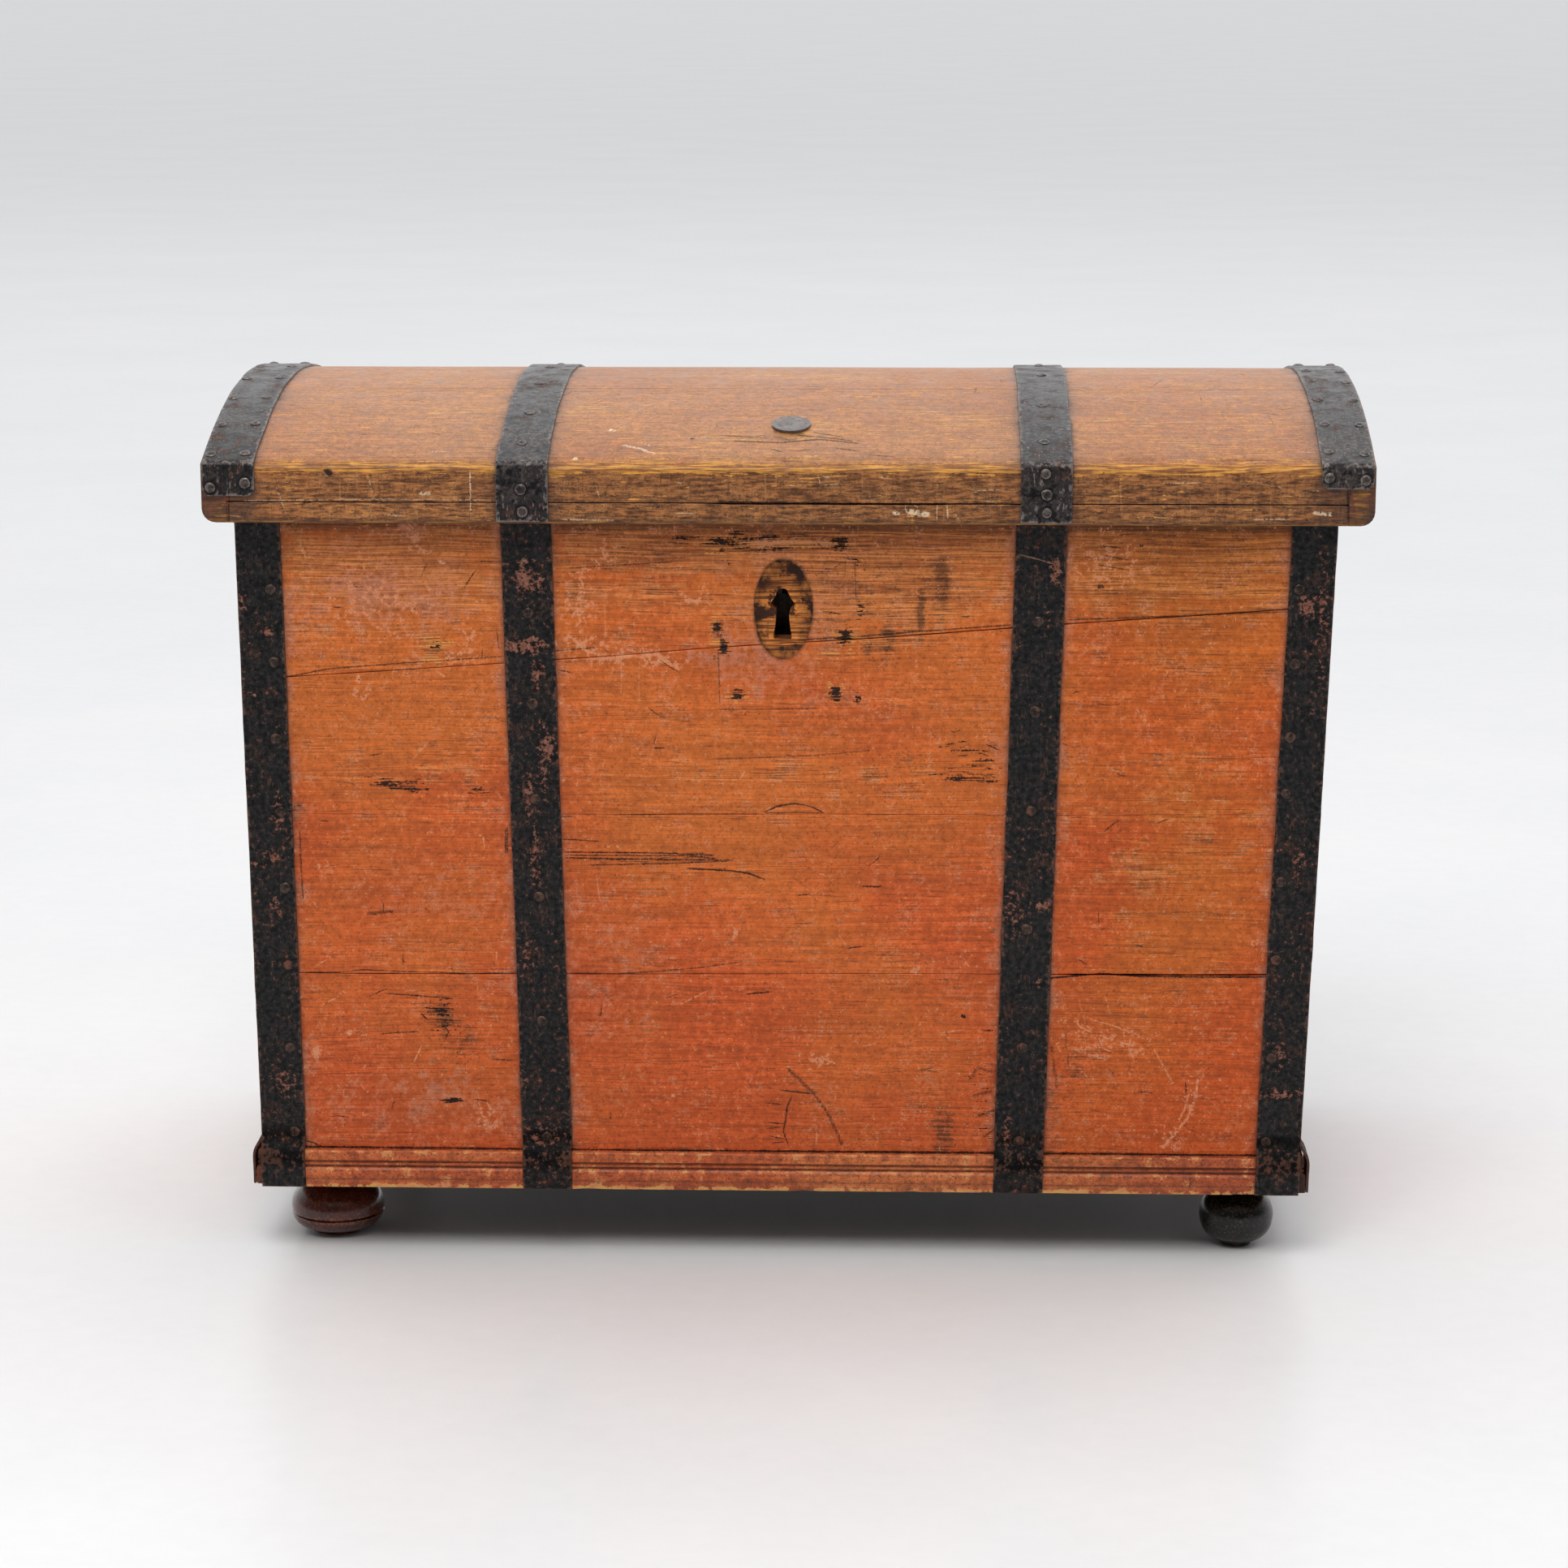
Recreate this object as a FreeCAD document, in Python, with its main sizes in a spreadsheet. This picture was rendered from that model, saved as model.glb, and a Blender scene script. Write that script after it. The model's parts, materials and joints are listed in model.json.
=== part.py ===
import FreeCAD, Part
import Sketcher
import math
import os

# Dome-lidded pine chest bound with iron straps. Millimetres, +Z up, front
# faces -Y. The origin is on the floor under the middle of the chest.

Vec = FreeCAD.Vector
doc = FreeCAD.newDocument("Chest")
sheet = doc.addObject("Spreadsheet::Sheet", "Dims")


class Q:
    """A number together with the sheet expression that gives it."""

    def __init__(self, val, txt):
        self.val = float(val)
        self.txt = txt

    def __add__(self, o):
        o = q(o)
        return Q(self.val + o.val, "(%s + %s)" % (self.txt, o.txt))

    def __radd__(self, o):
        return q(o) + self

    def __sub__(self, o):
        o = q(o)
        return Q(self.val - o.val, "(%s - %s)" % (self.txt, o.txt))

    def __rsub__(self, o):
        return q(o) - self

    def __mul__(self, o):
        o = q(o)
        return Q(self.val * o.val, "(%s * %s)" % (self.txt, o.txt))

    def __rmul__(self, o):
        return q(o) * self

    def __truediv__(self, o):
        o = q(o)
        return Q(self.val / o.val, "(%s / %s)" % (self.txt, o.txt))

    def __neg__(self):
        return Q(-self.val, "(0 - %s)" % self.txt)


def q(v):
    if isinstance(v, Q):
        return v
    return Q(v, "%.6f" % v if v >= 0 else "(0 - %.6f)" % -v)


def qsqrt(v):
    return Q(math.sqrt(v.val), "sqrt(%s)" % v.txt)


cells = []


def dim(alias, value):
    cells.append(alias)
    cell = "B%d" % len(cells)
    sheet.set("A%d" % len(cells), alias)
    sheet.set(cell, "%.6f" % value)
    sheet.setAlias(cell, alias)
    return Q(value, "Dims." + alias)


# ---------------------------------------------------------------- dimensions
y_shift = dim("depth_shift", -3.15)
lid_half = dim("lid_half_length", 500.0)
lid_in = dim("lid_inner_half", 477.5)
lid_hd = dim("lid_half_depth", 270.0)
arris_z = dim("arris_height", 709.5)
lid_rise = dim("lid_rise", 51.07)
lid_thk = dim("lid_thickness", 28.0)
seat_z = dim("lid_seat_height", 676.5)
lip_z = dim("lip_bottom_height", 658.5)
lip_thk = dim("lip_thickness", 24.0)
lid_joint = dim("lid_joint_offset", 92.0)
land = dim("lid_land_depth", 57.0)
cleat_round = dim("cleat_rounding", 12.0)

front_y = dim("front_face", -243.0)
back_y = dim("back_face", 270.0)
wall = dim("wall_thickness", 24.0)
rim_z = dim("rim_height", 676.2)
floor_top = dim("bottom_board_top", 80.5)
base_z = dim("base_height", 60.5)
lean_ref = dim("lean_reference_height", 648.0)
left_half = dim("left_half_width", 474.1)
left_lean = dim("left_lean", 0.01558)
right_half = dim("right_half_width", 469.05)
right_lean = dim("right_lean", 0.03444)

j1_left = dim("joint_one_left", 516.5)
j1_right = dim("joint_one_right", 585.0)
j2_left = dim("joint_two_left", 398.0)
j2_right = dim("joint_two_right", 402.0)
j3_left = dim("joint_three_left", 254.0)
j3_right = dim("joint_three_right", 259.5)

iron = dim("iron_thickness", 2.3)
strap_w = dim("strap_width", 44.0)
end_strap_w = dim("lid_end_strap_width", 44.5)
flange = dim("corner_flange_width", 37.0)
strap_top = dim("strap_top_height", 672.0)
strap_bot = dim("strap_bottom_height", 61.5)
kick_top = dim("kick_top_height", 98.5)
kick_low = dim("kick_low_height", 91.5)
mould_out = dim("moulding_projection", 9.0)
mould_top = dim("moulding_top_height", 93.5)
strap_l_top = dim("left_strap_top_offset", 224.4)
strap_l_tilt = dim("left_strap_tilt", 1.17)
strap_r_top = dim("right_strap_top_offset", 218.5)
strap_r_tilt = dim("right_strap_tilt", 1.47)
lid_strap_l = dim("lid_strap_left_offset", 224.7)
lid_strap_r = dim("lid_strap_right_offset", 221.7)
lid_strap_drop = dim("lid_strap_drop_height", 660.5)
end_drop_l = dim("left_end_strap_drop_height", 682.0)
end_drop_r = dim("right_end_strap_drop_height", 690.5)
end_strap_edge = dim("lid_end_strap_outer_edge", 498.2)

hinge_off = dim("hinge_axis_offset", 5.4)
hinge_z = dim("hinge_axis_height", 676.0)
knuckle_r = dim("knuckle_radius", 5.0)
knuckle_bore = dim("knuckle_bore_radius", 2.75)
pin_r = dim("hinge_pin_radius", 2.69)
knuckle_w = dim("knuckle_width", 14.0)
knuckle_gap = dim("knuckle_gap", 1.0)
knuckle_clear = dim("knuckle_clearance", 6.0)

key_x = dim("keyhole_centre", -3.55)
key_z = dim("keyhole_bow_height", 588.0)
key_r = dim("keyhole_bow_radius", 10.6)
key_waist = dim("keyhole_waist_half", 5.85)
key_slot = dim("keyhole_slot_half", 7.75)
key_bot = dim("keyhole_bottom_height", 554.6)
oval_x = dim("oval_centre", -3.1)
oval_z = dim("oval_centre_height", 581.0)
oval_a = dim("oval_half_height", 43.0)
oval_b = dim("oval_half_width", 25.2)
oval_deep = dim("oval_depth", 1.2)

foot_lx = dim("left_foot_offset_x", 410.5)
foot_rx = dim("right_foot_offset_x", 400.5)
foot_front_l = dim("left_foot_front_inset", 60.8)
foot_front_r = dim("right_foot_front_inset", 44.6)
foot_back = dim("foot_back_inset", 62.0)
tenon_r = dim("foot_tenon_radius", 12.0)
tenon_up = dim("foot_tenon_length", 16.0)
tenon_gap = dim("foot_tenon_clearance", 0.3)

nail_head_r = dim("nail_head_radius", 4.7)
nail_head_up = dim("nail_head_height", 1.8)
nail_shank_r = dim("nail_shank_radius", 1.5)
nail_long = dim("nail_shank_length", 16.0)

bail_r = dim("bail_rod_radius", 4.0)
bail_z = dim("bail_axis_height", 432.0)
bail_arm = dim("bail_arm_offset", 46.0)
bail_end = dim("bail_end_offset", 68.0)
bail_drop = dim("bail_drop", 62.0)
bail_off = dim("bail_axis_from_wall", 10.0)
eye_bore = dim("bail_eye_bore_radius", 4.06)
eye_r = dim("bail_eye_radius", 7.2)

half = Q(0.5, "0.5")
zero = Q(0.0, "0")
R = Q(
    (lid_hd.val ** 2 + lid_rise.val ** 2) / (2 * lid_rise.val),
    "((Dims.lid_half_depth * Dims.lid_half_depth + Dims.lid_rise * Dims.lid_rise) / (2 * Dims.lid_rise))",
)
dome_z = arris_z + lid_rise - R
doc.recompute()


def Y(v):
    return q(v) + y_shift


def dome(y, r=None):
    """Height of the dome of radius r at depth y from the lid's middle."""
    r = R if r is None else r
    return dome_z + qsqrt(r * r - q(y) * q(y))


def left_x(z):
    return -(left_half + left_lean * (q(z) - lean_ref))


def right_x(z):
    return right_half + right_lean * (q(z) - lean_ref)


# ------------------------------------------------------------------- helpers
def new_body(label):
    b = doc.addObject("PartDesign::Body", label)
    b.Label = label
    return b


def origin_plane(b, role):
    return [o for o in b.Origin.OriginFeatures if o.Role == role][0]


def outline(b, name, role, pts, offset, arcs=None):
    """Closed outline of straight edges and arcs. arcs maps an edge's number to
    (radius, +1 counter-clockwise or -1 clockwise)."""
    arcs = arcs or {}
    sk = b.newObject("Sketcher::SketchObject", name)
    sk.AttachmentSupport = [(origin_plane(b, role), "")]
    sk.MapMode = "FlatFace"
    sk.setExpression("AttachmentOffset.Base.z", q(offset).txt)
    pts = [(q(a), q(c)) for a, c in pts]
    n = len(pts)
    ends = []
    for i in range(n):
        ax, ay = pts[i][0].val, pts[i][1].val
        bx, by = pts[(i + 1) % n][0].val, pts[(i + 1) % n][1].val
        if i in arcs:
            r, turn = arcs[i]
            r = q(r)
            dx, dy = bx - ax, by - ay
            c = math.hypot(dx, dy)
            up = math.sqrt(max(r.val ** 2 - c * c / 4, 0.0))
            cx = (ax + bx) / 2 - turn * dy / c * up
            cy = (ay + by) / 2 + turn * dx / c * up
            a0 = math.atan2(ay - cy, ax - cx)
            a1 = math.atan2(by - cy, bx - cx)
            if turn < 0:
                a0, a1 = a1, a0
            if a1 < a0:
                a1 += 2 * math.pi
            circle = Part.Circle(Vec(cx, cy, 0), Vec(0, 0, 1), r.val)
            sk.addGeometry(Part.ArcOfCircle(circle, a0, a1), False)
            ends.append((1, 2) if turn > 0 else (2, 1))
        else:
            sk.addGeometry(
                Part.LineSegment(Vec(ax, ay, 0), Vec(bx, by, 0)), False
            )
            ends.append((1, 2))
    for i in range(n):
        k = (i + 1) % n
        sk.addConstraint(
            Sketcher.Constraint("Coincident", i, ends[i][1], k, ends[k][0])
        )
    for i in range(n):
        for kind, val in (("DistanceX", pts[i][0]), ("DistanceY", pts[i][1])):
            c = sk.addConstraint(
                Sketcher.Constraint(kind, -1, 1, i, ends[i][0], val.val)
            )
            word = "p%d%s" % (i, kind[-1].lower())
            sk.renameConstraint(c, word)
            sk.setExpression("Constraints." + word, val.txt)
    for i in arcs:
        r = q(arcs[i][0])
        c = sk.addConstraint(Sketcher.Constraint("Radius", i, r.val))
        sk.renameConstraint(c, "r%d" % i)
        sk.setExpression("Constraints.r%d" % i, r.txt)
    return sk


def ring(b, name, role, centre, radius, offset):
    sk = b.newObject("Sketcher::SketchObject", name)
    sk.AttachmentSupport = [(origin_plane(b, role), "")]
    sk.MapMode = "FlatFace"
    sk.setExpression("AttachmentOffset.Base.z", q(offset).txt)
    cx, cy, r = q(centre[0]), q(centre[1]), q(radius)
    sk.addGeometry(
        Part.Circle(Vec(cx.val, cy.val, 0), Vec(0, 0, 1), r.val), False
    )
    for kind, val in (("DistanceX", cx), ("DistanceY", cy)):
        c = sk.addConstraint(Sketcher.Constraint(kind, -1, 1, 0, 3, val.val))
        sk.renameConstraint(c, "c" + kind[-1].lower())
        sk.setExpression("Constraints.c" + kind[-1].lower(), val.txt)
    c = sk.addConstraint(Sketcher.Constraint("Radius", 0, r.val))
    sk.renameConstraint(c, "round_r")
    sk.setExpression("Constraints.round_r", r.txt)
    return sk


# lowest plane offset and pad direction for each origin plane
def plane_offset(role, lo):
    return -q(lo) if role == "XZ_Plane" else q(lo)


def add_pad(b, sk, role, length):
    f = b.newObject("PartDesign::Pad", sk.Name + "_pad")
    f.Profile = sk
    f.Length = q(length).val
    f.setExpression("Length", q(length).txt)
    f.Reversed = role == "XZ_Plane"
    sk.Visibility = False
    return f


def cut_pocket(b, sk, role, length):
    f = b.newObject("PartDesign::Pocket", sk.Name + "_cut")
    f.Profile = sk
    f.Length = q(length).val
    f.setExpression("Length", q(length).txt)
    # a pocket runs against the plane's normal unless reversed
    f.Reversed = role != "XZ_Plane"
    before = b.Shape.Volume
    doc.recompute()
    if not b.Shape.Volume < before - 1.0:
        raise RuntimeError("pocket cuts nothing: " + sk.Name)
    return f


def prism(label, role, pts, lo, hi, arcs=None, into=None, tag=""):
    """Outline on an origin plane, extruded from lo to hi along +axis."""
    b = into or new_body(label)
    lo, hi = q(lo), q(hi)
    sk = outline(
        b, label + tag + "_outline", role, pts, plane_offset(role, lo), arcs
    )
    add_pad(b, sk, role, hi - lo)
    return b


def round_pad(b, label, role, centre, radius, lo, hi):
    lo, hi = q(lo), q(hi)
    sk = ring(b, label, role, centre, radius, plane_offset(role, lo))
    return add_pad(b, sk, role, hi - lo)


def round_cut(b, label, role, centre, radius, lo, hi):
    lo, hi = q(lo), q(hi)
    doc.recompute()
    sk = ring(b, label, role, centre, radius, plane_offset(role, lo))
    return cut_pocket(b, sk, role, hi - lo)


def shape_cut(b, label, role, pts, lo, hi, arcs=None):
    lo, hi = q(lo), q(hi)
    doc.recompute()
    sk = outline(b, label, role, pts, plane_offset(role, lo), arcs)
    return cut_pocket(b, sk, role, hi - lo)


exports = []


def keep(obj):
    exports.append(obj)
    return obj


# ---------------------------------------------------------------- front wall
fy0, fy1 = Y(front_y), Y(front_y) + wall
by0, by1 = Y(back_y) - wall, Y(back_y)
wall_bot = floor_top


def wall_board(label, lo_l, lo_r, hi_l, hi_r, y0, y1):
    return prism(
        label,
        "XZ_Plane",
        [
            (left_x(lo_l), lo_l),
            (right_x(lo_r), lo_r),
            (right_x(hi_r), hi_r),
            (left_x(hi_l), hi_l),
        ],
        y0,
        y1,
    )


keyhole_pts = [
    (key_x - key_waist, key_z - qsqrt(key_r * key_r - key_waist * key_waist)),
    (key_x, key_z + key_r),
    (key_x + key_waist, key_z - qsqrt(key_r * key_r - key_waist * key_waist)),
    (key_x + key_slot, key_bot),
    (key_x - key_slot, key_bot),
]
keyhole_arcs = {0: (key_r, -1), 1: (key_r, -1)}


def oval_recess(b, label):
    doc.recompute()
    sk = b.newObject("Sketcher::SketchObject", label)
    sk.AttachmentSupport = [(origin_plane(b, "XZ_Plane"), "")]
    sk.MapMode = "FlatFace"
    sk.setExpression("AttachmentOffset.Base.z", (-(fy0 - 1)).txt)
    c = Vec(oval_x.val, oval_z.val, 0)
    sk.addGeometry(
        Part.Ellipse(
            c + Vec(0, oval_a.val, 0), c + Vec(oval_b.val, 0, 0), c
        ),
        False,
    )
    cut_pocket(b, sk, "XZ_Plane", oval_deep + 1)


board1 = wall_board(
    "front_board_top", j1_left, j1_right, rim_z, rim_z, fy0, fy1
)
shape_cut(
    board1, "keyhole", "XZ_Plane", keyhole_pts, fy0 - 1, fy1 + 1, keyhole_arcs
)
oval_recess(board1, "oval_upper")
keep(board1)
board2 = wall_board(
    "front_board_upper", j2_left, j2_right, j1_left, j1_right, fy0, fy1
)
oval_recess(board2, "oval_lower")
keep(board2)
keep(
    wall_board(
        "front_board_lower", j3_left, j3_right, j2_left, j2_right, fy0, fy1
    )
)
keep(
    wall_board(
        "front_board_bottom", wall_bot, wall_bot, j3_left, j3_right, fy0, fy1
    )
)

# ----------------------------------------------------------------- back wall
bj1 = dim("back_joint_upper", 470.0)
bj2 = dim("back_joint_lower", 265.0)
doc.recompute()
keep(wall_board("back_board_upper", bj1, bj1, rim_z, rim_z, by0, by1))
keep(wall_board("back_board_middle", bj2, bj2, bj1, bj1, by0, by1))
keep(wall_board("back_board_lower", wall_bot, wall_bot, bj2, bj2, by0, by1))

# ----------------------------------------------------------------- end walls
ej1 = dim("end_joint_height", 372.0)
doc.recompute()


def end_board(label, edge, inward, lo, hi):
    return prism(
        label,
        "XZ_Plane",
        [
            (edge(lo), lo),
            (edge(hi), hi),
            (edge(hi) + inward * wall, hi),
            (edge(lo) + inward * wall, lo),
        ],
        fy1,
        by0,
    )


for side, edge, inward in (("left", left_x, 1), ("right", right_x, -1)):
    keep(end_board("end_board_%s_upper" % side, edge, inward, ej1, rim_z))
    keep(end_board("end_board_%s_lower" % side, edge, inward, wall_bot, ej1))

# -------------------------------------------------------------- bottom boards
split1 = dim("bottom_split_front", -72.0)
split2 = dim("bottom_split_back", 96.0)
doc.recompute()
bot_l, bot_r = left_x(base_z), right_x(base_z)


def bottom_board(label, y0, y1):
    return prism(
        label,
        "XY_Plane",
        [(bot_l, y0), (bot_r, y0), (bot_r, y1), (bot_l, y1)],
        base_z,
        floor_top,
    )


foot_fyl = Y(front_y) + foot_front_l
foot_fyr = Y(front_y) + foot_front_r
foot_by = Y(back_y) - foot_back
bottoms = [
    bottom_board("bottom_board_front", fy0, Y(split1)),
    bottom_board("bottom_board_middle", Y(split1), Y(split2)),
    bottom_board("bottom_board_back", Y(split2), by1),
]
for b, yl, yr in ((bottoms[0], foot_fyl, foot_fyr), (bottoms[2], foot_by, foot_by)):
    for word, x, y in (("left", -foot_lx, yl), ("right", foot_rx, yr)):
        round_cut(
            b,
            "%s_socket_%s" % (b.Label, word),
            "XY_Plane",
            (x, y),
            tenon_r + tenon_gap,
            base_z - 1,
            base_z + tenon_up + 1,
        )
for b in bottoms:
    keep(b)

# ------------------------------------------------------------- base mouldings
# (projection from the wall, height): flat band, two grooves, bead, plinth
mould_profile = [
    (0.0, base_z),
    (mould_out, base_z + 0.6),
    (mould_out, base_z + 7.0),
    (mould_out - 0.9, base_z + 7.6),
    (mould_out - 0.3, base_z + 11.0),
    (mould_out - 0.9, base_z + 15.5),
    (mould_out - 2.4, base_z + 17.6),
    (mould_out - 4.2, base_z + 18.4),
    (mould_out - 4.2, base_z + 19.8),
    (mould_out - 2.5, base_z + 20.4),
    (mould_out - 2.5, base_z + 21.8),
    (mould_out - 4.2, base_z + 22.4),
    (mould_out - 4.2, base_z + 23.8),
    (mould_out - 2.6, base_z + 24.6),
    (mould_out - 3.2, mould_top - 1.0),
    (mould_out - 4.4, mould_top),
    (0.0, mould_top),
]
keep(
    prism(
        "base_moulding_front",
        "YZ_Plane",
        [(fy0 - p, z) for p, z in mould_profile],
        bot_l,
        bot_r,
    )
)


def tilted(b, x, z, degrees):
    b.Placement = FreeCAD.Placement(
        Vec(0, 0, 0),
        FreeCAD.Rotation(Vec(0, 1, 0), degrees),
        Vec(x, 0, z),
    )


# the side mouldings lean with the end walls
for side, edge, lean, sx in (
    ("left", left_x, left_lean, -1),
    ("right", right_x, right_lean, 1),
):
    x = edge(lean_ref)
    b = prism(
        "base_moulding_" + side,
        "XZ_Plane",
        [(x + sx * p, z) for p, z in mould_profile],
        fy0 - 2.0,
        by1,
    )
    tilted(b, x.val, lean_ref.val, sx * math.degrees(math.atan(lean.val)))
    keep(b)


# --------------------------------------------------------------- iron straps
def kicked(face, out, top):
    """Strip section against a wall face, bent out over the moulding."""
    pts = [
        (face, top),
        (face + out * iron, top),
        (face + out * iron, kick_top + 0.6),
        (face + out * (mould_out + iron), kick_low + 0.6),
        (face + out * (mould_out + iron), strap_bot),
        (face + out * mould_out, strap_bot),
        (face + out * mould_out, kick_low),
        (face, kick_top),
    ]
    return pts


for side, x, tilt, sign in (
    ("left", -strap_l_top, strap_l_tilt, -1),
    ("right", strap_r_top, strap_r_tilt, 1),
):
    b = prism(
        "front_strap_" + side,
        "YZ_Plane",
        kicked(fy0, -1, strap_top),
        x - strap_w / 2,
        x + strap_w / 2,
    )
    tilted(b, x.val, lean_ref.val, sign * tilt.val)
    keep(b)

# corner irons: a front or back flange and a side flange meeting at the corner,
# split below the bend so that each flange follows its own moulding
for side, edge, lean, sx in (
    ("left", left_x, left_lean, -1),
    ("right", right_x, right_lean, 1),
):
    x = edge(lean_ref)
    for end, face, sy in (("front", fy0, -1), ("back", by1, 1)):
        label = "corner_iron_%s_%s" % (end, side)
        lo, hi = (x - iron, x + flange) if sx < 0 else (x - flange, x + iron)
        if sy < 0:
            pts = kicked(face, sy, strap_top)
        else:
            pts = [
                (face, strap_top),
                (face + iron, strap_top),
                (face + iron, strap_bot),
                (face, strap_bot),
            ]
        b = prism(label, "YZ_Plane", pts, lo, hi, tag="_a")
        lo, hi = (
            (face - iron, face + flange)
            if sy < 0
            else (face - flange, face + iron)
        )
        prism(
            label,
            "XZ_Plane",
            kicked(x, sx, strap_top),
            lo,
            hi,
            into=b,
            tag="_b",
        )
        tilted(b, x.val, lean_ref.val, sx * math.degrees(math.atan(lean.val)))
        keep(b)

# ------------------------------------------------------------------- hinges
axis_y = Y(back_y) + hinge_off


def knuckle(b, label, x0, x1, up):
    """Plate and ring of one knuckle; up is +1 on the lid's leaf."""
    z0 = hinge_z + up * knuckle_clear
    lo, hi = (hinge_z, z0 + 1) if up > 0 else (z0 - 1, hinge_z)
    prism(
        label,
        "YZ_Plane",
        [(by1, lo), (by1 + iron, lo), (by1 + iron, hi), (by1, hi)],
        x0,
        x1,
        into=b,
        tag="_tab",
    )
    round_pad(
        b, label + "_ring", "YZ_Plane", (axis_y, hinge_z), knuckle_r, x0, x1
    )
    round_cut(
        b,
        label + "_bore",
        "YZ_Plane",
        (axis_y, hinge_z),
        knuckle_bore,
        x0 - 0.5,
        x1 + 0.5,
    )


for side, x in (("left", -lid_strap_l), ("right", lid_strap_r)):
    label = "back_hinge_strap_" + side
    top = hinge_z - knuckle_clear
    b = prism(
        label,
        "YZ_Plane",
        [
            (by1, strap_bot),
            (by1 + iron, strap_bot),
            (by1 + iron, top),
            (by1, top),
        ],
        x - strap_w / 2,
        x + strap_w / 2,
    )
    knuckle(
        b,
        label + "_k1",
        x - strap_w / 2,
        x - strap_w / 2 + knuckle_w,
        -1,
    )
    knuckle(
        b,
        label + "_k2",
        x + strap_w / 2 - knuckle_w,
        x + strap_w / 2,
        -1,
    )
    keep(b)
    pin = new_body("hinge_pin_" + side)
    round_pad(
        pin,
        "hinge_pin_%s_round" % side,
        "YZ_Plane",
        (axis_y, hinge_z),
        pin_r,
        x - strap_w / 2 - 1.5,
        x + strap_w / 2 + 1.5,
    )
    keep(pin)


# ---------------------------------------------------------------------- lid
def yz(y, z):
    return (Y(y), z)


Rin = R - lid_thk
inner_land = lid_hd - land
slope_y = inner_land - 22.0


def joint_low(y):
    """Point straight in from the dome at depth y, on the hollow underside."""
    return (q(y) * Rin / R, dome_z + (dome(y) - dome_z) * Rin / R)


lid_front = prism(
    "lid_front_board",
    "YZ_Plane",
    [
        yz(-lid_hd, seat_z),
        yz(-inner_land, seat_z),
        yz(-slope_y, dome(slope_y, Rin)),
        yz(joint_low(-lid_joint)[0], joint_low(-lid_joint)[1]),
        yz(-lid_joint, dome(lid_joint)),
        yz(-lid_hd, arris_z),
    ],
    -lid_in,
    lid_in,
    {2: (Rin, -1), 4: (R, 1)},
)
keep(lid_front)
keep(
    prism(
        "lid_middle_board",
        "YZ_Plane",
        [
            yz(joint_low(-lid_joint)[0], joint_low(-lid_joint)[1]),
            yz(joint_low(lid_joint)[0], joint_low(lid_joint)[1]),
            yz(lid_joint, dome(lid_joint)),
            yz(-lid_joint, dome(lid_joint)),
        ],
        -lid_in,
        lid_in,
        {0: (Rin, -1), 2: (R, 1)},
    )
)
keep(
    prism(
        "lid_back_board",
        "YZ_Plane",
        [
            yz(lid_hd, seat_z),
            yz(lid_hd, arris_z),
            yz(lid_joint, dome(lid_joint)),
            yz(joint_low(lid_joint)[0], joint_low(lid_joint)[1]),
            yz(slope_y, dome(slope_y, Rin)),
            yz(inner_land, seat_z),
        ],
        -lid_in,
        lid_in,
        {1: (R, 1), 3: (Rin, -1)},
    )
)
keep(
    prism(
        "lid_front_lip",
        "YZ_Plane",
        [
            yz(-lid_hd, lip_z),
            yz(-lid_hd + lip_thk, lip_z),
            yz(-lid_hd + lip_thk, seat_z),
            yz(-lid_hd, seat_z),
        ],
        -lid_in,
        lid_in,
    )
)
for side, x0, x1 in (("left", -lid_half, -lid_in), ("right", lid_in, lid_half)):
    b = prism(
        "lid_cleat_" + side,
        "YZ_Plane",
        [
            yz(-lid_hd, lip_z),
            yz(lid_hd, lip_z),
            yz(lid_hd, arris_z),
            yz(-lid_hd, arris_z),
        ],
        x0,
        x1,
        {2: (R, 1)},
    )
    doc.recompute()
    outer = x0.val if side == "left" else x1.val
    for i, e in enumerate(b.Shape.Edges):
        bb = e.BoundBox
        if (
            abs(bb.XMin - outer) < 0.01
            and abs(bb.XMax - outer) < 0.01
            and abs(bb.ZMax - lip_z.val) < 0.01
        ):
            base = b.Tip
            f = b.newObject("PartDesign::Fillet", "lid_cleat_%s_round" % side)
            f.Base = (base, ["Edge%d" % (i + 1)])
            f.Radius = cleat_round.val
            f.setExpression("Radius", cleat_round.txt)
            break
    doc.recompute()
    keep(b)

# lid straps lie on the dome, bend down the front and back faces
Ro = R + iron


def lid_strap(label, front_low, back_low, x0, x1):
    out = lid_hd + iron
    return prism(
        label,
        "YZ_Plane",
        [
            yz(-out, front_low),
            yz(-lid_hd, front_low),
            yz(-lid_hd, arris_z),
            yz(lid_hd, arris_z),
            yz(lid_hd, back_low),
            yz(out, back_low),
            yz(out, dome(out, Ro)),
            yz(-out, dome(out, Ro)),
        ],
        x0,
        x1,
        {2: (R, -1), 6: (Ro, 1)},
    )


for side, x in (("left", -lid_strap_l), ("right", lid_strap_r)):
    label = "lid_strap_" + side
    b = lid_strap(
        label,
        lid_strap_drop,
        hinge_z + knuckle_clear,
        x - strap_w / 2,
        x + strap_w / 2,
    )
    knuckle(
        b,
        label + "_k",
        x - strap_w / 2 + knuckle_w + knuckle_gap,
        x + strap_w / 2 - knuckle_w - knuckle_gap,
        1,
    )
    keep(b)
keep(
    lid_strap(
        "lid_end_strap_left",
        end_drop_l,
        end_drop_l,
        -end_strap_edge,
        -end_strap_edge + end_strap_w,
    )
)
keep(
    lid_strap(
        "lid_end_strap_right",
        end_drop_r,
        end_drop_r,
        end_strap_edge - end_strap_w,
        end_strap_edge,
    )
)

# --------------------------------------------------------------------- feet


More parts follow.
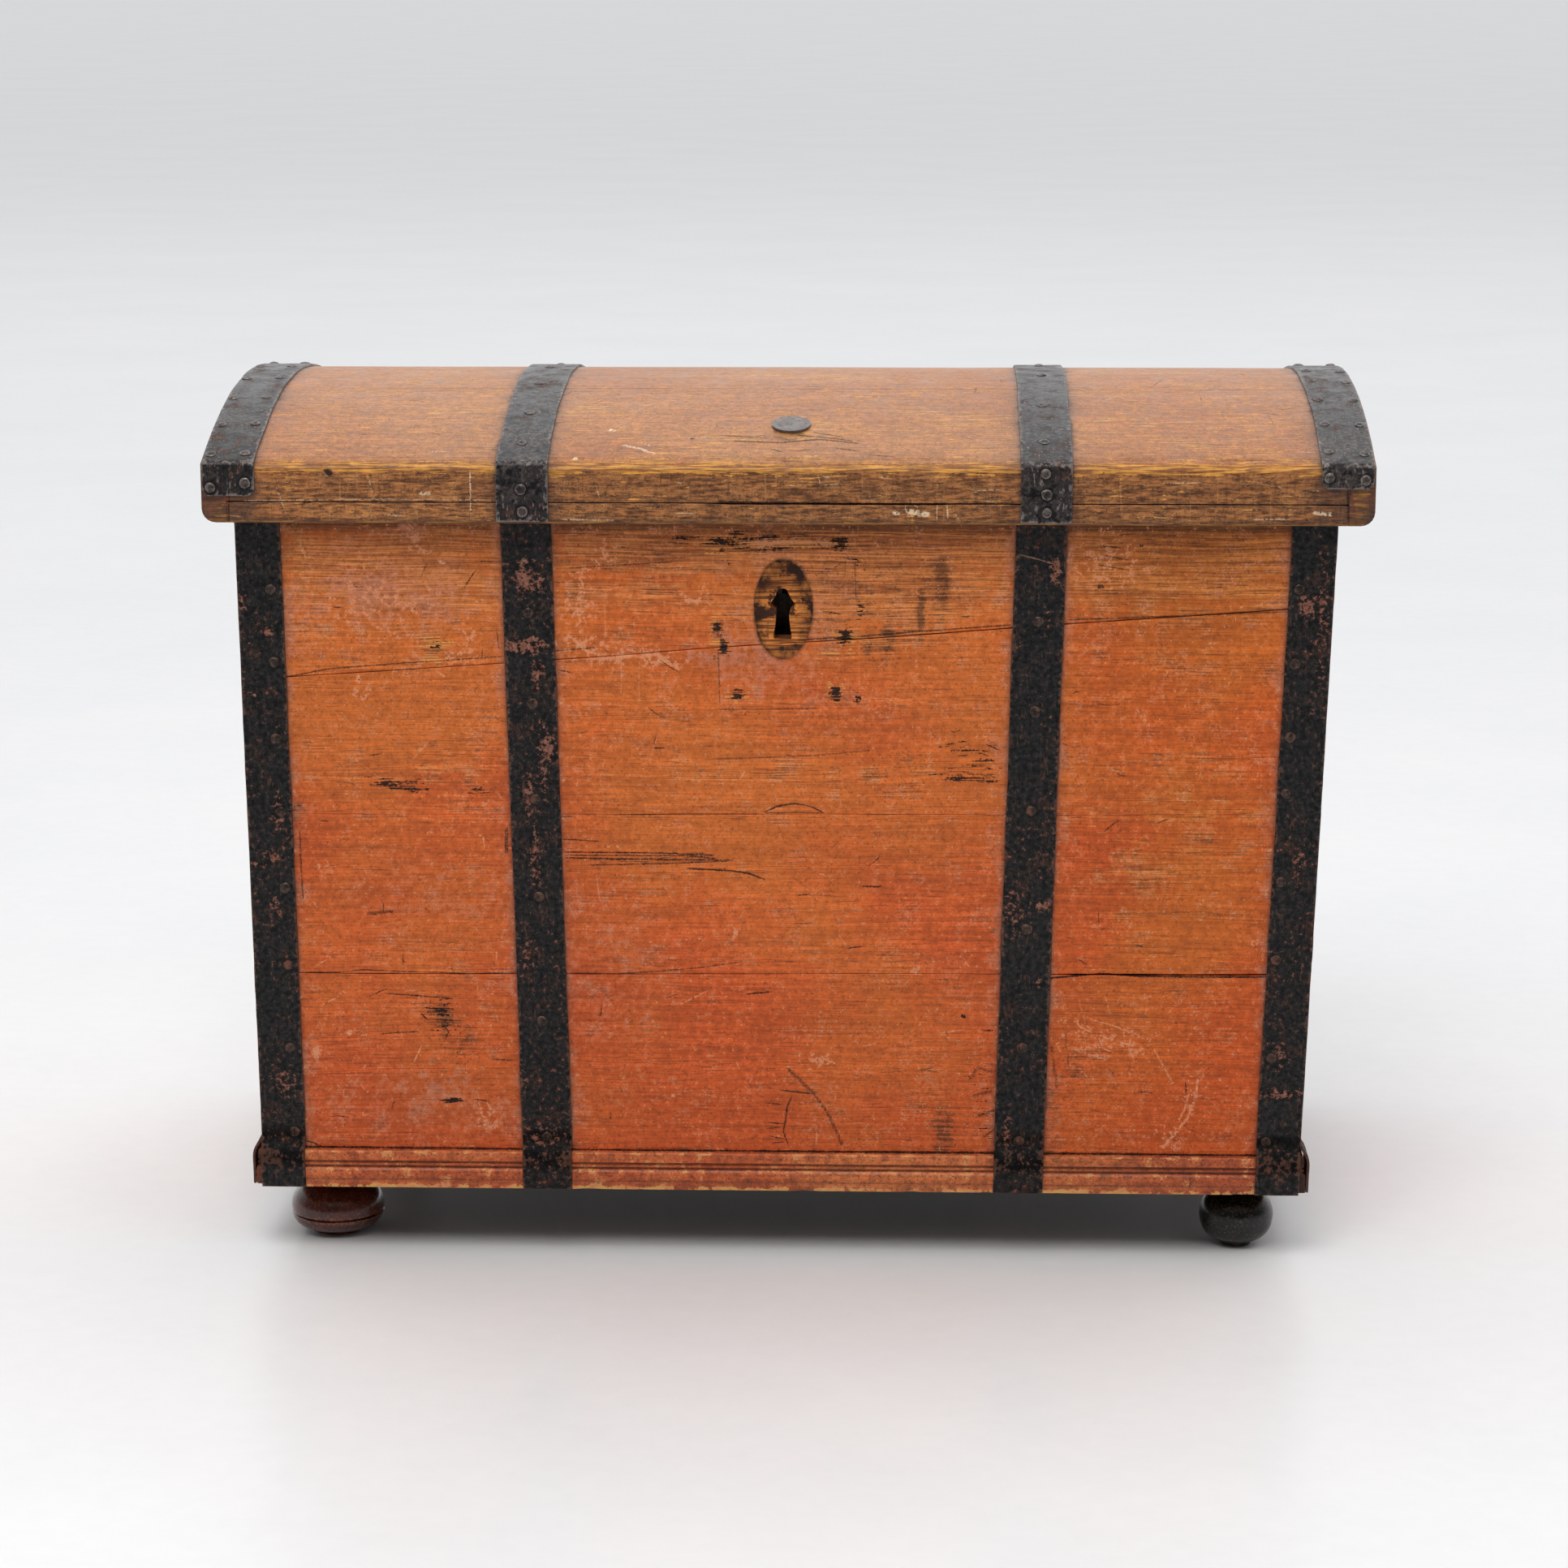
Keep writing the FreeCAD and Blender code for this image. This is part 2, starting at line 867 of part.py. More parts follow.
def foot(label, pts, arcs, x, y):
    """Turned bun foot; pts are (radius, height above the floor)."""
    b = new_body(label)
    sk = outline(b, label + "_outline", "XZ_Plane", pts, zero, arcs)
    f = b.newObject("PartDesign::Revolution", label + "_turn")
    f.Profile = sk
    f.ReferenceAxis = (sk, ["V_Axis"])
    f.Angle = 360.0
    sk.Visibility = False
    b.Placement = FreeCAD.Placement(Vec(x, y, 0), FreeCAD.Rotation())
    return b


foot_l_r = dim("left_foot_radius", 41.8)
foot_l_disc = dim("left_foot_disc_radius", 21.8)
foot_r_r = dim("right_foot_radius", 32.6)
foot_r_disc = dim("right_foot_disc_radius", 14.0)
doc.recompute()
left_foot = [
    (zero, zero),
    (foot_l_disc - 1.0, zero),
    (foot_l_disc, Q(1.2, "1.2")),
    (foot_l_disc, Q(3.4, "3.4")),
    (foot_l_disc + 4.5, Q(4.6, "4.6")),
    (foot_l_r - 0.2, Q(17.6, "17.6")),
    (foot_l_r - 2.0, Q(18.8, "18.8")),
    (foot_l_r - 0.2, Q(20.0, "20")),
    (foot_l_r - 14.0, Q(46.0, "46")),
    (foot_l_r - 17.0, Q(50.0, "50")),
    (foot_l_r - 17.0, base_z - 0.0),
    (tenon_r, base_z),
    (tenon_r, base_z + tenon_up),
    (zero, base_z + tenon_up),
]
left_arcs = {4: (Q(16.0, "16"), 1), 7: (Q(24.0, "24"), 1)}
right_foot = [
    (zero, zero),
    (foot_r_disc - 0.8, zero),
    (foot_r_disc, Q(1.0, "1")),
    (foot_r_disc, Q(3.6, "3.6")),
    (foot_r_disc + 3.5, Q(4.8, "4.8")),
    (foot_r_r, Q(22.5, "22.5")),
    (foot_r_r - 8.1, Q(47.5, "47.5")),
    (foot_r_r - 12.1, Q(52.0, "52")),
    (foot_r_r - 12.1, base_z - 0.0),
    (tenon_r, base_z),
    (tenon_r, base_z + tenon_up),
    (zero, base_z + tenon_up),
]
right_arcs = {4: (Q(20.0, "20"), 1), 5: (Q(26.0, "26"), 1)}
keep(foot("foot_front_left", left_foot, left_arcs, -foot_lx.val, foot_fyl.val))
keep(foot("foot_front_right", right_foot, right_arcs, foot_rx.val, foot_fyr.val))
keep(foot("foot_back_left", left_foot, left_arcs, -foot_lx.val, foot_by.val))
keep(foot("foot_back_right", right_foot, right_arcs, foot_rx.val, foot_by.val))

# --------------------------------------------------------------------- lock
lock_x = key_x
plate_thk = dim("lock_plate_thickness", 2.0)
plate_hw = dim("lock_plate_half_width", 62.0)
plate_lo = dim("lock_plate_low", 532.0)
plate_hi = dim("lock_plate_high", 670.0)
case_hw = dim("lock_case_half_width", 50.0)
case_lo = dim("lock_case_low", 546.0)
case_hi = dim("lock_case_high", 662.0)
case_deep = dim("lock_case_depth", 32.0)
case_wall = dim("lock_case_wall", 1.8)
bolt_z = dim("bolt_height", 640.0)
bolt_y = dim("bolt_offset", 14.0)
bolt_w = dim("bolt_width", 8.0)
bolt_t = dim("bolt_tall", 10.0)
bolt_x0 = dim("bolt_tail", -48.0)
bolt_x1 = dim("bolt_nose", -7.0)
staple_x = dim("staple_centre", 2.5)
staple_hw = dim("staple_half_thickness", 2.5)
staple_hd = dim("staple_half_depth", 9.5)
disc_y = dim("staple_disc_depth", -195.5)
disc_r = dim("staple_disc_radius", 16.8)
disc_t = dim("staple_disc_thickness", 2.0)
doc.recompute()
py0 = fy1
py1 = fy1 + plate_thk
lock_plate = prism(
    "lock_plate",
    "XZ_Plane",
    [
        (lock_x - plate_hw, plate_lo),
        (lock_x + plate_hw, plate_lo),
        (lock_x + plate_hw, plate_hi),
        (lock_x - plate_hw, plate_hi),
    ],
    py0,
    py1,
)
shape_cut(
    lock_plate,
    "plate_keyhole",
    "XZ_Plane",
    keyhole_pts,
    py0 - 1,
    py1 + 1,
    keyhole_arcs,
)
keep(lock_plate)
cy1 = py1 + case_deep
lock_case = prism(
    "lock_case",
    "XZ_Plane",
    [
        (lock_x - case_hw, case_lo),
        (lock_x + case_hw, case_lo),
        (lock_x + case_hw, case_hi),
        (lock_x - case_hw, case_hi),
    ],
    py1,
    cy1,
)
shape_cut(
    lock_case,
    "case_hollow",
    "XZ_Plane",
    [
        (lock_x - case_hw + case_wall, case_lo + case_wall),
        (lock_x + case_hw - case_wall, case_lo + case_wall),
        (lock_x + case_hw - case_wall, case_hi - case_wall),
        (lock_x - case_hw + case_wall, case_hi - case_wall),
    ],
    py1 - 1,
    cy1 - case_wall,
)
# slot in the case's top for the staple
shape_cut(
    lock_case,
    "case_slot",
    "XY_Plane",
    [
        (staple_x - 7.0, py1 + 0.5),
        (staple_x + 7.0, py1 + 0.5),
        (staple_x + 7.0, cy1 - case_wall - 1.0),
        (staple_x - 7.0, cy1 - case_wall - 1.0),
    ],
    case_hi - 4.0,
    case_hi + 1.0,
)
keep(lock_case)
bolt_yc = py1 + bolt_y
lock_bolt = prism(
    "lock_bolt",
    "YZ_Plane",
    [
        (bolt_yc - bolt_w / 2, bolt_z - bolt_t / 2),
        (bolt_yc + bolt_w / 2, bolt_z - bolt_t / 2),
        (bolt_yc + bolt_w / 2, bolt_z + bolt_t / 2),
        (bolt_yc - bolt_w / 2, bolt_z + bolt_t / 2),
    ],
    bolt_x0,
    bolt_x1,
)
# arm that reaches down past the bridge to the key's bit
prism(
    "lock_bolt_arm",
    "XZ_Plane",
    [
        (bolt_x0, bolt_z),
        (bolt_x0, bolt_z - 36.0),
        (bolt_x0 + 35.0, bolt_z - 36.0),
        (bolt_x0 + 35.0, bolt_z - 28.0),
        (bolt_x0 + 6.0, bolt_z - 28.0),
        (bolt_x0 + 6.0, bolt_z),
    ],
    bolt_yc - 3.0,
    bolt_yc + 3.0,
    into=lock_bolt,
)
keep(lock_bolt)
# bridge that guides the bolt
bridge = prism(
    "lock_bridge",
    "YZ_Plane",
    [
        (py1, bolt_z - bolt_t / 2 - 4.0),
        (bolt_yc + bolt_w / 2 + 4.0, bolt_z - bolt_t / 2 - 4.0),
        (bolt_yc + bolt_w / 2 + 4.0, bolt_z + bolt_t / 2 + 4.0),
        (py1, bolt_z + bolt_t / 2 + 4.0),
    ],
    bolt_x1 - 15.0,
    bolt_x1 - 7.0,
)
shape_cut(
    bridge,
    "bridge_way",
    "YZ_Plane",
    [
        (bolt_yc - bolt_w / 2 - 0.35, bolt_z - bolt_t / 2 - 0.35),
        (bolt_yc + bolt_w / 2 + 0.35, bolt_z - bolt_t / 2 - 0.35),
        (bolt_yc + bolt_w / 2 + 0.35, bolt_z + bolt_t / 2 + 0.35),
        (bolt_yc - bolt_w / 2 - 0.35, bolt_z + bolt_t / 2 + 0.35),
    ],
    bolt_x1 - 16.0,
    bolt_x1 - 6.0,
)
keep(bridge)
post = new_body("lock_key_post")
round_pad(
    post,
    "key_post_round",
    "XZ_Plane",
    (key_x, key_z),
    2.4,
    py1 + 3.0,
    cy1 - case_wall,
)
keep(post)
# staple: plate with an eye for the bolt, tang through the lid, clenched disc
staple_lo = bolt_z - bolt_t / 2 - 7.0
staple_hi = dome(bolt_yc - y_shift, Rin) + 2.0
staple = prism(
    "lock_staple",
    "YZ_Plane",
    [
        (bolt_yc - staple_hd, staple_lo),
        (bolt_yc + staple_hd, staple_lo),
        (bolt_yc + staple_hd, staple_hi),
        (bolt_yc - staple_hd, staple_hi),
    ],
    staple_x - staple_hw,
    staple_x + staple_hw,
)
shape_cut(
    staple,
    "staple_eye",
    "YZ_Plane",
    [
        (bolt_yc - bolt_w / 2 - 1.4, bolt_z - bolt_t / 2 - 2.0),
        (bolt_yc + bolt_w / 2 + 1.4, bolt_z - bolt_t / 2 - 2.0),
        (bolt_yc + bolt_w / 2 + 1.4, bolt_z + bolt_t / 2 + 2.0),
        (bolt_yc - bolt_w / 2 - 1.4, bolt_z + bolt_t / 2 + 2.0),
    ],
    staple_x - staple_hw - 1,
    staple_x + staple_hw + 1,
)
prism(
    "staple_tang",
    "YZ_Plane",
    [
        (Y(disc_y) - 3.5, staple_hi - 6.0),
        (Y(disc_y) + 3.5, staple_hi - 6.0),
        (Y(disc_y) + 3.5, dome(disc_y) - 0.5),
        (Y(disc_y) - 3.5, dome(disc_y) - 0.5),
    ],
    staple_x - staple_hw,
    staple_x + staple_hw,
    into=staple,
)
doc.recompute()
keep(staple)
disc = doc.addObject("Part::Cylinder", "staple_disc")
disc.Label = "staple_disc"
disc.setExpression("Radius", disc_r.txt)
disc.setExpression("Height", disc_t.txt)
out = Vec(0, disc_y.val, dome(disc_y).val - dome_z.val)
out.normalize()
disc.Placement = FreeCAD.Placement(
    Vec(staple_x.val, Y(disc_y).val, dome(disc_y).val) + out * 0.02,
    FreeCAD.Rotation(Vec(0, 0, 1), out),
)
keep(disc)

# ---------------------------------------------------------------- end handles
handles = {}
for side, edge, lean, sx in (
    ("left", left_x, left_lean, -1),
    ("right", right_x, right_lean, 1),
):
    tilt = sx * math.degrees(math.atan(lean.val))
    face = edge(bail_z)
    mid = Y((front_y.val + back_y.val) / 2)
    handles[side] = (face + sx * bail_off, mid)
    # two forged eyes, each a small plate on the end wall with a ring
    eyes = []
    for end, sy in (("front", -1), ("back", 1)):
        label = "handle_eye_%s_%s" % (side, end)
        yc = mid + sy * (bail_arm + bail_end) / 2
        lo, hi = sorted(
            (face + sx * 0.0, face + sx * iron), key=lambda v: v.val
        )
        b = prism(
            label,
            "YZ_Plane",
            [
                (yc - 11.0, bail_z - 24.0),
                (yc + 11.0, bail_z - 24.0),
                (yc + 11.0, bail_z + 24.0),
                (yc - 11.0, bail_z + 24.0),
            ],
            lo,
            hi,
        )
        cx = face + sx * bail_off
        lo, hi = sorted((face + sx * 1.0, cx), key=lambda v: v.val)
        prism(
            label,
            "XZ_Plane",
            [
                (lo, bail_z - eye_r + 1.0),
                (hi, bail_z - eye_r + 1.0),
                (hi, bail_z + eye_r - 1.0),
                (lo, bail_z + eye_r - 1.0),
            ],
            yc - 3.5,
            yc + 3.5,
            into=b,
            tag="_neck",
        )
        round_pad(
            b, label + "_ring", "XZ_Plane", (cx, bail_z), eye_r, yc - 3.5, yc + 3.5
        )
        round_cut(
            b, label + "_bore", "XZ_Plane", (cx, bail_z), eye_bore, yc - 4.0, yc + 4.0
        )
        tilted(b, face.val, bail_z.val, tilt)
        eyes.append(b)
    pair = doc.addObject("Part::Compound", "handle_eyes_" + side)
    pair.Label = "handle_eyes_" + side
    pair.Links = eyes
    keep(pair)
    # bail: round rod, ends turned out through the eyes, hanging straight down
    label = "handle_bail_" + side
    b = new_body(label)
    r1, r2 = 7.0, 22.0
    path = b.newObject("Sketcher::SketchObject", label + "_path")
    path.AttachmentSupport = [(origin_plane(b, "YZ_Plane"), "")]
    path.MapMode = "FlatFace"
    a, e, d = bail_arm.val, bail_end.val, bail_drop.val
    line = [
        (Vec(-e, 0, 0), Vec(-a - r1, 0, 0)),
        (Vec(-a, -r1, 0), Vec(-a, -d + r2, 0)),
        (Vec(-a + r2, -d, 0), Vec(a - r2, -d, 0)),
        (Vec(a, -d + r2, 0), Vec(a, -r1, 0)),
        (Vec(a + r1, 0, 0), Vec(e, 0, 0)),
    ]
    turns = [
        (Vec(-a - r1, -r1, 0), r1, 0.0, math.pi / 2),
        (Vec(-a + r2, -d + r2, 0), r2, math.pi, 1.5 * math.pi),
        (Vec(a - r2, -d + r2, 0), r2, 1.5 * math.pi, 2 * math.pi),
        (Vec(a + r1, -r1, 0), r1, math.pi / 2, math.pi),
    ]
    for k in range(5):
        path.addGeometry(Part.LineSegment(*line[k]), False)
        if k < 4:
            c, r, a0, a1 = turns[k]
            path.addGeometry(
                Part.ArcOfCircle(Part.Circle(c, Vec(0, 0, 1), r), a0, a1), False
            )
    rod = ring(
        b, label + "_rod", "XZ_Plane", (zero, zero), bail_r, bail_end
    )
    f = b.newObject("PartDesign::AdditivePipe", label + "_sweep")
    f.Profile = rod
    f.Spine = (path, [])
    rod.Visibility = False
    path.Visibility = False
    hx, hy = handles[side]
    pos = Vec(hx.val, hy.val, bail_z.val)
    # the eyes are tilted about the wall point, so the axis moves with them
    turn = FreeCAD.Rotation(Vec(0, 1, 0), tilt)
    about = Vec(face.val, 0, bail_z.val)
    moved = about + turn.multVec(Vec(hx.val - face.val, 0, 0))
    b.Placement = FreeCAD.Placement(
        Vec(moved.x, hy.val, moved.z), FreeCAD.Rotation()
    )
    print("bail axis", side, round(moved.x, 3), round(moved.z, 3))
    keep(b)

# --------------------------------------------------------------------- till
till_x = dim("till_side_face", -340.0)
till_thk = dim("till_board_thickness", 12.0)
till_lo = dim("till_low", 530.0)
till_hi = dim("till_high", 652.0)
doc.recompute()
keep(
    prism(
        "till_side_board",
        "YZ_Plane",
        [(fy1, till_lo), (by0, till_lo), (by0, till_hi), (fy1, till_hi)],
        till_x - till_thk,
        till_x,
    )
)
keep(
    prism(
        "till_bottom_board",
        "XY_Plane",
        [
            (left_x(till_lo) + wall + 0.4, fy1),
            (till_x - till_thk, fy1),
            (till_x - till_thk, by0),
            (left_x(till_lo) + wall + 0.4, by0),
        ],
        till_lo,
        till_lo + till_thk,
    )
)

# -------------------------------------------------------------------- nails
nail = new_body("nail_pattern")
nail_sk = outline(
    nail,
    "nail_outline",
    "XZ_Plane",
    [
        (zero, -nail_long),
        (nail_shank_r * 0.4, -nail_long),
        (nail_shank_r, -nail_long + 4.0),
        (nail_shank_r, zero),
        (nail_head_r, zero),
        (nail_head_r, nail_head_up * 0.35),
        (nail_head_r * 0.55, nail_head_up * 0.9),
        (zero, nail_head_up),
    ],
    zero,
)
nail_rev = nail.newObject("PartDesign::Revolution", "nail_turn")
nail_rev.Profile = nail_sk
nail_rev.ReferenceAxis = (nail_sk, ["V_Axis"])
nail_rev.Angle = 360.0
doc.recompute()


def nails(label, places):
    """places: (point, outward direction) of each nail's head."""
    shapes = []
    for p, d in places:
        s = nail.Shape.copy()
        s.Placement = FreeCAD.Placement(p, FreeCAD.Rotation(Vec(0, 0, 1), d))
        shapes.append(s)
    f = doc.addObject("Part::Feature", label)
    f.Label = label
    f.Shape = Part.makeCompound(shapes)
    return keep(f)


ysv = y_shift.val
irn = iron.val
fo = front_y.val + ysv - irn
front_places = []
for x, z in (
    (-223.1, 577.6),
    (-220.7, 497.8),
    (-219.1, 412.9),
    (-217.5, 325.7),
    (-216.2, 213.2),
    (-213.2, 107.0),
    (216.2, 571.7),
    (214.3, 492.8),
    (211.7, 405.3),
    (209.3, 299.4),
    (206.2, 192.2),
    (204.6, 106.5),
    (-446.4, 597.2),
    (-444.7, 533.2),
    (-445.1, 465.7),
    (-442.6, 400.7),
    (-440.6, 332.2),
    (-439.5, 262.4),
    (-440.2, 186.9),
    (-438.0, 110.0),
    (439.3, 600.8),
    (437.0, 535.9),
    (434.6, 471.1),
    (432.0, 421.7),
    (429.3, 343.1),
    (426.7, 273.3),
    (424.6, 184.4),
    (421.8, 108.0),
):
    front_places.append((Vec(x, fo, z), Vec(0, -1, 0)))
nails("front_iron_nails", front_places)

side_places = []
for edge, lean, sx in (
    (left_x, left_lean, -1),
    (right_x, right_lean, 1),
):
    tilt = FreeCAD.Rotation(
        Vec(0, 1, 0), sx * math.degrees(math.atan(lean.val))
    )
    out = tilt.multVec(Vec(sx, 0, 0))
    for y in (fy1.val + 6.0, by0.val - 6.0):
        for z in (620.0, 530.0, 440.0, 350.0, 260.0, 170.0):
            base = Vec(edge(lean_ref).val, y, lean_ref.val)
            p = base + tilt.multVec(
                Vec(sx * irn, 0, z - lean_ref.val)
            )
            side_places.append((p, out))
nails("side_iron_nails", side_places)

bo = back_y.val + ysv + irn
back_places = []
for x in (-lid_strap_l.val, lid_strap_r.val):
    for z in (640.0, 560.0, 460.0, 355.0, 250.0, 140.0):
        back_places.append((Vec(x, bo, z), Vec(0, 1, 0)))
for edge, sx in ((left_x, -1), (right_x, 1)):
    for z in (600.0, 500.0, 400.0, 300.0, 200.0, 120.0):
        back_places.append(
            (Vec(edge(z).val - sx * 28.0, bo, z), Vec(0, 1, 0))
        )
nails("back_iron_nails", back_places)


def on_dome(x, y):
    d = Vec(0, y, math.sqrt(R.val ** 2 - y * y))
    d.normalize()
    return (
        Vec(x, ysv, dome_z.val) + d * Ro.val,
        d,
    )


lid_front_o = -lid_hd.val - irn + ysv
lid_back_o = lid_hd.val + irn + ysv
lid_places = []
for x, y in (
    (-492.0, -258.0),
    (-463.0, -256.0),
    (-492.0, -202.2),
    (-462.8, -198.4),
    (-492.4, -134.8),
    (-463.4, -132.2),
    (-492.2, -63.9),
    (-463.0, -59.8),
    (-492.0, 12.0),
    (-463.0, 14.0),
    (-492.0, 88.0),
    (-463.0, 90.0),
    (-492.0, 164.0),
    (-463.0, 166.0),
    (-492.0, 240.0),
    (-463.0, 238.0),
    (460.8, -248.7),
    (490.6, -252.8),
    (462.0, -194.3),
    (492.2, -195.9),
    (462.0, -132.3),
    (492.1, -134.4),
    (462.0, -64.7),
    (492.2, -71.6),
    (462.0, -8.7),
    (491.5, -14.3),
    (462.0, 70.0),
    (492.0, 72.0),
    (462.0, 150.0),
    (492.0, 152.0),
    (462.0, 236.0),
    (492.0, 238.0),
    (-226.2, -82.3),
    (-226.4, -172.3),
    (-226.8, -236.4),
    (-225.5, 12.0),
    (-224.5, 110.0),
    (-224.5, 205.0),
    (222.3, -38.8),
    (220.9, -150.3),
    (220.2, -232.3),
    (222.0, 40.0),
    (222.0, 130.0),
    (222.0, 215.0),
):
    lid_places.append(on_dome(x, y))
for x, z in (
    (-491.0, 689.0),
    (-461.5, 693.0),
    (460.0, 700.1),
    (490.5, 698.2),
    (-225.7, 688.4),
    (-224.7, 669.0),
    (220.6, 703.0),
    (221.8, 684.9),
    (222.0, 669.5),
):
    lid_places.append((Vec(x, lid_front_o, z), Vec(0, -1, 0)))
for x, z in (
    (-491.0, 696.0),
    (-461.5, 696.0),
    (460.0, 699.0),
    (490.5, 699.0),
    (-224.7, 696.0),
    (221.7, 696.0),
):
    lid_places.append((Vec(x, lid_back_o, z), Vec(0, 1, 0)))
nails("lid_strap_nails", lid_places)

eye_places = []
for side, edge, lean, sx in (
    ("left", left_x, left_lean, -1),
    ("right", right_x, right_lean, 1),
):
    tilt = FreeCAD.Rotation(
        Vec(0, 1, 0), sx * math.degrees(math.atan(lean.val))
    )
    out = tilt.multVec(Vec(sx, 0, 0))
    face = edge(bail_z).val
    for sy in (-1, 1):
        yc = handles[side][1].val + sy * (bail_arm.val + bail_end.val) / 2
        for dz in (-16.5, 16.5):
            p = Vec(face, yc, bail_z.val) + tilt.multVec(
                Vec(sx * irn, 0, dz)
            )
            eye_places.append((p, out))
nails("handle_nails", eye_places)

# ------------------------------------------------------------ test and write
doc.recompute()
bad = [
    (o.Label, o.State)
    for o in doc.Objects
    if "Invalid" in o.State or "Error" in o.State
]
if bad:
    raise RuntimeError("failed objects: %s" % bad)
names = set()
for o in exports:
    s = o.Shape
    if s.isNull() or not s.isValid() or not s.Solids:
        raise RuntimeError("bad shape: " + o.Label)
    if o.Label in names:
        raise RuntimeError("name used twice: " + o.Label)
    names.add(o.Label)
box = FreeCAD.BoundBox()
for o in exports:
    box.add(o.Shape.BoundBox)
print("nodes", len(exports))
print("box", box)
os.makedirs("parts", exist_ok=True)
for o in exports:
    o.Shape.exportStep("parts/%s.step" % o.Label)
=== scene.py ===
import bpy
import bmesh
import json
import math
import numpy as np
from mathutils import Matrix, Vector


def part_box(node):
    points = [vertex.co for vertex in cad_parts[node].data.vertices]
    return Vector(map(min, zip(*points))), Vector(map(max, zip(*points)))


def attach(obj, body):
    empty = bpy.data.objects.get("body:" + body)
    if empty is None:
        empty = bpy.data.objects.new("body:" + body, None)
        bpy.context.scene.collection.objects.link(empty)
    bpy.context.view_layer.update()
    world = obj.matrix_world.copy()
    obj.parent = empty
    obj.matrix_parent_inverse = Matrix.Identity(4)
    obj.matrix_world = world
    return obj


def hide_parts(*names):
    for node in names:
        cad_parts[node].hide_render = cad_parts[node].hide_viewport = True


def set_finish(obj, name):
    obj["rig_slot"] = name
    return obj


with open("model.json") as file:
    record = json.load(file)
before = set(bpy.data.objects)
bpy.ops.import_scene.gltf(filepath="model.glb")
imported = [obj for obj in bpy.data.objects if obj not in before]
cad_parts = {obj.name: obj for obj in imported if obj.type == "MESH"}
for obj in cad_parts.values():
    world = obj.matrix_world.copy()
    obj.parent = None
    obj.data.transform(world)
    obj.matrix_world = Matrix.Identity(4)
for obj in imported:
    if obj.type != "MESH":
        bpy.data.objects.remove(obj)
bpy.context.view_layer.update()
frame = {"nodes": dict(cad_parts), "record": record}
NODES = frame["nodes"]


# ---------------------------------------------------------------- noise


def _hash(ix, iy, iz, seed):
    n = (ix * 374761393 + iy * 668265263 + iz * 1442695041 + seed * 1274126177) & 0xFFFFFFFF
    n = ((n ^ (n >> 13)) * 1274126177) & 0xFFFFFFFF
    n = ((n ^ (n >> 15)) * 2246822519) & 0xFFFFFFFF
    return (n ^ (n >> 16)) / 4294967295.0


def vnoise(p, seed=0):
    """Smooth value noise, -1 to 1, at points p (n, 3)."""
    p = np.asarray(p, float).reshape(-1, 3)
    f = np.floor(p)
    i = f.astype(np.int64)
    t = p - f
    t = t * t * (3 - 2 * t)
    out = np.zeros(len(p))
    for dx in (0, 1):
        wx = t[:, 0] if dx else 1 - t[:, 0]
        for dy in (0, 1):
            wy = t[:, 1] if dy else 1 - t[:, 1]
            for dz in (0, 1):
                wz = t[:, 2] if dz else 1 - t[:, 2]
                out += wx * wy * wz * _hash(i[:, 0] + dx, i[:, 1] + dy, i[:, 2] + dz, seed)
    return out * 2 - 1


def fbm(p, octaves=3, seed=0):
    p = np.asarray(p, float).reshape(-1, 3)
    out, amp, tot = np.zeros(len(p)), 1.0, 0.0
    for k in range(octaves):
        out += amp * vnoise(p * 2.03**k + 17.3 * k, seed + 11 * k)
        tot += amp
        amp *= 0.5
    return out / tot


def n1(x, wl, seed):
    """One-dimensional noise with wavelength wl."""
    x = np.asarray(x, float)
    q = np.zeros((x.size, 3))
    q[:, 0] = x.ravel() / wl
    q[:, 1] = seed * 7.31
    return vnoise(q, seed).reshape(x.shape)


def sstep(a, b, x):
    t = np.clip((np.asarray(x, float) - a) / (b - a), 0, 1)
    return t * t * (3 - 2 * t)


# ---------------------------------------------------------------- meshes


def make(name, V, faces, angle=38.0):
    """A mesh object from points in millimetres, normals outward."""
    me = bpy.data.meshes.new(name)
    me.from_pydata((np.asarray(V, float) * 0.001).tolist(), [], faces)
    bm = bmesh.new()
    bm.from_mesh(me)
    bmesh.ops.recalc_face_normals(bm, faces=bm.faces)
    bm.to_mesh(me)
    bm.free()
    me.polygons.foreach_set("use_smooth", [True] * len(me.polygons))
    me.set_sharp_from_angle(angle=math.radians(angle))
    ob = bpy.data.objects.new(name, me)
    bpy.context.scene.collection.objects.link(ob)
    return ob


def ring_faces(n, m, base=0, cap0=True, cap1=True, closed=True):
    idx = base + np.arange(n * m).reshape(n, m)
    if closed:
        nx = np.roll(idx, -1, axis=1)
        q = np.stack([idx[:-1], nx[:-1], nx[1:], idx[1:]], -1).reshape(-1, 4)
    else:
        q = np.stack([idx[:-1, :-1], idx[:-1, 1:], idx[1:, 1:], idx[1:, :-1]], -1).reshape(-1, 4)
    faces = q.tolist()
    if cap0:
        faces.append(idx[0, ::-1].tolist())
    if cap1:
        faces.append(idx[-1].tolist())
    return faces


def loft(name, S, angle=38.0):
    """S is (n, m, 3): n closed rings of m points, capped at both ends."""
    n, m, _ = S.shape
    return make(name, S.reshape(-1, 3), ring_faces(n, m), angle)


def lathe(profile, centre, segs=64):
    """Rings of a turned solid about a vertical axis; profile is (r, z)."""
    a = np.linspace(0, 2 * math.pi, segs, endpoint=False)
    pr = np.array(profile, float)
    S = np.zeros((len(pr), segs, 3))
    S[:, :, 0] = centre[0] + pr[:, :1] * np.cos(a)
    S[:, :, 1] = centre[1] + pr[:, :1] * np.sin(a)
    S[:, :, 2] = pr[:, 1:2]
    return S


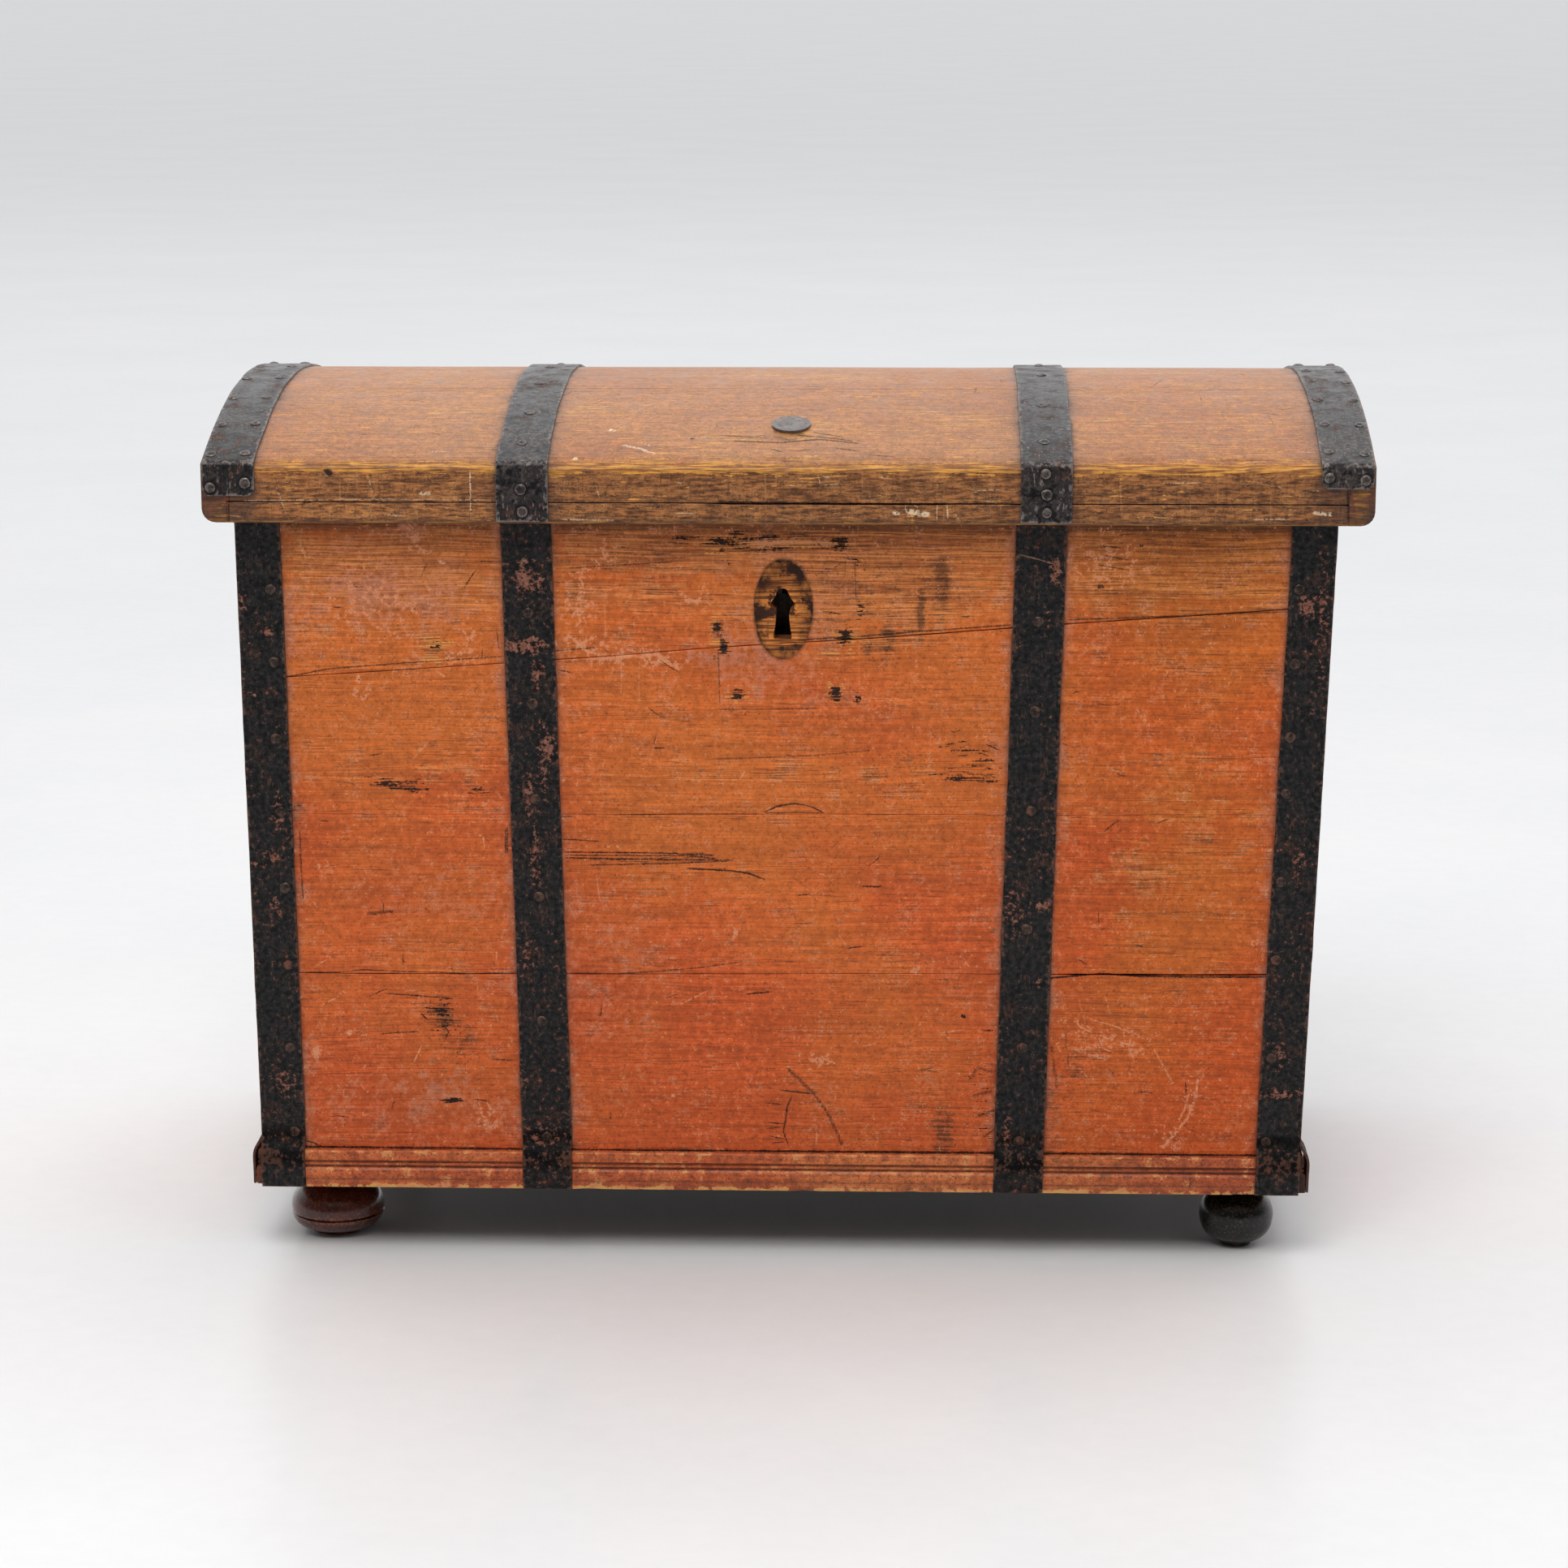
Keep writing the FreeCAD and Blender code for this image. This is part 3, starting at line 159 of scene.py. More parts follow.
def coords(ob):
    co = np.zeros(len(ob.data.vertices) * 3, np.float32)
    ob.data.vertices.foreach_get("co", co)
    return co.reshape(-1, 3).astype(float) * 1000.0


def set_coords(ob, V):
    ob.data.vertices.foreach_set("co", (V * 0.001).astype(np.float32).ravel())
    ob.data.update()


def attr(ob, name, values):
    values = np.asarray(values, np.float32)
    kind = "FLOAT" if values.ndim == 1 else "FLOAT_VECTOR"
    a = ob.data.attributes.new(name, kind, "POINT")
    a.data.foreach_set("value" if kind == "FLOAT" else "vector", values.ravel())


def cut(ob, V, faces):
    """Cuts a closed mesh out of ob and keeps the result as ob's own mesh."""
    tool = make("cut_tool", V, faces)
    mod = ob.modifiers.new("cut", "BOOLEAN")
    mod.operation = "DIFFERENCE"
    mod.solver = "EXACT"
    mod.object = tool
    bpy.context.view_layer.update()
    dg = bpy.context.evaluated_depsgraph_get()
    me = bpy.data.meshes.new_from_object(ob.evaluated_get(dg))
    ob.modifiers.remove(mod)
    ob.data = me
    bpy.data.objects.remove(tool)
    me.polygons.foreach_set("use_smooth", [True] * len(me.polygons))
    me.set_sharp_from_angle(angle=math.radians(38))


def left_x(z):
    return -(474.1 + 0.01558 * (np.asarray(z, float) - 648))


def right_x(z):
    return 469.05 + 0.03444 * (np.asarray(z, float) - 648)


LEAN = {-1: 0.01558, 1: 0.03444}
EDGE = {-1: left_x, 1: right_x}
FRONT_Y, BACK_Y = -246.15, 266.85
R_DOME, R_IN, R_STRAP, DOME_Y, DOME_Z = 739.26, 711.26, 741.56, -3.15, 21.31


def dome_z(yl, r=R_DOME):
    """Height of the dome over lid coordinate yl (row y = yl - 3.15)."""
    return DOME_Z + np.sqrt(np.maximum(r * r - np.asarray(yl, float) ** 2, 0))


PIECES = []


def piece(ob, body, slot, *nodes):
    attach(ob, body)
    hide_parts(*nodes)
    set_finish(ob, slot)
    PIECES.append(ob)
    return ob

# ---------------------------------------------------------------- marks of age
# Each mark: a line through points, half width, tone (-1 dark crack or stain ... +1 pale scratch or bare flake).
# Front wall, points are (x, z).
MARKS_FRONT = [
    (((361.2, 164.0), (359.3, 147.7), (352.6, 128.3), (341.4, 113.3), (332.3, 102.8)), 1.10, 0.62),
    (((354.3, 152.8), (349.6, 135.7), (343.4, 123.0)), 0.80, 0.55),
    (((263.5, 218.6), (286.4, 212.1), (313.5, 202.0)), 0.50, 0.60),
    (((320.8, 193.2), (332.5, 172.6), (338.4, 161.6)), 0.60, 0.60),
    (((277.4, 243.0), (283.4, 222.4)), 0.35, 0.50),
    (((-419.8, 632.4), (-414.4, 623.9)), 0.90, 0.80),
    (((-378.9, 578.7), (-377.5, 575.8)), 1.00, 0.80),
    (((-372.5, 520.9), (-370.5, 514.5)), 1.40, 0.80),
    (((-302.4, 524.8), (-296.8, 520.6)), 1.00, 0.60),
    (((-266.0, 379.5), (-264.8, 369.3)), 0.40, 0.70),
    (((-417.2, 320.1), (-413.1, 314.2)), 0.60, 0.60),
    (((-329.3, 658.1), (-319.7, 647.6)), 0.50, 0.60),
    (((-420.4, 636.6), (-413.6, 626.0)), 0.70, 0.70),
    (((-326.1, 644.0), (-314.4, 629.9)), 1.20, 0.50),
    (((-299.8, 622.2), (-294.3, 618.7)), 1.20, 0.80),
    (((-436.9, 519.2), (-397.8, 527.2), (-330.5, 532.6), (-245.7, 538.7)), 0.45, -0.70),
    (((-373.2, 517.3), (-370.4, 517.4)), 1.20, 0.80),
    (((-253.1, 520.1), (-250.2, 520.1)), 1.00, 0.80),
    (((-268.8, 586.9), (-267.4, 586.9)), 1.20, 0.70),
    (((-272.1, 559.9), (-270.7, 559.9)), 1.00, 0.70),
    (((-276.0, 420.7), (-262.5, 420.1)), 0.60, -0.70),
    (((-368.8, 308.7), (-347.3, 311.0)), 1.20, -0.45),
    (((-355.0, 320.5), (-354.5, 308.8)), 0.40, -0.70),
    (((-338.8, 272.2), (-338.3, 261.1)), 0.40, -0.60),
    (((-355.4, 236.6), (-323.8, 234.6), (-293.0, 231.9)), 0.50, -0.80),
    (((-324.1, 219.1), (-317.1, 211.7)), 0.60, -0.80),
    (((-304.9, 208.9), (-299.3, 201.5), (-303.0, 194.1)), 0.60, -0.70),
    (((-360.5, 199.5), (-341.0, 201.2), (-324.5, 202.0)), 0.50, -0.70),
    (((-413.9, 224.3), (-396.4, 233.3)), 0.40, 0.80),
    (((-416.6, 261.3), (-405.0, 267.3)), 0.40, 0.70),
    (((-332.3, 171.5), (-323.3, 189.4)), 0.50, 0.90),
    (((-254.8, 284.5), (-242.6, 284.6)), 0.40, 0.70),
    (((-420.1, 181.9), (-417.2, 182.0)), 2.20, 0.55),
    (((-387.9, 200.0), (-386.4, 200.1)), 1.60, 0.90),
    (((-264.4, 177.3), (-240.7, 176.0)), 0.40, -0.70),
    (((-245.3, 385.4), (-245.6, 365.0)), 1.40, -0.60),
    (((-239.7, 382.5), (-238.5, 366.5)), 0.60, -0.60),
    (((-427.0, 384.3), (-426.5, 349.3), (-425.2, 316.4)), 0.60, -0.50),
    (((-301.2, 138.2), (-292.5, 139.0)), 1.50, -1.00),
    (((-97.1, 644.8), (-73.4, 642.8)), 0.80, -0.70),
    (((-104.2, 639.2), (-83.2, 637.8)), 0.50, -0.50),
    (((-41.3, 638.0), (0.5, 639.5), (42.3, 637.6)), 1.90, 0.40),
    (((-58.8, 633.7), (-27.4, 632.4), (7.5, 634.6), (52.8, 634.1)), 0.55, -0.60),
    (((-188.4, 616.3), (-139.3, 619.3), (-95.9, 622.3)), 0.40, -0.60),
    (((-58.1, 493.1), (-13.8, 493.4), (28.4, 494.3)), 0.35, -0.55),
    (((58.4, 624.3), (59.8, 589.0)), 0.35, -0.40),
    (((62.0, 560.7), (63.5, 496.6)), 0.30, 0.20),
    (((-63.7, 639.3), (-63.3, 574.3)), 0.30, 0.20),
    (((-59.2, 545.9), (-58.1, 494.6)), 0.35, -0.40),
    (((-63.7, 640.0), (21.4, 642.4), (49.3, 643.9)), 0.30, -0.40),
    (((-60.6, 565.1), (-59.9, 563.7)), 2.30, -1.00),
    (((-55.7, 553.1), (-54.3, 546.0)), 2.20, -1.00),
    (((-45.4, 505.4), (-42.6, 505.4)), 1.80, -1.00),
    (((-56.0, 632.3), (-54.6, 632.3)), 1.90, -1.00),
    (((45.8, 639.0), (47.9, 638.3)), 2.00, -1.00),
    (((50.1, 559.2), (51.5, 558.5)), 2.20, -1.00),
    (((41.1, 510.8), (42.5, 508.7)), 2.00, -1.00),
    (((-49.8, 620.3), (-48.4, 619.6)), 1.10, -0.70),
    (((42.4, 617.9), (43.1, 617.9)), 1.10, -0.70),
    (((6.0, 554.0), (63.4, 557.9), (126.3, 563.1), (194.0, 568.3)), 0.50, -0.75),
    (((-199.9, 543.9), (-162.5, 546.9)), 0.40, -0.60),
    (((-189.1, 558.2), (-174.5, 544.7), (-157.0, 538.4)), 0.80, 0.70),
    (((-146.4, 539.8), (-134.5, 539.9)), 1.60, 0.70),
    (((-126.0, 544.9), (-118.3, 537.1)), 1.40, 0.70),
    (((-112.0, 536.4), (-95.9, 530.8)), 1.00, 0.70),
    (((-140.0, 545.6), (-119.0, 541.4), (-97.9, 537.2)), 0.80, 0.45),
    (((-157.2, 585.3), (-156.7, 568.2), (-157.5, 552.6)), 0.30, 0.50),
    (((-143.6, 537.0), (-143.1, 520.6), (-144.0, 505.6)), 0.30, 0.50),
    (((-127.5, 537.1), (-128.3, 517.1), (-127.8, 499.9)), 0.30, 0.40),
    (((-182.5, 585.2), (-176.4, 563.2)), 0.50, 0.50),
    (((-177.6, 582.4), (-173.5, 566.8)), 0.40, 0.50),
    (((-116.9, 458.4), (-105.6, 458.5)), 0.70, -0.80),
    (((-88.0, 447.8), (-85.9, 447.8)), 0.90, -0.80),
    (((-136.5, 473.4), (-134.4, 473.4)), 0.90, -0.70),
    (((-36.5, 438.7), (-42.2, 429.3)), 0.40, 0.70),
    (((-61.3, 415.5), (-59.2, 415.5)), 0.80, -0.70),
    (((-71.0, 448.6), (25.6, 452.7), (77.0, 458.0)), 0.60, -0.35),
    (((-151.4, 399.0), (-84.8, 400.1), (-20.4, 400.5)), 0.35, -0.50),
    (((-20.4, 402.0), (-9.0, 407.1), (5.8, 410.1), (20.7, 407.3), (32.7, 401.6)), 0.55, -0.85),
    (((-20.4, 401.3), (5.8, 402.1), (32.7, 401.6)), 0.40, -0.60),
    (((-196.4, 377.0), (-162.3, 375.0)), 0.40, -0.70),
    (((-195.1, 365.4), (-126.2, 365.1), (-64.4, 364.0)), 0.50, -0.90),
    (((-195.2, 362.4), (-124.1, 362.9), (-69.4, 362.5)), 0.40, -0.80),
    (((-195.2, 360.3), (-124.1, 359.3), (-46.7, 359.0)), 0.55, -0.90),
    (((-173.9, 353.8), (-99.3, 355.8), (-49.6, 358.3)), 0.40, -0.80),
    (((-89.3, 351.5), (-49.6, 349.6), (-34.7, 347.5), (-19.1, 341.8)), 0.60, -0.90),
    (((61.8, 336.5), (85.1, 335.9)), 0.60, -0.80),
    (((-37.2, 238.3), (-12.2, 240.7)), 0.70, -0.85),
    (((50.5, 280.2), (67.6, 282.5)), 0.50, -0.70),
    (((7.8, 328.1), (20.6, 328.9)), 0.50, -0.70),
    (((170.4, 206.8), (183.3, 206.9)), 0.50, -0.80),
    (((154.0, 219.9), (155.4, 219.2)), 1.60, -1.00),
    (((-7.4, 151.2), (22.7, 147.7)), 0.60, -0.80),
    (((0.5, 170.6), (22.7, 148.5), (35.6, 130.7), (47.9, 101.7)), 1.30, -0.45),
    (((4.1, 146.1), (-0.3, 135.6), (-1.7, 123.7), (-3.9, 113.2), (1.1, 99.0)), 0.60, -0.75),
    (((-18.9, 139.2), (-6.0, 137.8)), 0.50, -0.85),
    (((-18.2, 121.3), (-3.9, 119.9)), 0.50, -0.85),
    (((-19.0, 115.3), (-6.0, 116.9)), 0.40, -0.70),
    (((-16.1, 108.6), (-3.9, 106.4)), 0.45, -0.80),
    (((-14.7, 101.9), (-3.2, 103.5)), 0.40, -0.70),
    (((160.8, 162.3), (167.9, 173.5), (180.0, 168.4)), 1.00, -0.40),
    (((164.5, 147.5), (180.2, 151.3)), 1.20, -0.40),
    (((168.2, 128.9), (183.2, 134.2)), 1.00, -0.45),
    (((173.4, 108.8), (184.1, 117.9)), 0.90, -0.40),
    (((29.2, 181.2), (44.2, 174.7)), 0.50, 0.90),
    (((133.4, 204.3), (155.5, 207.4)), 0.40, 0.70),
    (((-95.2, 228.3), (-68.6, 241.8)), 0.40, 0.70),
    (((25.6, 120.2), (25.6, 99.2)), 0.40, 0.60),
    (((-45.6, 294.1), (-44.1, 294.1)), 1.40, 0.80),
    (((-77.7, 288.0), (-76.2, 288.0)), 1.20, 0.70),
    (((111.7, 258.6), (113.1, 258.6)), 1.40, 0.80),
    (((-102.2, 145.1), (-100.8, 145.2)), 1.30, 0.80),
    (((266.9, 637.7), (289.1, 635.0)), 0.50, -0.70),
    (((270.5, 629.3), (292.7, 625.1)), 0.50, -0.70),
    (((267.8, 620.8), (291.5, 616.7)), 0.45, -0.60),
    (((268.8, 601.8), (270.8, 601.8)), 1.80, -0.80),
    (((303.6, 637.8), (305.0, 637.8)), 1.20, -0.70),
    (((239.9, 572.8), (335.2, 576.7), (430.9, 580.7)), 0.40, -0.65),
    (((255.1, 211.9), (267.3, 206.1)), 0.70, 0.70),
    (((272.3, 203.9), (283.7, 199.6)), 0.70, 0.70),
    (((289.4, 198.1), (308.0, 193.1)), 0.70, 0.70),
    (((276.7, 192.1), (287.5, 187.1)), 0.40, 0.80),
    (((261.8, 186.8), (279.0, 181.8)), 0.40, 0.70),
    (((254.1, 176.4), (265.7, 163.2)), 0.40, 0.70),
    (((336.3, 160.8), (338.4, 160.8)), 1.30, 1.00),
    (((232.6, 192.5), (237.3, 155.5)), 1.20, -0.35),
    (((243.8, 203.7), (248.5, 170.4)), 1.00, -0.30),
    (((-430.1, 101.1), (-420.8, 98.2), (-412.2, 93.7)), 0.60, -0.80),
    (((-428.3, 255.3), (-396.6, 255.5), (-373.6, 257.9), (-342.0, 256.7), (-311.2, 256.2), (-280.4, 254.9), (-252.4, 255.9), (-235.9, 256.0)), 0.35, -0.80),
    (((-195.1, 256.3), (-150.0, 255.9), (-112.1, 258.4), (-75.0, 262.3), (-40.0, 267.7)), 0.35, -0.70),
    (((225.5, 254.3), (273.6, 259.1), (307.0, 257.1), (365.1, 256.8), (420.2, 257.3)), 0.70, -1.00),
    (((256.2, 233.2), (262.2, 213.4)), 0.40, 0.50),
    (((346.5, 146.8), (357.4, 135.8)), 0.35, 0.60),
    (((-46.8, 179.1), (-41.8, 169.5)), 0.40, 0.60),
    (((114.3, 176.7), (118.6, 161.9)), 0.40, 0.50),
    (((301.7, 496.4), (310.4, 480.7)), 0.35, 0.70),
    (((404.0, 289.3), (411.2, 280.6)), 0.40, 0.60),
    (((-166.9, 343.7), (-164.3, 321.8)), 0.35, 0.50),
    (((64.2, 191.1), (82.0, 195.7)), 0.35, 0.60),
    (((-150.9, 167.1), (-140.1, 173.9)), 0.35, 0.50),
    (((-381.7, 157.7), (-373.3, 145.8)), 0.35, 0.50),
    (((-277.8, 113.7), (-262.5, 120.6)), 0.35, 0.60),
]
# Wall irons at the front, points are (x, z).
MARKS_IRON = [
    (((-226.6, 623.6), (-224.5, 622.1)), 1.60, 0.90),
    (((-211.1, 530.7), (-210.4, 530.0)), 1.20, -0.90),
    (((-211.2, 522.1), (-210.5, 521.4)), 1.10, -0.90),
    (((-216.3, 512.1), (-215.6, 511.4)), 1.20, -0.90),
    (((-207.7, 471.3), (-207.0, 470.6)), 1.00, -0.90),
    (((-207.9, 452.6), (-207.2, 451.9)), 1.00, -0.90),
    (((197.5, 630.1), (212.8, 626.6), (229.5, 621.7)), 0.60, 0.70),
    (((-463.9, 504.4), (-462.5, 503.7)), 1.20, 0.90),
]
# Groups of fine splits on the front wall: centre, half size, count, arch.
SPLITS = [
    (-342.0, 424.7, 27.0, 5.8, 13, 0), (-268.9, 420.8, 9.2, 2.2, 4, 0), (155.1, 454.1, 30.9, 7.2, 9, 9), (155.2, 435.5, 30.9, 5.8, 10, 3), (-308.4, 216.3, 12.2, 14.8, 15, 4), (-120.5, 361.5, 71.0, 4.4, 9, 0), (-356.7, 308.8, 12.9, 2.9, 4, 0), (74.5, 336.6, 11.3, 1.5, 3, 0)
]
# Patches of bare ochre wood, and of flaked pink ground, on the front wall: centre, radii, strength.
FLAKES = [
    (-303.6, 536.3, 8.5, 4.3, 0.8), (-44.8, 633.7, 18.1, 5.6, 0.8), (11.0, 636.8, 23.7, 3.5, 0.6), (-59.9, 553.0, 6.3, 11.4, 0.7), (53.6, 553.5, 11.2, 5.7, 0.7), (42.5, 503.7, 7.0, 4.3, 0.6), (-304.8, 548.4, 10.6, 7.8, 1), (-59.9, 564.4, 4.9, 8.5, 0.9), (-55.0, 548.1, 5.6, 5.7, 0.8), (50.8, 558.5, 9.8, 6.4, 0.95), (-44.0, 504.7, 7.7, 4.3, 0.8), (42.5, 509.4, 7.0, 6.4, 0.7), (-55.3, 633.7, 14.0, 7.0, 0.9), (47.2, 639.0, 8.4, 5.6, 0.8), (-6.5, 617.0, 6.3, 4.2, 0.5), (42.4, 542.1, 15.4, 5.0, 0.55)
]
FLECKS = [
    (-319.9, 638.4, 7.7, 7.1, 0.8), (-288.0, 540.6, 11.3, 5.0, 0.8), (-277.1, 557.8, 6.3, 8.5, 0.7), (-185.1, 545.4, 12.7, 5.7, 0.7), (-155.6, 536.9, 14.1, 4.3, 0.8), (-110.6, 535.7, 11.2, 4.3, 0.8), (336.5, 111.8, 7.1, 11.9, 0.6), (357.2, 149.1, 5.7, 13.3, 0.6), (256.5, 214.8, 11.4, 5.9, 0.5), (306.7, 188.7, 14.2, 5.9, 0.5), (-408.6, 350.9, 6.4, 5.8, 0.55), (-370.0, 505.2, 6.4, 5.7, 0.6), (-337.7, 526.8, 5.7, 5.0, 0.6), (-175.2, 549.0, 18.3, 7.1, 0.75), (-143.6, 541.3, 15.5, 5.7, 0.8), (-119.0, 540.0, 15.5, 5.7, 0.8), (-99.4, 532.9, 9.8, 4.3, 0.7), (-180.0, 612.1, 8.4, 4.9, 0.8), (-179.0, 580.9, 9.8, 17.0, 0.62), (-295.1, 536.3, 21.2, 5.0, 0.85), (-275.1, 552.1, 5.6, 11.4, 0.85), (-319.9, 637.0, 8.4, 8.5, 0.75), (-6.5, 638.1, 55.8, 4.2, 0.85), (-44.8, 642.2, 15.3, 4.9, 0.6), (-158.8, 630.5, 9.8, 9.9, 0.6), (277.4, 625.1, 23.6, 16.8, 0.55), (-76.5, 589.9, 9.8, 7.1, 0.7), (-350.6, 583.8, 42.3, 21.3, 0.4), (-386.4, 200.8, 3.6, 4.5, 0.9), (-418.6, 182.0, 6.5, 4.5, 0.9), (-266.8, 125.0, 7.2, 10.5, 0.7), (28.4, 179.7, 10.0, 5.9, 0.6), (281.6, 196.6, 31.3, 10.3, 0.5), (113.9, 259.3, 4.3, 4.4, 0.8), (-46.3, 294.1, 3.6, 3.7, 0.8)
]
# Gouged and torn places.
GOUGES = [
    (-354.0, 428.2, 14.2, 5.1, 0.62), (-329.3, 421.1, 14.2, 3.6, 0.6), (-270.3, 420.0, 8.5, 2.9, 0.66), (-58.8, 641.4, 9.8, 4.2, 0.9), (-23.9, 642.3, 23.7, 2.8, 0.72), (-59.9, 564.4, 4.2, 5.7, 1), (-54.3, 548.1, 4.2, 6.4, 1), (50.8, 557.1, 6.3, 5.7, 1), (62.1, 502.3, 4.9, 5.0, 0.8), (-43.3, 505.4, 5.6, 3.6, 1), (42.5, 509.4, 4.9, 5.7, 1), (47.2, 639.0, 7.0, 4.2, 1), (137.5, 458.3, 14.1, 3.6, 0.56), (170.6, 448.5, 12.6, 5.7, 0.5), (162.3, 432.6, 23.9, 3.6, 0.54), (63.4, 578.4, 3.5, 9.9, 0.6), (61.2, 624.3, 5.6, 3.5, 0.6), (-53.2, 639.3, 14.0, 3.5, 0.95), (-44.8, 645.0, 11.2, 2.8, 0.75), (-83.2, 643.5, 18.2, 2.8, 0.7), (47.2, 638.3, 6.3, 3.5, 0.95), (-59.9, 563.7, 3.5, 4.3, 1), (-55.0, 548.8, 3.5, 5.7, 1), (50.8, 558.5, 4.2, 5.0, 1), (-44.0, 505.4, 4.9, 2.9, 1), (42.5, 509.4, 4.2, 5.0, 0.95), (-296.8, 139.0, 7.9, 3.0, 1), (-306.2, 217.8, 10.8, 11.8, 0.68), (-342.0, 424.7, 25.6, 5.1, 0.66), (155.0, 458.4, 21.1, 3.6, 0.55), (155.2, 434.0, 26.7, 4.3, 0.6), (-304.8, 547.7, 6.3, 4.3, 0.7), (-6.5, 633.9, 48.8, 2.1, 0.55), (-356.7, 308.0, 11.5, 2.9, 0.5), (171.7, 140.1, 10.0, 32.7, 0.42)
]
# Patches of flaked paint on the wall irons.
IRON_FLECKS = [
    (-226.6, 622.8, 7.0, 2.1, 0.85), (-451.0, 560.2, 3.5, 5.7, 0.8), (-444.6, 407.2, 2.9, 8.7, 0.9), (-450.9, 359.9, 7.1, 4.4, 0.8), (-461.1, 352.5, 5.7, 3.6, 0.7), (-216.1, 525.0, 4.2, 8.6, 0.8), (-207.1, 458.4, 4.2, 11.5, 0.85), (-224.7, 416.4, 3.5, 18.8, 0.75), (-219.9, 358.4, 4.3, 21.8, 0.75), (-471.4, 587.2, 3.5, 6.4, 0.6), (-228.3, 270.6, 5.7, 14.7, 0.55), (197.0, 329.2, 4.9, 3.6, 0.8), (222.5, 320.6, 6.4, 3.6, 0.9), (220.5, 251.2, 3.5, 2.9, 0.9), (193.3, 117.9, 2.9, 14.9, 0.6), (434.5, 152.0, 15.6, 3.7, 0.85), (432.3, 187.4, 5.7, 11.8, 0.5), (-226.9, 606.6, 6.3, 10.6, 0.95), (-213.6, 603.8, 4.2, 7.8, 0.9), (-227.0, 547.7, 16.9, 5.0, 0.95), (-219.2, 554.2, 6.3, 2.8, 0.8), (231.0, 616.8, 4.2, 9.1, 0.85), (447.2, 585.3, 6.2, 9.9, 0.8), (459.2, 576.9, 3.5, 63.2, 0.55), (223.8, 572.4, 4.2, 9.9, 0.5), (-443.5, 393.4, 5.7, 7.3, 0.6), (-449.3, 313.1, 5.0, 10.3, 0.5), (-211.5, 452.6, 5.0, 28.7, 0.62), (-237.1, 159.6, 8.6, 8.9, 0.5), (-217.7, 107.4, 14.4, 10.5, 0.55), (-446.5, 154.0, 8.7, 14.9, 0.5), (198.6, 310.3, 9.9, 14.6, 0.5), (444.3, 362.7, 5.6, 17.3, 0.5)
]
# Front rail of the lid, points are (x, z).
MARKS_RAIL = [
    (((-475.4, 688.0), (-476.4, 657.2)), 0.60, -0.90),
    (((475.9, 690.9), (476.7, 661.2)), 0.80, -0.95),
    (((-463.2, 677.6), (-407.5, 678.4), (-344.8, 679.3), (-254.6, 678.9)), 0.40, 0.50),
    (((-201.8, 679.1), (-129.8, 678.6), (-60.6, 678.1)), 0.40, -0.50),
    (((-60.6, 678.1), (22.2, 677.0), (91.2, 676.6), (139.4, 676.7)), 0.80, -1.00),
    (((139.4, 676.7), (199.9, 678.3)), 0.45, -0.80),
    (((242.5, 685.4), (294.7, 681.4)), 0.50, -0.60),
    (((294.7, 680.7), (366.1, 676.7), (451.7, 672.9)), 0.30, -0.40),
    (((-391.5, 704.2), (-388.8, 701.5)), 2.40, -1.00),
    (((-311.4, 684.3), (-303.0, 684.3)), 1.40, 0.75),
    (((-268.7, 706.0), (-268.7, 664.2)), 0.50, 0.85),
    (((92.6, 668.9), (95.4, 668.2)), 1.60, 1.00),
    (((104.3, 670.3), (120.2, 667.6)), 2.20, 1.00),
    (((137.3, 676.0), (138.1, 664.2)), 0.60, 0.90),
    (((448.4, 670.1), (462.1, 668.8)), 1.60, 0.80),
    (((-435.0, 689.5), (-427.3, 667.2)), 0.35, 0.50),
    (((-354.9, 696.7), (-353.0, 685.6)), 0.40, 0.60),
    (((-345.1, 666.1), (-324.3, 664.7)), 0.50, 0.60),
    (((-160.8, 690.3), (-158.9, 682.0)), 0.40, 0.60),
    (((-95.3, 668.3), (-74.5, 667.7)), 0.40, 0.60),
    (((29.1, 692.3), (49.8, 693.8)), 0.40, 0.50),
    (((317.8, 694.6), (352.0, 695.4)), 0.40, 0.60),
    (((393.7, 664.4), (428.0, 664.5)), 0.50, 0.60),
    (((-192.4, 662.4), (-143.8, 661.9)), 0.50, 0.60),
    (((160.0, 687.9), (184.0, 689.3)), 0.40, 0.50),
]
# Top of the dome, points are (x, y of the lid).
MARKS_DOME = [
    (((-154.4, -204.6), (-150.1, -206.3)), 2.20, 1.00),
    (((-181.6, -258.7), (-178.8, -258.7)), 1.40, 1.00),
    (((-139.6, -235.2), (-125.9, -241.1), (-112.9, -249.8)), 1.60, 0.75),
    (((-125.3, -230.5), (-118.0, -235.1)), 1.00, 0.70),
    (((-82.5, -222.4), (-81.1, -222.4)), 1.50, -0.90),
    (((-58.3, -215.8), (-28.1, -218.8), (-15.4, -222.0)), 0.80, -0.70),
    (((-45.2, -226.9), (-6.8, -229.8), (27.9, -223.3), (60.8, -231.0)), 1.20, -0.75),
    (((10.2, -215.3), (41.8, -221.6), (55.8, -226.3)), 1.00, -0.80),
    (((-35.0, -222.1), (-18.5, -213.9)), 0.70, -0.60),
    (((20.5, -208.6), (48.7, -218.4)), 0.80, -0.70),
    (((-13.3, -242.0), (-2.0, -247.8)), 0.90, -0.80),
    (((7.7, -246.3), (21.4, -241.8)), 0.70, -0.70),
    (((42.2, -240.2), (63.1, -245.9)), 0.90, -0.70),
    (((70.1, -251.6), (94.4, -255.7)), 0.80, -0.60),
    (((-5.7, -260.5), (15.1, -261.7)), 0.90, -0.60),
    (((207.1, -237.7), (209.8, -240.7)), 1.20, 1.00),
]

# ---------------------------------------------------------------- boards


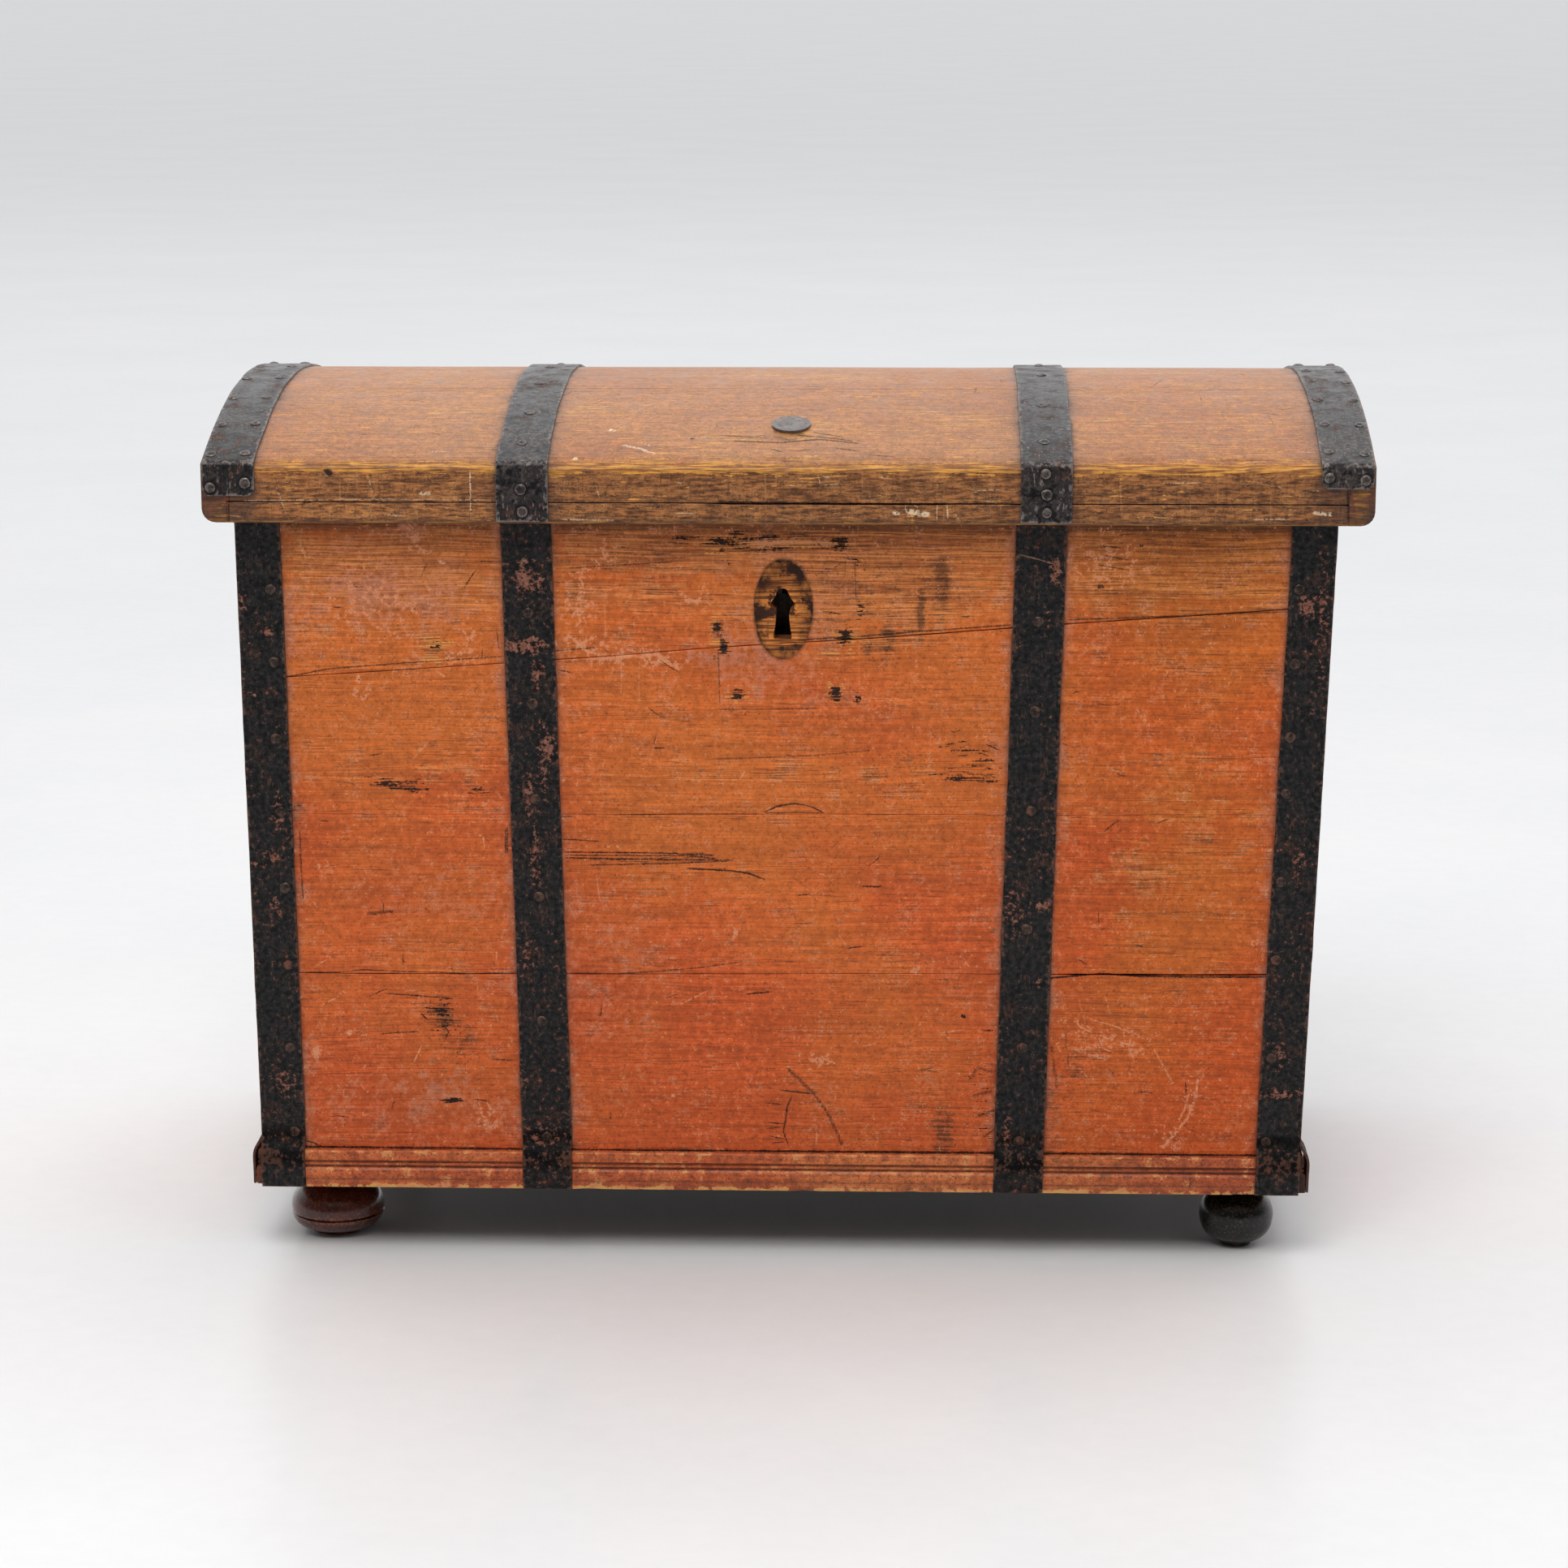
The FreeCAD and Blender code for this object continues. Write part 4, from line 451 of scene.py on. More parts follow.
def plank_rows(zlo, zhi, T, nv, r, glo, ghi, inner=5):
    """Rings of a board: depth behind the outer face and height, (n, m) each.
    zlo, zhi, glo, ghi, r are arrays along the board; the grooves open at the outer face only."""
    one = np.ones_like(zlo)
    D, Z = [], []

    def put(d, z):
        D.append(d * one)
        Z.append(z * one)

    put(6.0, zlo)
    put(4.5, zlo + glo)
    for a in (0, 30, 60):
        a = math.radians(a)
        put(r * (1 - math.sin(a)), zlo + glo + r * (1 - math.cos(a)))
    lo, hi = zlo + glo + r, zhi - ghi - r
    for k in range(nv + 1):
        t = k / nv
        put(0.0, lo + t * (hi - lo))
    for a in (60, 30, 0):
        a = math.radians(a)
        put(r * (1 - math.sin(a)), zhi - ghi - r * (1 - math.cos(a)))
    put(4.5, zhi - ghi)
    put(6.0, zhi)
    put(T - 1.2, zhi)
    put(T, zhi - 1.2)
    for k in range(1, inner):
        put(T, zhi - 1.2 + (zlo - zhi + 2.4) * k / inner)
    put(T, zlo + 1.2)
    put(T - 1.2, zlo)
    return np.stack(D, 1), np.stack(Z, 1)


def joint(z0, z1, wob, seed):
    """A board joint running from z0 at the left edge to z1 at the right, sawn not quite straight."""
    return lambda u: z0 + (z1 - z0) * u + wob * n1(u * 930, 140, seed)


def gap_fn(base, bumps):
    """Half opening of a joint along u; bumps are (u centre, u half width, extra)."""

    def f(u):
        g = base * (1 + 0.5 * n1(u * 930, 23, 5))
        for c, w, e in bumps:
            g = g + e * sstep(w, w * 0.6, np.abs(u - c)) * (1 + 0.35 * n1(u * 930, 11, 9))
        return np.maximum(g, 0.02)

    return f


J1 = joint(516.5, 585.0, 0.8, 31)
J2 = joint(398.0, 402.0, 0.6, 32)
J3 = joint(254.0, 259.5, 0.7, 33)
G1 = gap_fn(0.12, [(0.62, 0.2, 0.15), (0.88, 0.1, 0.1)])
G2 = gap_fn(0.05, [])
G3 = gap_fn(0.12, [(0.87, 0.13, 0.55), (0.15, 0.13, 0.2), (0.38, 0.14, 0.12)])


def flat(v):
    return lambda u: v + 0 * u


def front_board(name, lo, hi, glo, ghi, nv, r0=0.7, r1=0.7):
    u = np.linspace(0, 1, 372)
    r = np.full_like(u, max(r0, r1)) * (1 + 0.35 * n1(u * 930, 18, 3))
    D, Z = plank_rows(lo(u), hi(u), 24.0, nv, r, glo(u), ghi(u))
    S = np.zeros(D.shape + (3,))
    L, R = left_x(Z), right_x(Z)
    S[..., 0] = L + u[:, None] * (R - L)
    S[..., 2] = Z
    q = np.stack([S[..., 0] / 130, Z * 0, Z / 46], -1).reshape(-1, 3)
    wave = (0.28 + 0.26 * fbm(q, 3, 71)).reshape(Z.shape)
    S[..., 1] = FRONT_Y + D + np.where(D < 6.5, np.clip(wave, 0, 0.6), 0)
    return loft(name, S)


fb_top = front_board("looks_front_board_top", J1, flat(676.2), G1, flat(0.05), 74, 0.8, 2.0)
fb_upper = front_board("looks_front_board_upper", J2, J1, G2, G1, 86)
fb_lower = front_board("looks_front_board_lower", J3, J2, G3, G2, 84)
fb_bottom = front_board("looks_front_board_bottom", flat(80.5), J3, flat(0.05), G3, 102)


def prism(outline, y0, y1, ny=2):
    """A closed prism over an (x, z) outline between depths y0 and y1."""
    o = np.array(outline, float)
    S = np.zeros((ny, len(o), 3))
    S[:, :, 0], S[:, :, 2] = o[:, 0], o[:, 1]
    S[:, :, 1] = np.linspace(y0, y1, ny)[:, None]
    return S.reshape(-1, 3), ring_faces(ny, len(o))


# Keyhole: a shouldered bow with a flaring slot below it, and the shallow oval bed of the lost escutcheon.
KX = -3.55
half = [(1.2, 598.9), (3.0, 598.2), (4.6, 596.2), (5.8, 593.2), (7.4, 590.2), (9.2, 587.8), (10.5, 585.6), (10.2, 583.6), (8.2, 581.6), (6.3, 579.4), (5.8, 576.8),
    (6.0, 571.0), (6.6, 565.0), (7.6, 559.0), (7.9, 556.4), (6.8, 554.8)]
KEYHOLE = [(KX + x + 0.25 * math.sin(z), z) for x, z in half] + [(KX - 1.04 * x + 0.2 * math.cos(1.3 * z), z) for x, z in half[::-1]]
OVAL_C, OVAL_R = (-3.1, 581.0), (25.2, 43.0)
OVAL = []
for a in np.linspace(0, 2 * math.pi, 72, endpoint=False):
    w = 1 + 0.012 * math.sin(3 * a + 1) + 0.01 * math.sin(7 * a)
    OVAL.append((OVAL_C[0] + OVAL_R[0] * w * math.cos(a), OVAL_C[1] + OVAL_R[1] * w * math.sin(a)))
for ob in (fb_top, fb_upper):
    cut(ob, *prism(OVAL, FRONT_Y - 4, FRONT_Y + 1.5))
cut(fb_top, *prism(KEYHOLE, FRONT_Y - 4, FRONT_Y + 40))

for ob, n in ((fb_top, "top"), (fb_upper, "upper"), (fb_lower, "lower"), (fb_bottom, "bottom")):
    piece(ob, "chest", "painted_wall", "front_board_" + n)


def end_board(name, side, lo, hi, glo, ghi, nv):
    """End wall board; it leans with the chest's edge."""
    lo_c, hi_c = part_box(name)
    u = np.linspace(0, 1, 156)
    r = np.full_like(u, 0.9) * (1 + 0.3 * n1(u * 465, 20, 13))
    D, Z = plank_rows(lo(u), hi(u), 24.0, nv, r, glo(u), ghi(u))
    S = np.zeros(D.shape + (3,))
    y0, y1 = lo_c[1] * 1000, hi_c[1] * 1000
    S[..., 1] = y0 + (y1 - y0) * u[:, None]
    q = np.stack([Z * 0 + side * 3, S[..., 1] / 120, Z / 50], -1).reshape(-1, 3)
    wave = np.clip((0.28 + 0.26 * fbm(q, 3, 77)).reshape(Z.shape), 0, 0.6)
    depth = D + np.where(D < 6.5, wave, 0)
    t = math.atan(LEAN[side])
    S[..., 0] = EDGE[side](Z) - side * depth / math.cos(t)
    S[..., 2] = Z
    ob = loft("looks_" + name, S)
    return piece(ob, "chest", "painted_wall", name)


for side, s in ((-1, "left"), (1, "right")):
    je = joint(372.0, 372.0, 0.8, 40 + side)
    ge = gap_fn(0.25, [(0.4, 0.2, 0.2)])
    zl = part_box("end_board_%s_lower" % s)[0][2] * 1000
    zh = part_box("end_board_%s_upper" % s)[1][2] * 1000
    end_board("end_board_%s_upper" % s, side, je, flat(zh), ge, flat(0.05), 100)
    end_board("end_board_%s_lower" % s, side, flat(zl), je, flat(0.05), ge, 100)


def back_board(name, lo, hi, glo, ghi, nv):
    u = np.linspace(0, 1, 240)
    r = np.full_like(u, 1.0) * (1 + 0.3 * n1(u * 930, 20, 23))
    D, Z = plank_rows(lo(u), hi(u), 24.0, nv, r, glo(u), ghi(u))
    S = np.zeros(D.shape + (3,))
    L, R = left_x(Z), right_x(Z)
    S[..., 0] = L + u[:, None] * (R - L)
    S[..., 2] = Z
    q = np.stack([S[..., 0] / 130, Z * 0 + 9, Z / 50], -1).reshape(-1, 3)
    wave = np.clip((0.3 + 0.28 * fbm(q, 3, 79)).reshape(Z.shape), 0, 0.7)
    S[..., 1] = BACK_Y - D - np.where(D < 6.5, wave, 0)
    return piece(loft("looks_" + name, S), "chest", "back_wood", name)


B1, B2 = joint(470, 470, 0.8, 51), joint(265, 265, 0.8, 52)
GB = gap_fn(0.3, [(0.3, 0.15, 0.3)])
zb0, zb1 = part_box("back_board_lower")[0][2] * 1000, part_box("back_board_upper")[1][2] * 1000
back_board("back_board_upper", B1, flat(zb1), GB, flat(0.05), 50)
back_board("back_board_middle", B2, B1, GB, GB, 50)
back_board("back_board_lower", flat(zb0), B2, flat(0.05), GB, 50)

# ---------------------------------------------------------------- lid boards


def resample(pts, step):
    """Points along a polyline about every step mm; corners are kept."""
    out = []
    for a, b in zip(pts[:-1], pts[1:]):
        a, b = np.array(a, float), np.array(b, float)
        k = max(1, int(round(np.linalg.norm(b - a) / step)))
        out += [a + (b - a) * i / k for i in range(k)]
    out.append(np.array(pts[-1], float))
    return out


def arc_pts(r, y0, y1, step):
    k = max(2, int(abs(y1 - y0) / step))
    return [(y, float(dome_z(y, r))) for y in np.linspace(y0, y1, k + 1)]


def lid_board(name, ring, outer):
    """Sweeps a lid section along x. ring is (y of the lid, z); outer marks weathered points."""
    xs = np.linspace(-477.5, 477.5, 320)
    ring = np.array(ring, float)
    outer = np.array(outer, float)
    S = np.zeros((len(xs), len(ring), 3))
    S[..., 0] = xs[:, None]
    S[..., 1] = ring[None, :, 0] - 3.15
    S[..., 2] = ring[None, :, 1]
    q = np.stack([S[..., 0] / 120, S[..., 1] / 40, S[..., 2] / 40], -1).reshape(-1, 3)
    w = np.clip((0.28 + 0.28 * fbm(q, 3, 91)).reshape(S.shape[:2]), 0, 0.6) * outer[None]
    c = S[..., 1:] - np.array([DOME_Y, DOME_Z - 250.0])
    c /= np.linalg.norm(c, axis=-1, keepdims=True)
    S[..., 1:] -= c * w[..., None]
    return S


r_a = 8.5  # worn, rounded arris between dome and rail
yj = 92.0
front_face = [(-270, z) for z in np.linspace(677.6, 709.5 - r_a, 18)]
arris = []
for k in range(1, 11):
    t = k / 11.0
    a0, b0, c0 = np.array((-270, 709.5 - r_a)), np.array((-270, 709.5)), np.array((-270 + r_a, dome_z(270 - r_a)))
    arris.append((1 - t) ** 2 * a0 + 2 * t * (1 - t) * b0 + t * t * c0)
top = arc_pts(R_DOME, -270 + r_a, -yj - 0.8, 1.9)
yi = yj * R_IN / R_DOME
under = arc_pts(R_IN, -yi, -191, 8)
ring = (
    front_face
    + arris
    + top
    + [(-yj - 0.2, dome_z(yj) - 0.6), (-yj, dome_z(yj) - 4)]
    + under
    + [(-213, 676.5), (-264, 676.5), (-264.4, 677.3)]
)
out = [1] * (len(front_face) + len(arris) + len(top)) + [0] * (len(ring) - len(front_face) - len(arris) - len(top))
S = lid_board("lid_front_board", ring, out)
# The arris is knocked and rubbed unevenly.
ar = np.zeros(len(ring))
ar[len(front_face) - 2 : len(front_face) + len(arris) + 2] = 1
x1 = S[:, 0, 0]
nick = 0.5 + 0.5 * n1(x1, 37, 61) + 1.1 * np.maximum(0, n1(x1, 9, 62) - 0.35)
S[..., 2] -= ar[None] * nick[:, None] * 0.8
S[..., 1] += ar[None] * nick[:, None] * 0.5
piece(loft("looks_lid_front_board", S), "lid", "painted_lid", "lid_front_board")

top = arc_pts(R_DOME, -yj + 0.8, yj - 0.8, 1.9)
under = arc_pts(R_IN, yi, -yi, 12)
e = [(yj - 0.2, dome_z(yj) - 0.6), (yj, dome_z(yj) - 4)]
ring = top + e + under + [(-yj, dome_z(yj) - 4), (-yj + 0.2, dome_z(yj) - 0.6)]
S = lid_board("lid_middle_board", ring, [1] * len(top) + [0] * (len(ring) - len(top)))
piece(loft("looks_lid_middle_board", S), "lid", "painted_lid", "lid_middle_board")

back_face = [(270, z) for z in np.linspace(707.0, 677.6, 12)]
top = arc_pts(R_DOME, yj + 0.8, 268.5, 2.4)
under = arc_pts(R_IN, 191, yi, 8)
ring = (
    [(yj, dome_z(yj) - 4), (yj + 0.2, dome_z(yj) - 0.6)]
    + top
    + [(269.6, 708.9)]
    + back_face
    + [(269, 676.5), (213, 676.5)]
    + under
)
out = [0, 0] + [1] * (len(top) + 1 + len(back_face)) + [0] * (2 + len(under))
S = lid_board("lid_back_board", ring, out)
piece(loft("looks_lid_back_board", S), "lid", "painted_lid", "lid_back_board")

# Lip under the front rail, with the open joint between the two.
xs = np.linspace(-477.5, 477.5, 320)
gap = 0.25 * (1 + 0.5 * n1(xs, 20, 65)) + 0.85 * sstep(105, 85, np.abs(xs - 40)) + 0.2 * sstep(60, 40, np.abs(xs - 185))
rb = 1.8 + 0.7 * n1(xs, 26, 66) + 0.9 * np.maximum(0, n1(xs, 8, 67) - 0.3)
cols = []
for k in range(13):
    t = k / 12.0
    cols.append((0 * xs - 270, 658.5 + rb + t * (676.5 - gap - 0.6 - 658.5 - rb)))
cols.append((0 * xs - 269.6, 676.5 - gap))
cols.append((0 * xs - 265, 676.5 - gap))
cols.append((0 * xs - 264.4, 676.5 + 0 * xs))
for y, z in ((-246.8, 676.5), (-246, 675.8), (-246, 668), (-246, 659.6), (-247, 658.5), (-258, 658.5)):
    cols.append((0 * xs + y, 0 * xs + z))
cols.append((-270 + rb, 658.5 + 0 * xs))
cols.append((-270 + 0.3 * rb, 658.5 + 0.3 * rb))
S = np.zeros((len(xs), len(cols), 3))
S[..., 0] = xs[:, None]
for j, (y, z) in enumerate(cols):
    S[:, j, 1], S[:, j, 2] = y - 3.15, z
piece(loft("looks_lid_front_lip", S), "lid", "painted_lid", "lid_front_lip")

# Cleats across the ends of the lid.
for sx, s in ((-1, "left"), (1, "right")):
    yl = np.concatenate([[-270, -269.4, -268], np.linspace(-265, 265, 150), [268, 269.4, 270]])
    inset = np.zeros_like(yl)
    inset[[0, -1]] = 1.2
    inset[[1, -2]] = 0.3
    zt = dome_z(np.clip(np.abs(yl), 0, 270))
    cols = [(477.5 + inset, 658.5 + inset), (485 + 0 * yl, 658.5 + inset)]
    for a in np.radians([0, 18, 36, 54, 72, 90]):
        cols.append((488 + (12 - inset) * math.sin(a) + 0 * yl, 670.5 - (12 - inset) * math.cos(a)))
    for t in np.linspace(0.12, 1, 26):
        cols.append((500 - inset, 670.5 + t * (zt - 1.6 - 670.5)))
    cols.append((499.5 - inset, zt - 0.5 - inset))
    cols.append((498.4 - inset, zt - inset))
    for x in (491, 484):
        cols.append((x + 0 * yl, zt - inset))
    cols.append((477.5 + inset, zt - inset))
    cols.append((477.5 + inset, 690 + 0 * yl))
    S = np.zeros((len(yl), len(cols), 3))
    S[..., 1] = yl[:, None] - 3.15
    for j, (x, z) in enumerate(cols):
        S[:, j, 0], S[:, j, 2] = sx * x, z
    q = np.stack([S[..., 0] / 40, S[..., 1] / 90, S[..., 2] / 30], -1).reshape(-1, 3)
    w = (0.25 * fbm(q, 3, 95) - 0.25).reshape(S.shape[:2])
    far = np.array([abs(c[0][5]) > 480 for c in cols])
    S[..., 0] += sx * w * far[None]
    piece(loft("looks_lid_cleat_" + s, S), "lid", "painted_lid", "lid_cleat_" + s)

# ---------------------------------------------------------------- irons


def strip(stations, width, seed, wavy=0.5, hammer=0.22, taper=None, nv=15, sag=0.0):
    """Rings of a forged strip. stations: list of (inner point, outer point, width direction), 3-D.
    The edges waver, the outer face is hammered and the corners are rounded."""
    A = np.array([s[0] for s in stations], float)
    B = np.array([s[1] for s in stations], float)
    W = np.array([s[2] for s in stations], float)
    N = B - A
    T = np.linalg.norm(N, axis=1, keepdims=True)
    N /= T
    d = np.concatenate([[0], np.cumsum(np.linalg.norm(np.diff(B, axis=0), axis=1))])
    lo = -width / 2 + wavy * (n1(d, 47, seed) + 0.5 * n1(d, 13, seed + 1))
    hi = width / 2 + wavy * (n1(d, 43, seed + 2) + 0.5 * n1(d, 11, seed + 3))
    if taper is not None:
        lo, hi = lo * taper, hi * taper
    rings = []
    r = 0.8
    prof = [(0.0, 0.0), (0.0, 0.55), (0.28 * r, 0.85), (r, 1.0)]
    vs = np.linspace(0, 1, nv)[1:-1]
    pts = []
    for e, h in prof:
        pts.append((lo + e, h))
    for v in vs:
        pts.append((lo + r + v * (hi - lo - 2 * r), 1.0))
    for e, h in prof[::-1]:
        pts.append((hi - e, h))
    S = np.zeros((len(A), len(pts), 3))
    for j, (w, h) in enumerate(pts):
        P = A + W * w[:, None] + N * T * h
        if h >= 0.85:
            q = np.stack([d / 17, w / 14, 0 * d + seed], -1)
            b = hammer * fbm(q, 3, seed + 5) - hammer * 0.4
            P = P + N * b[:, None]
        S[:, j] = P
    return S


def merge(name, rings, angle=40.0):
    """Several lofted rings as one mesh."""
    V, F, base = [], [], 0
    for S in rings:
        n, m, _ = S.shape
        V.append(S.reshape(-1, 3))
        F += ring_faces(n, m, base)
        base += n * m
    return make(name, np.concatenate(V), F, angle)


def pair_path(inner, outer, step=3.0):
    """Inner and outer polylines with the same number of corners, resampled together."""
    a, b = [], []
    for k in range(len(inner) - 1):
        i0, i1 = np.array(inner[k], float), np.array(inner[k + 1], float)
        o0, o1 = np.array(outer[k], float), np.array(outer[k + 1], float)
        n = max(1, int(round(np.linalg.norm(o1 - o0) / step)))
        for j in range(n):
            a.append(i0 + (i1 - i0) * j / n)
            b.append(o0 + (o1 - o0) * j / n)
    a.append(np.array(inner[-1], float))
    b.append(np.array(outer[-1], float))
    return a, b


# Wall irons: down the wall, then kicked out over the moulding. (out from the wall, z)
KICK_IN = [(0.0, 672), (0.0, 110.0), (0.2, 106.5), (1.0, 103.6), (2.6, 100.6), (4.8, 97.4), (6.8, 94.5), (8.2, 91.4), (8.8, 88.2), (9.0, 85.0), (9.0, 61.5)]
KICK_OUT = [(2.3, 672), (2.3, 110.05), (2.48, 106.8), (3.15, 104.4), (4.6, 101.7), (6.7, 98.7), (8.8, 95.6), (10.35, 92.05), (11.08, 88.5), (11.3, 85.05), (11.3, 61.5)]
ka, kb = pair_path(KICK_IN, KICK_OUT, 2.4)

for name, cx, seed in (
    ("left", lambda z: -224.4 + math.tan(math.radians(1.17)) * (648 - z), 101),
    ("right", lambda z: 218.5 - math.tan(math.radians(1.47)) * (648 - z), 121),
):
    st = []
    for a, b in zip(ka, kb):
        x = cx(b[1])
        st.append(((x, FRONT_Y - a[0], a[1]), (x, FRONT_Y - b[0], b[1]), (1, 0, 0)))
    ob = merge("looks_front_strap_" + name, [strip(st, 44, seed)])
    piece(ob, "chest", "body_iron", "front_strap_" + name)

for sx, s in ((-1, "left"), (1, "right")):
    t = math.atan(LEAN[sx])
    e0 = float(EDGE[sx](648))
    out_v = np.array((sx * math.cos(t), 0, -math.sin(t)))
    up_v = np.array((sx * math.sin(t), 0, math.cos(t)))

    def tilt(o, y, z):
        """Point o out from the end wall, at height z along the leaning wall."""
        return np.array((e0, y, 648.0)) + out_v * o + up_v * (z - 648.0)

    # front corner: front flange and side flange, one iron
    st = []
    for a, b in zip(ka, kb):
        x = float(EDGE[sx](b[1])) - sx * (37 - 2.0) / 2.0
        st.append(((x, FRONT_Y - a[0], a[1]), (x, FRONT_Y - b[0], b[1]), (1, 0, 0)))
    front = strip(st, 39.0, 141 + sx)
    side = []
    for a, b in zip(ka, kb):
        side.append((tilt(a[0], -228.3, a[1]), tilt(b[0], -228.3, b[1]), (0, 1, 0)))
    ob = merge("looks_corner_iron_front_" + s, [front, strip(side, 38.6, 151 + sx)])
    piece(ob, "chest", "body_iron", "corner_iron_front_" + s)
    # back corner: side flange is kicked, back flange is flat
    side = []
    for a, b in zip(ka, kb):
        side.append((tilt(a[0], 249.0, a[1]), tilt(b[0], 249.0, b[1]), (0, 1, 0)))
    st = []
    for z in np.linspace(672, 61.5, 204):
        x = float(EDGE[sx](z)) - sx * (37 - 2.0) / 2.0
        st.append(((x, BACK_Y, z), (x, BACK_Y + 2.3, z), (1, 0, 0)))
    ob = merge("looks_corner_iron_back_" + s, [strip(side, 38.6, 161 + sx), strip(st, 39.0, 171 + sx)])
    piece(ob, "chest", "body_iron", "corner_iron_back_" + s)


def tube(x0, x1, y, z, r_out, r_in, seg=28):
    """Rings of a knuckle lying along x."""
    a = np.linspace(0, 2 * math.pi, seg, endpoint=False)
    out = []
    for r, x in ((r_in, x0), (r_out - 0.4, x0), (r_out, x0 + 0.5), (r_out, x1 - 0.5), (r_out - 0.4, x1), (r_in, x1)):
        out.append(np.stack([0 * a + x, y + r * np.cos(a), z + r * np.sin(a)], -1))
    return np.array(out)


def tube_faces(S, base):
    n, m, _ = S.shape
    f = ring_faces(n, m, base, False, False)
    idx = base + np.arange(n * m).reshape(n, m)
    nx = np.roll(idx, -1, axis=1)
    return f + np.stack([idx[-1], nx[-1], nx[0], idx[0]], -1).tolist()


def with_knuckles(name, rings, knuckles, body, slot, node):
    V, F, base = [], [], 0
    for S in rings:
        n, m, _ = S.shape
        V.append(S.reshape(-1, 3))
        F += ring_faces(n, m, base)
        base += n * m
    for S in knuckles:
        V.append(S.reshape(-1, 3))
        F += tube_faces(S, base)
        base += S.shape[0] * S.shape[1]
    return piece(make(name, np.concatenate(V), F, 40), body, slot, node)


PIN_Y, PIN_Z = 272.25, 676.0
for s, cx, seed in (("left", -224.7, 181), ("right", 221.7, 191)):
    st = [((cx, BACK_Y, z), (cx, BACK_Y + 2.3, z), (1, 0, 0)) for z in np.linspace(668.5, 61.5, 204)]
    kn = [tube(cx - 22, cx - 8.2, PIN_Y, PIN_Z, 5.0, 2.75), tube(cx + 8.2, cx + 22, PIN_Y, PIN_Z, 5.0, 2.75)]
    # the strap's two tongues run up into the knuckles
    tongues = []
    for c in (cx - 15.1, cx + 15.1):
        tg = [((c, BACK_Y, z), (c, BACK_Y + 2.3, z), (1, 0, 0)) for z in np.linspace(676.0, 668.0, 4)]
        tongues.append(strip(tg, 13.6, seed + 3, 0.1, 0.05, nv=6))
    with_knuckles("looks_back_hinge_strap_" + s, [strip(st, 44, seed)] + tongues, kn, "chest", "body_iron", "back_hinge_strap_" + s)


def lid_path(front_z, back_z, step=3.2):
    """Stations over the dome from the front drop to the back drop: (inner y,z), (outer y,z)."""
    inner, outer = [], []
    for z in np.linspace(front_z, 706.4, max(3, int((706.4 - front_z) / 2.4))):
        inner.append((-273.15, z))
        outer.append((-275.45, z))
    # the round bend over the arris
    for a in np.radians(np.linspace(172, 111.5, 7)):
        inner.append((-268.95 + 4.2 * math.cos(a), 706.6 + 4.2 * math.sin(a)))
        outer.append((-268.95 + 6.5 * math.cos(a), 706.6 + 6.5 * math.sin(a)))
    for yl in np.linspace(-264, 264, int(528 / step)):
        zz = float(dome_z(yl))
        k = np.array((yl, zz - DOME_Z)) / R_DOME
        inner.append((yl - 3.15, zz))
        outer.append((yl - 3.15 + 2.3 * k[0], zz + 2.3 * k[1]))
    for a in np.radians(np.linspace(68.5, 8, 7)):
        inner.append((262.65 + 4.2 * math.cos(a), 706.6 + 4.2 * math.sin(a)))
        outer.append((262.65 + 6.5 * math.cos(a), 706.6 + 6.5 * math.sin(a)))
    for z in np.linspace(706.4, back_z, max(3, int((706.4 - back_z) / 2.4))):
        inner.append((266.85, z))
        outer.append((269.15, z))
    return inner, outer


for s, cx, seed in (("left", -224.7, 201), ("right", 221.7, 211)):
    i, o = lid_path(660.5, 682.0)
    st = [((cx, a[0], a[1]), (cx, b[0], b[1]), (1, 0, 0)) for a, b in zip(i, o)]
    kn = [tube(cx - 7.8, cx + 7.8, PIN_Y, PIN_Z, 5.0, 2.75)]
    tg = [((cx, BACK_Y, z), (cx, BACK_Y + 2.3, z), (1, 0, 0)) for z in np.linspace(684.0, 677.0, 4)]
    with_knuckles("looks_lid_strap_" + s, [strip(st, 44, seed, 0.45, 0.3), strip(tg, 14.8, seed + 3, 0.1, 0.05, nv=6)], kn, "lid", "lid_iron", "lid_strap_" + s)
for sx, s, zf in ((-1, "left", 682.0), (1, "right", 690.5)):
    cx = sx * (453.7 + 498.2) / 2
    i, o = lid_path(zf, zf)
    n = len(i)
    tp = np.ones(n)
    tp[[0, -1]] = 0.8
    tp[[1, -2]] = 0.95
    st = [((cx, a[0], a[1]), (cx, b[0], b[1]), (1, 0, 0)) for a, b in zip(i, o)]
    ob = merge("looks_lid_end_strap_" + s, [strip(st, 44.5, 221 + sx, 0.45, 0.3, taper=tp)])
    piece(ob, "lid", "lid_iron", "lid_end_strap_" + s)

# ---------------------------------------------------------------- nails
rng = np.random.default_rng(4207)


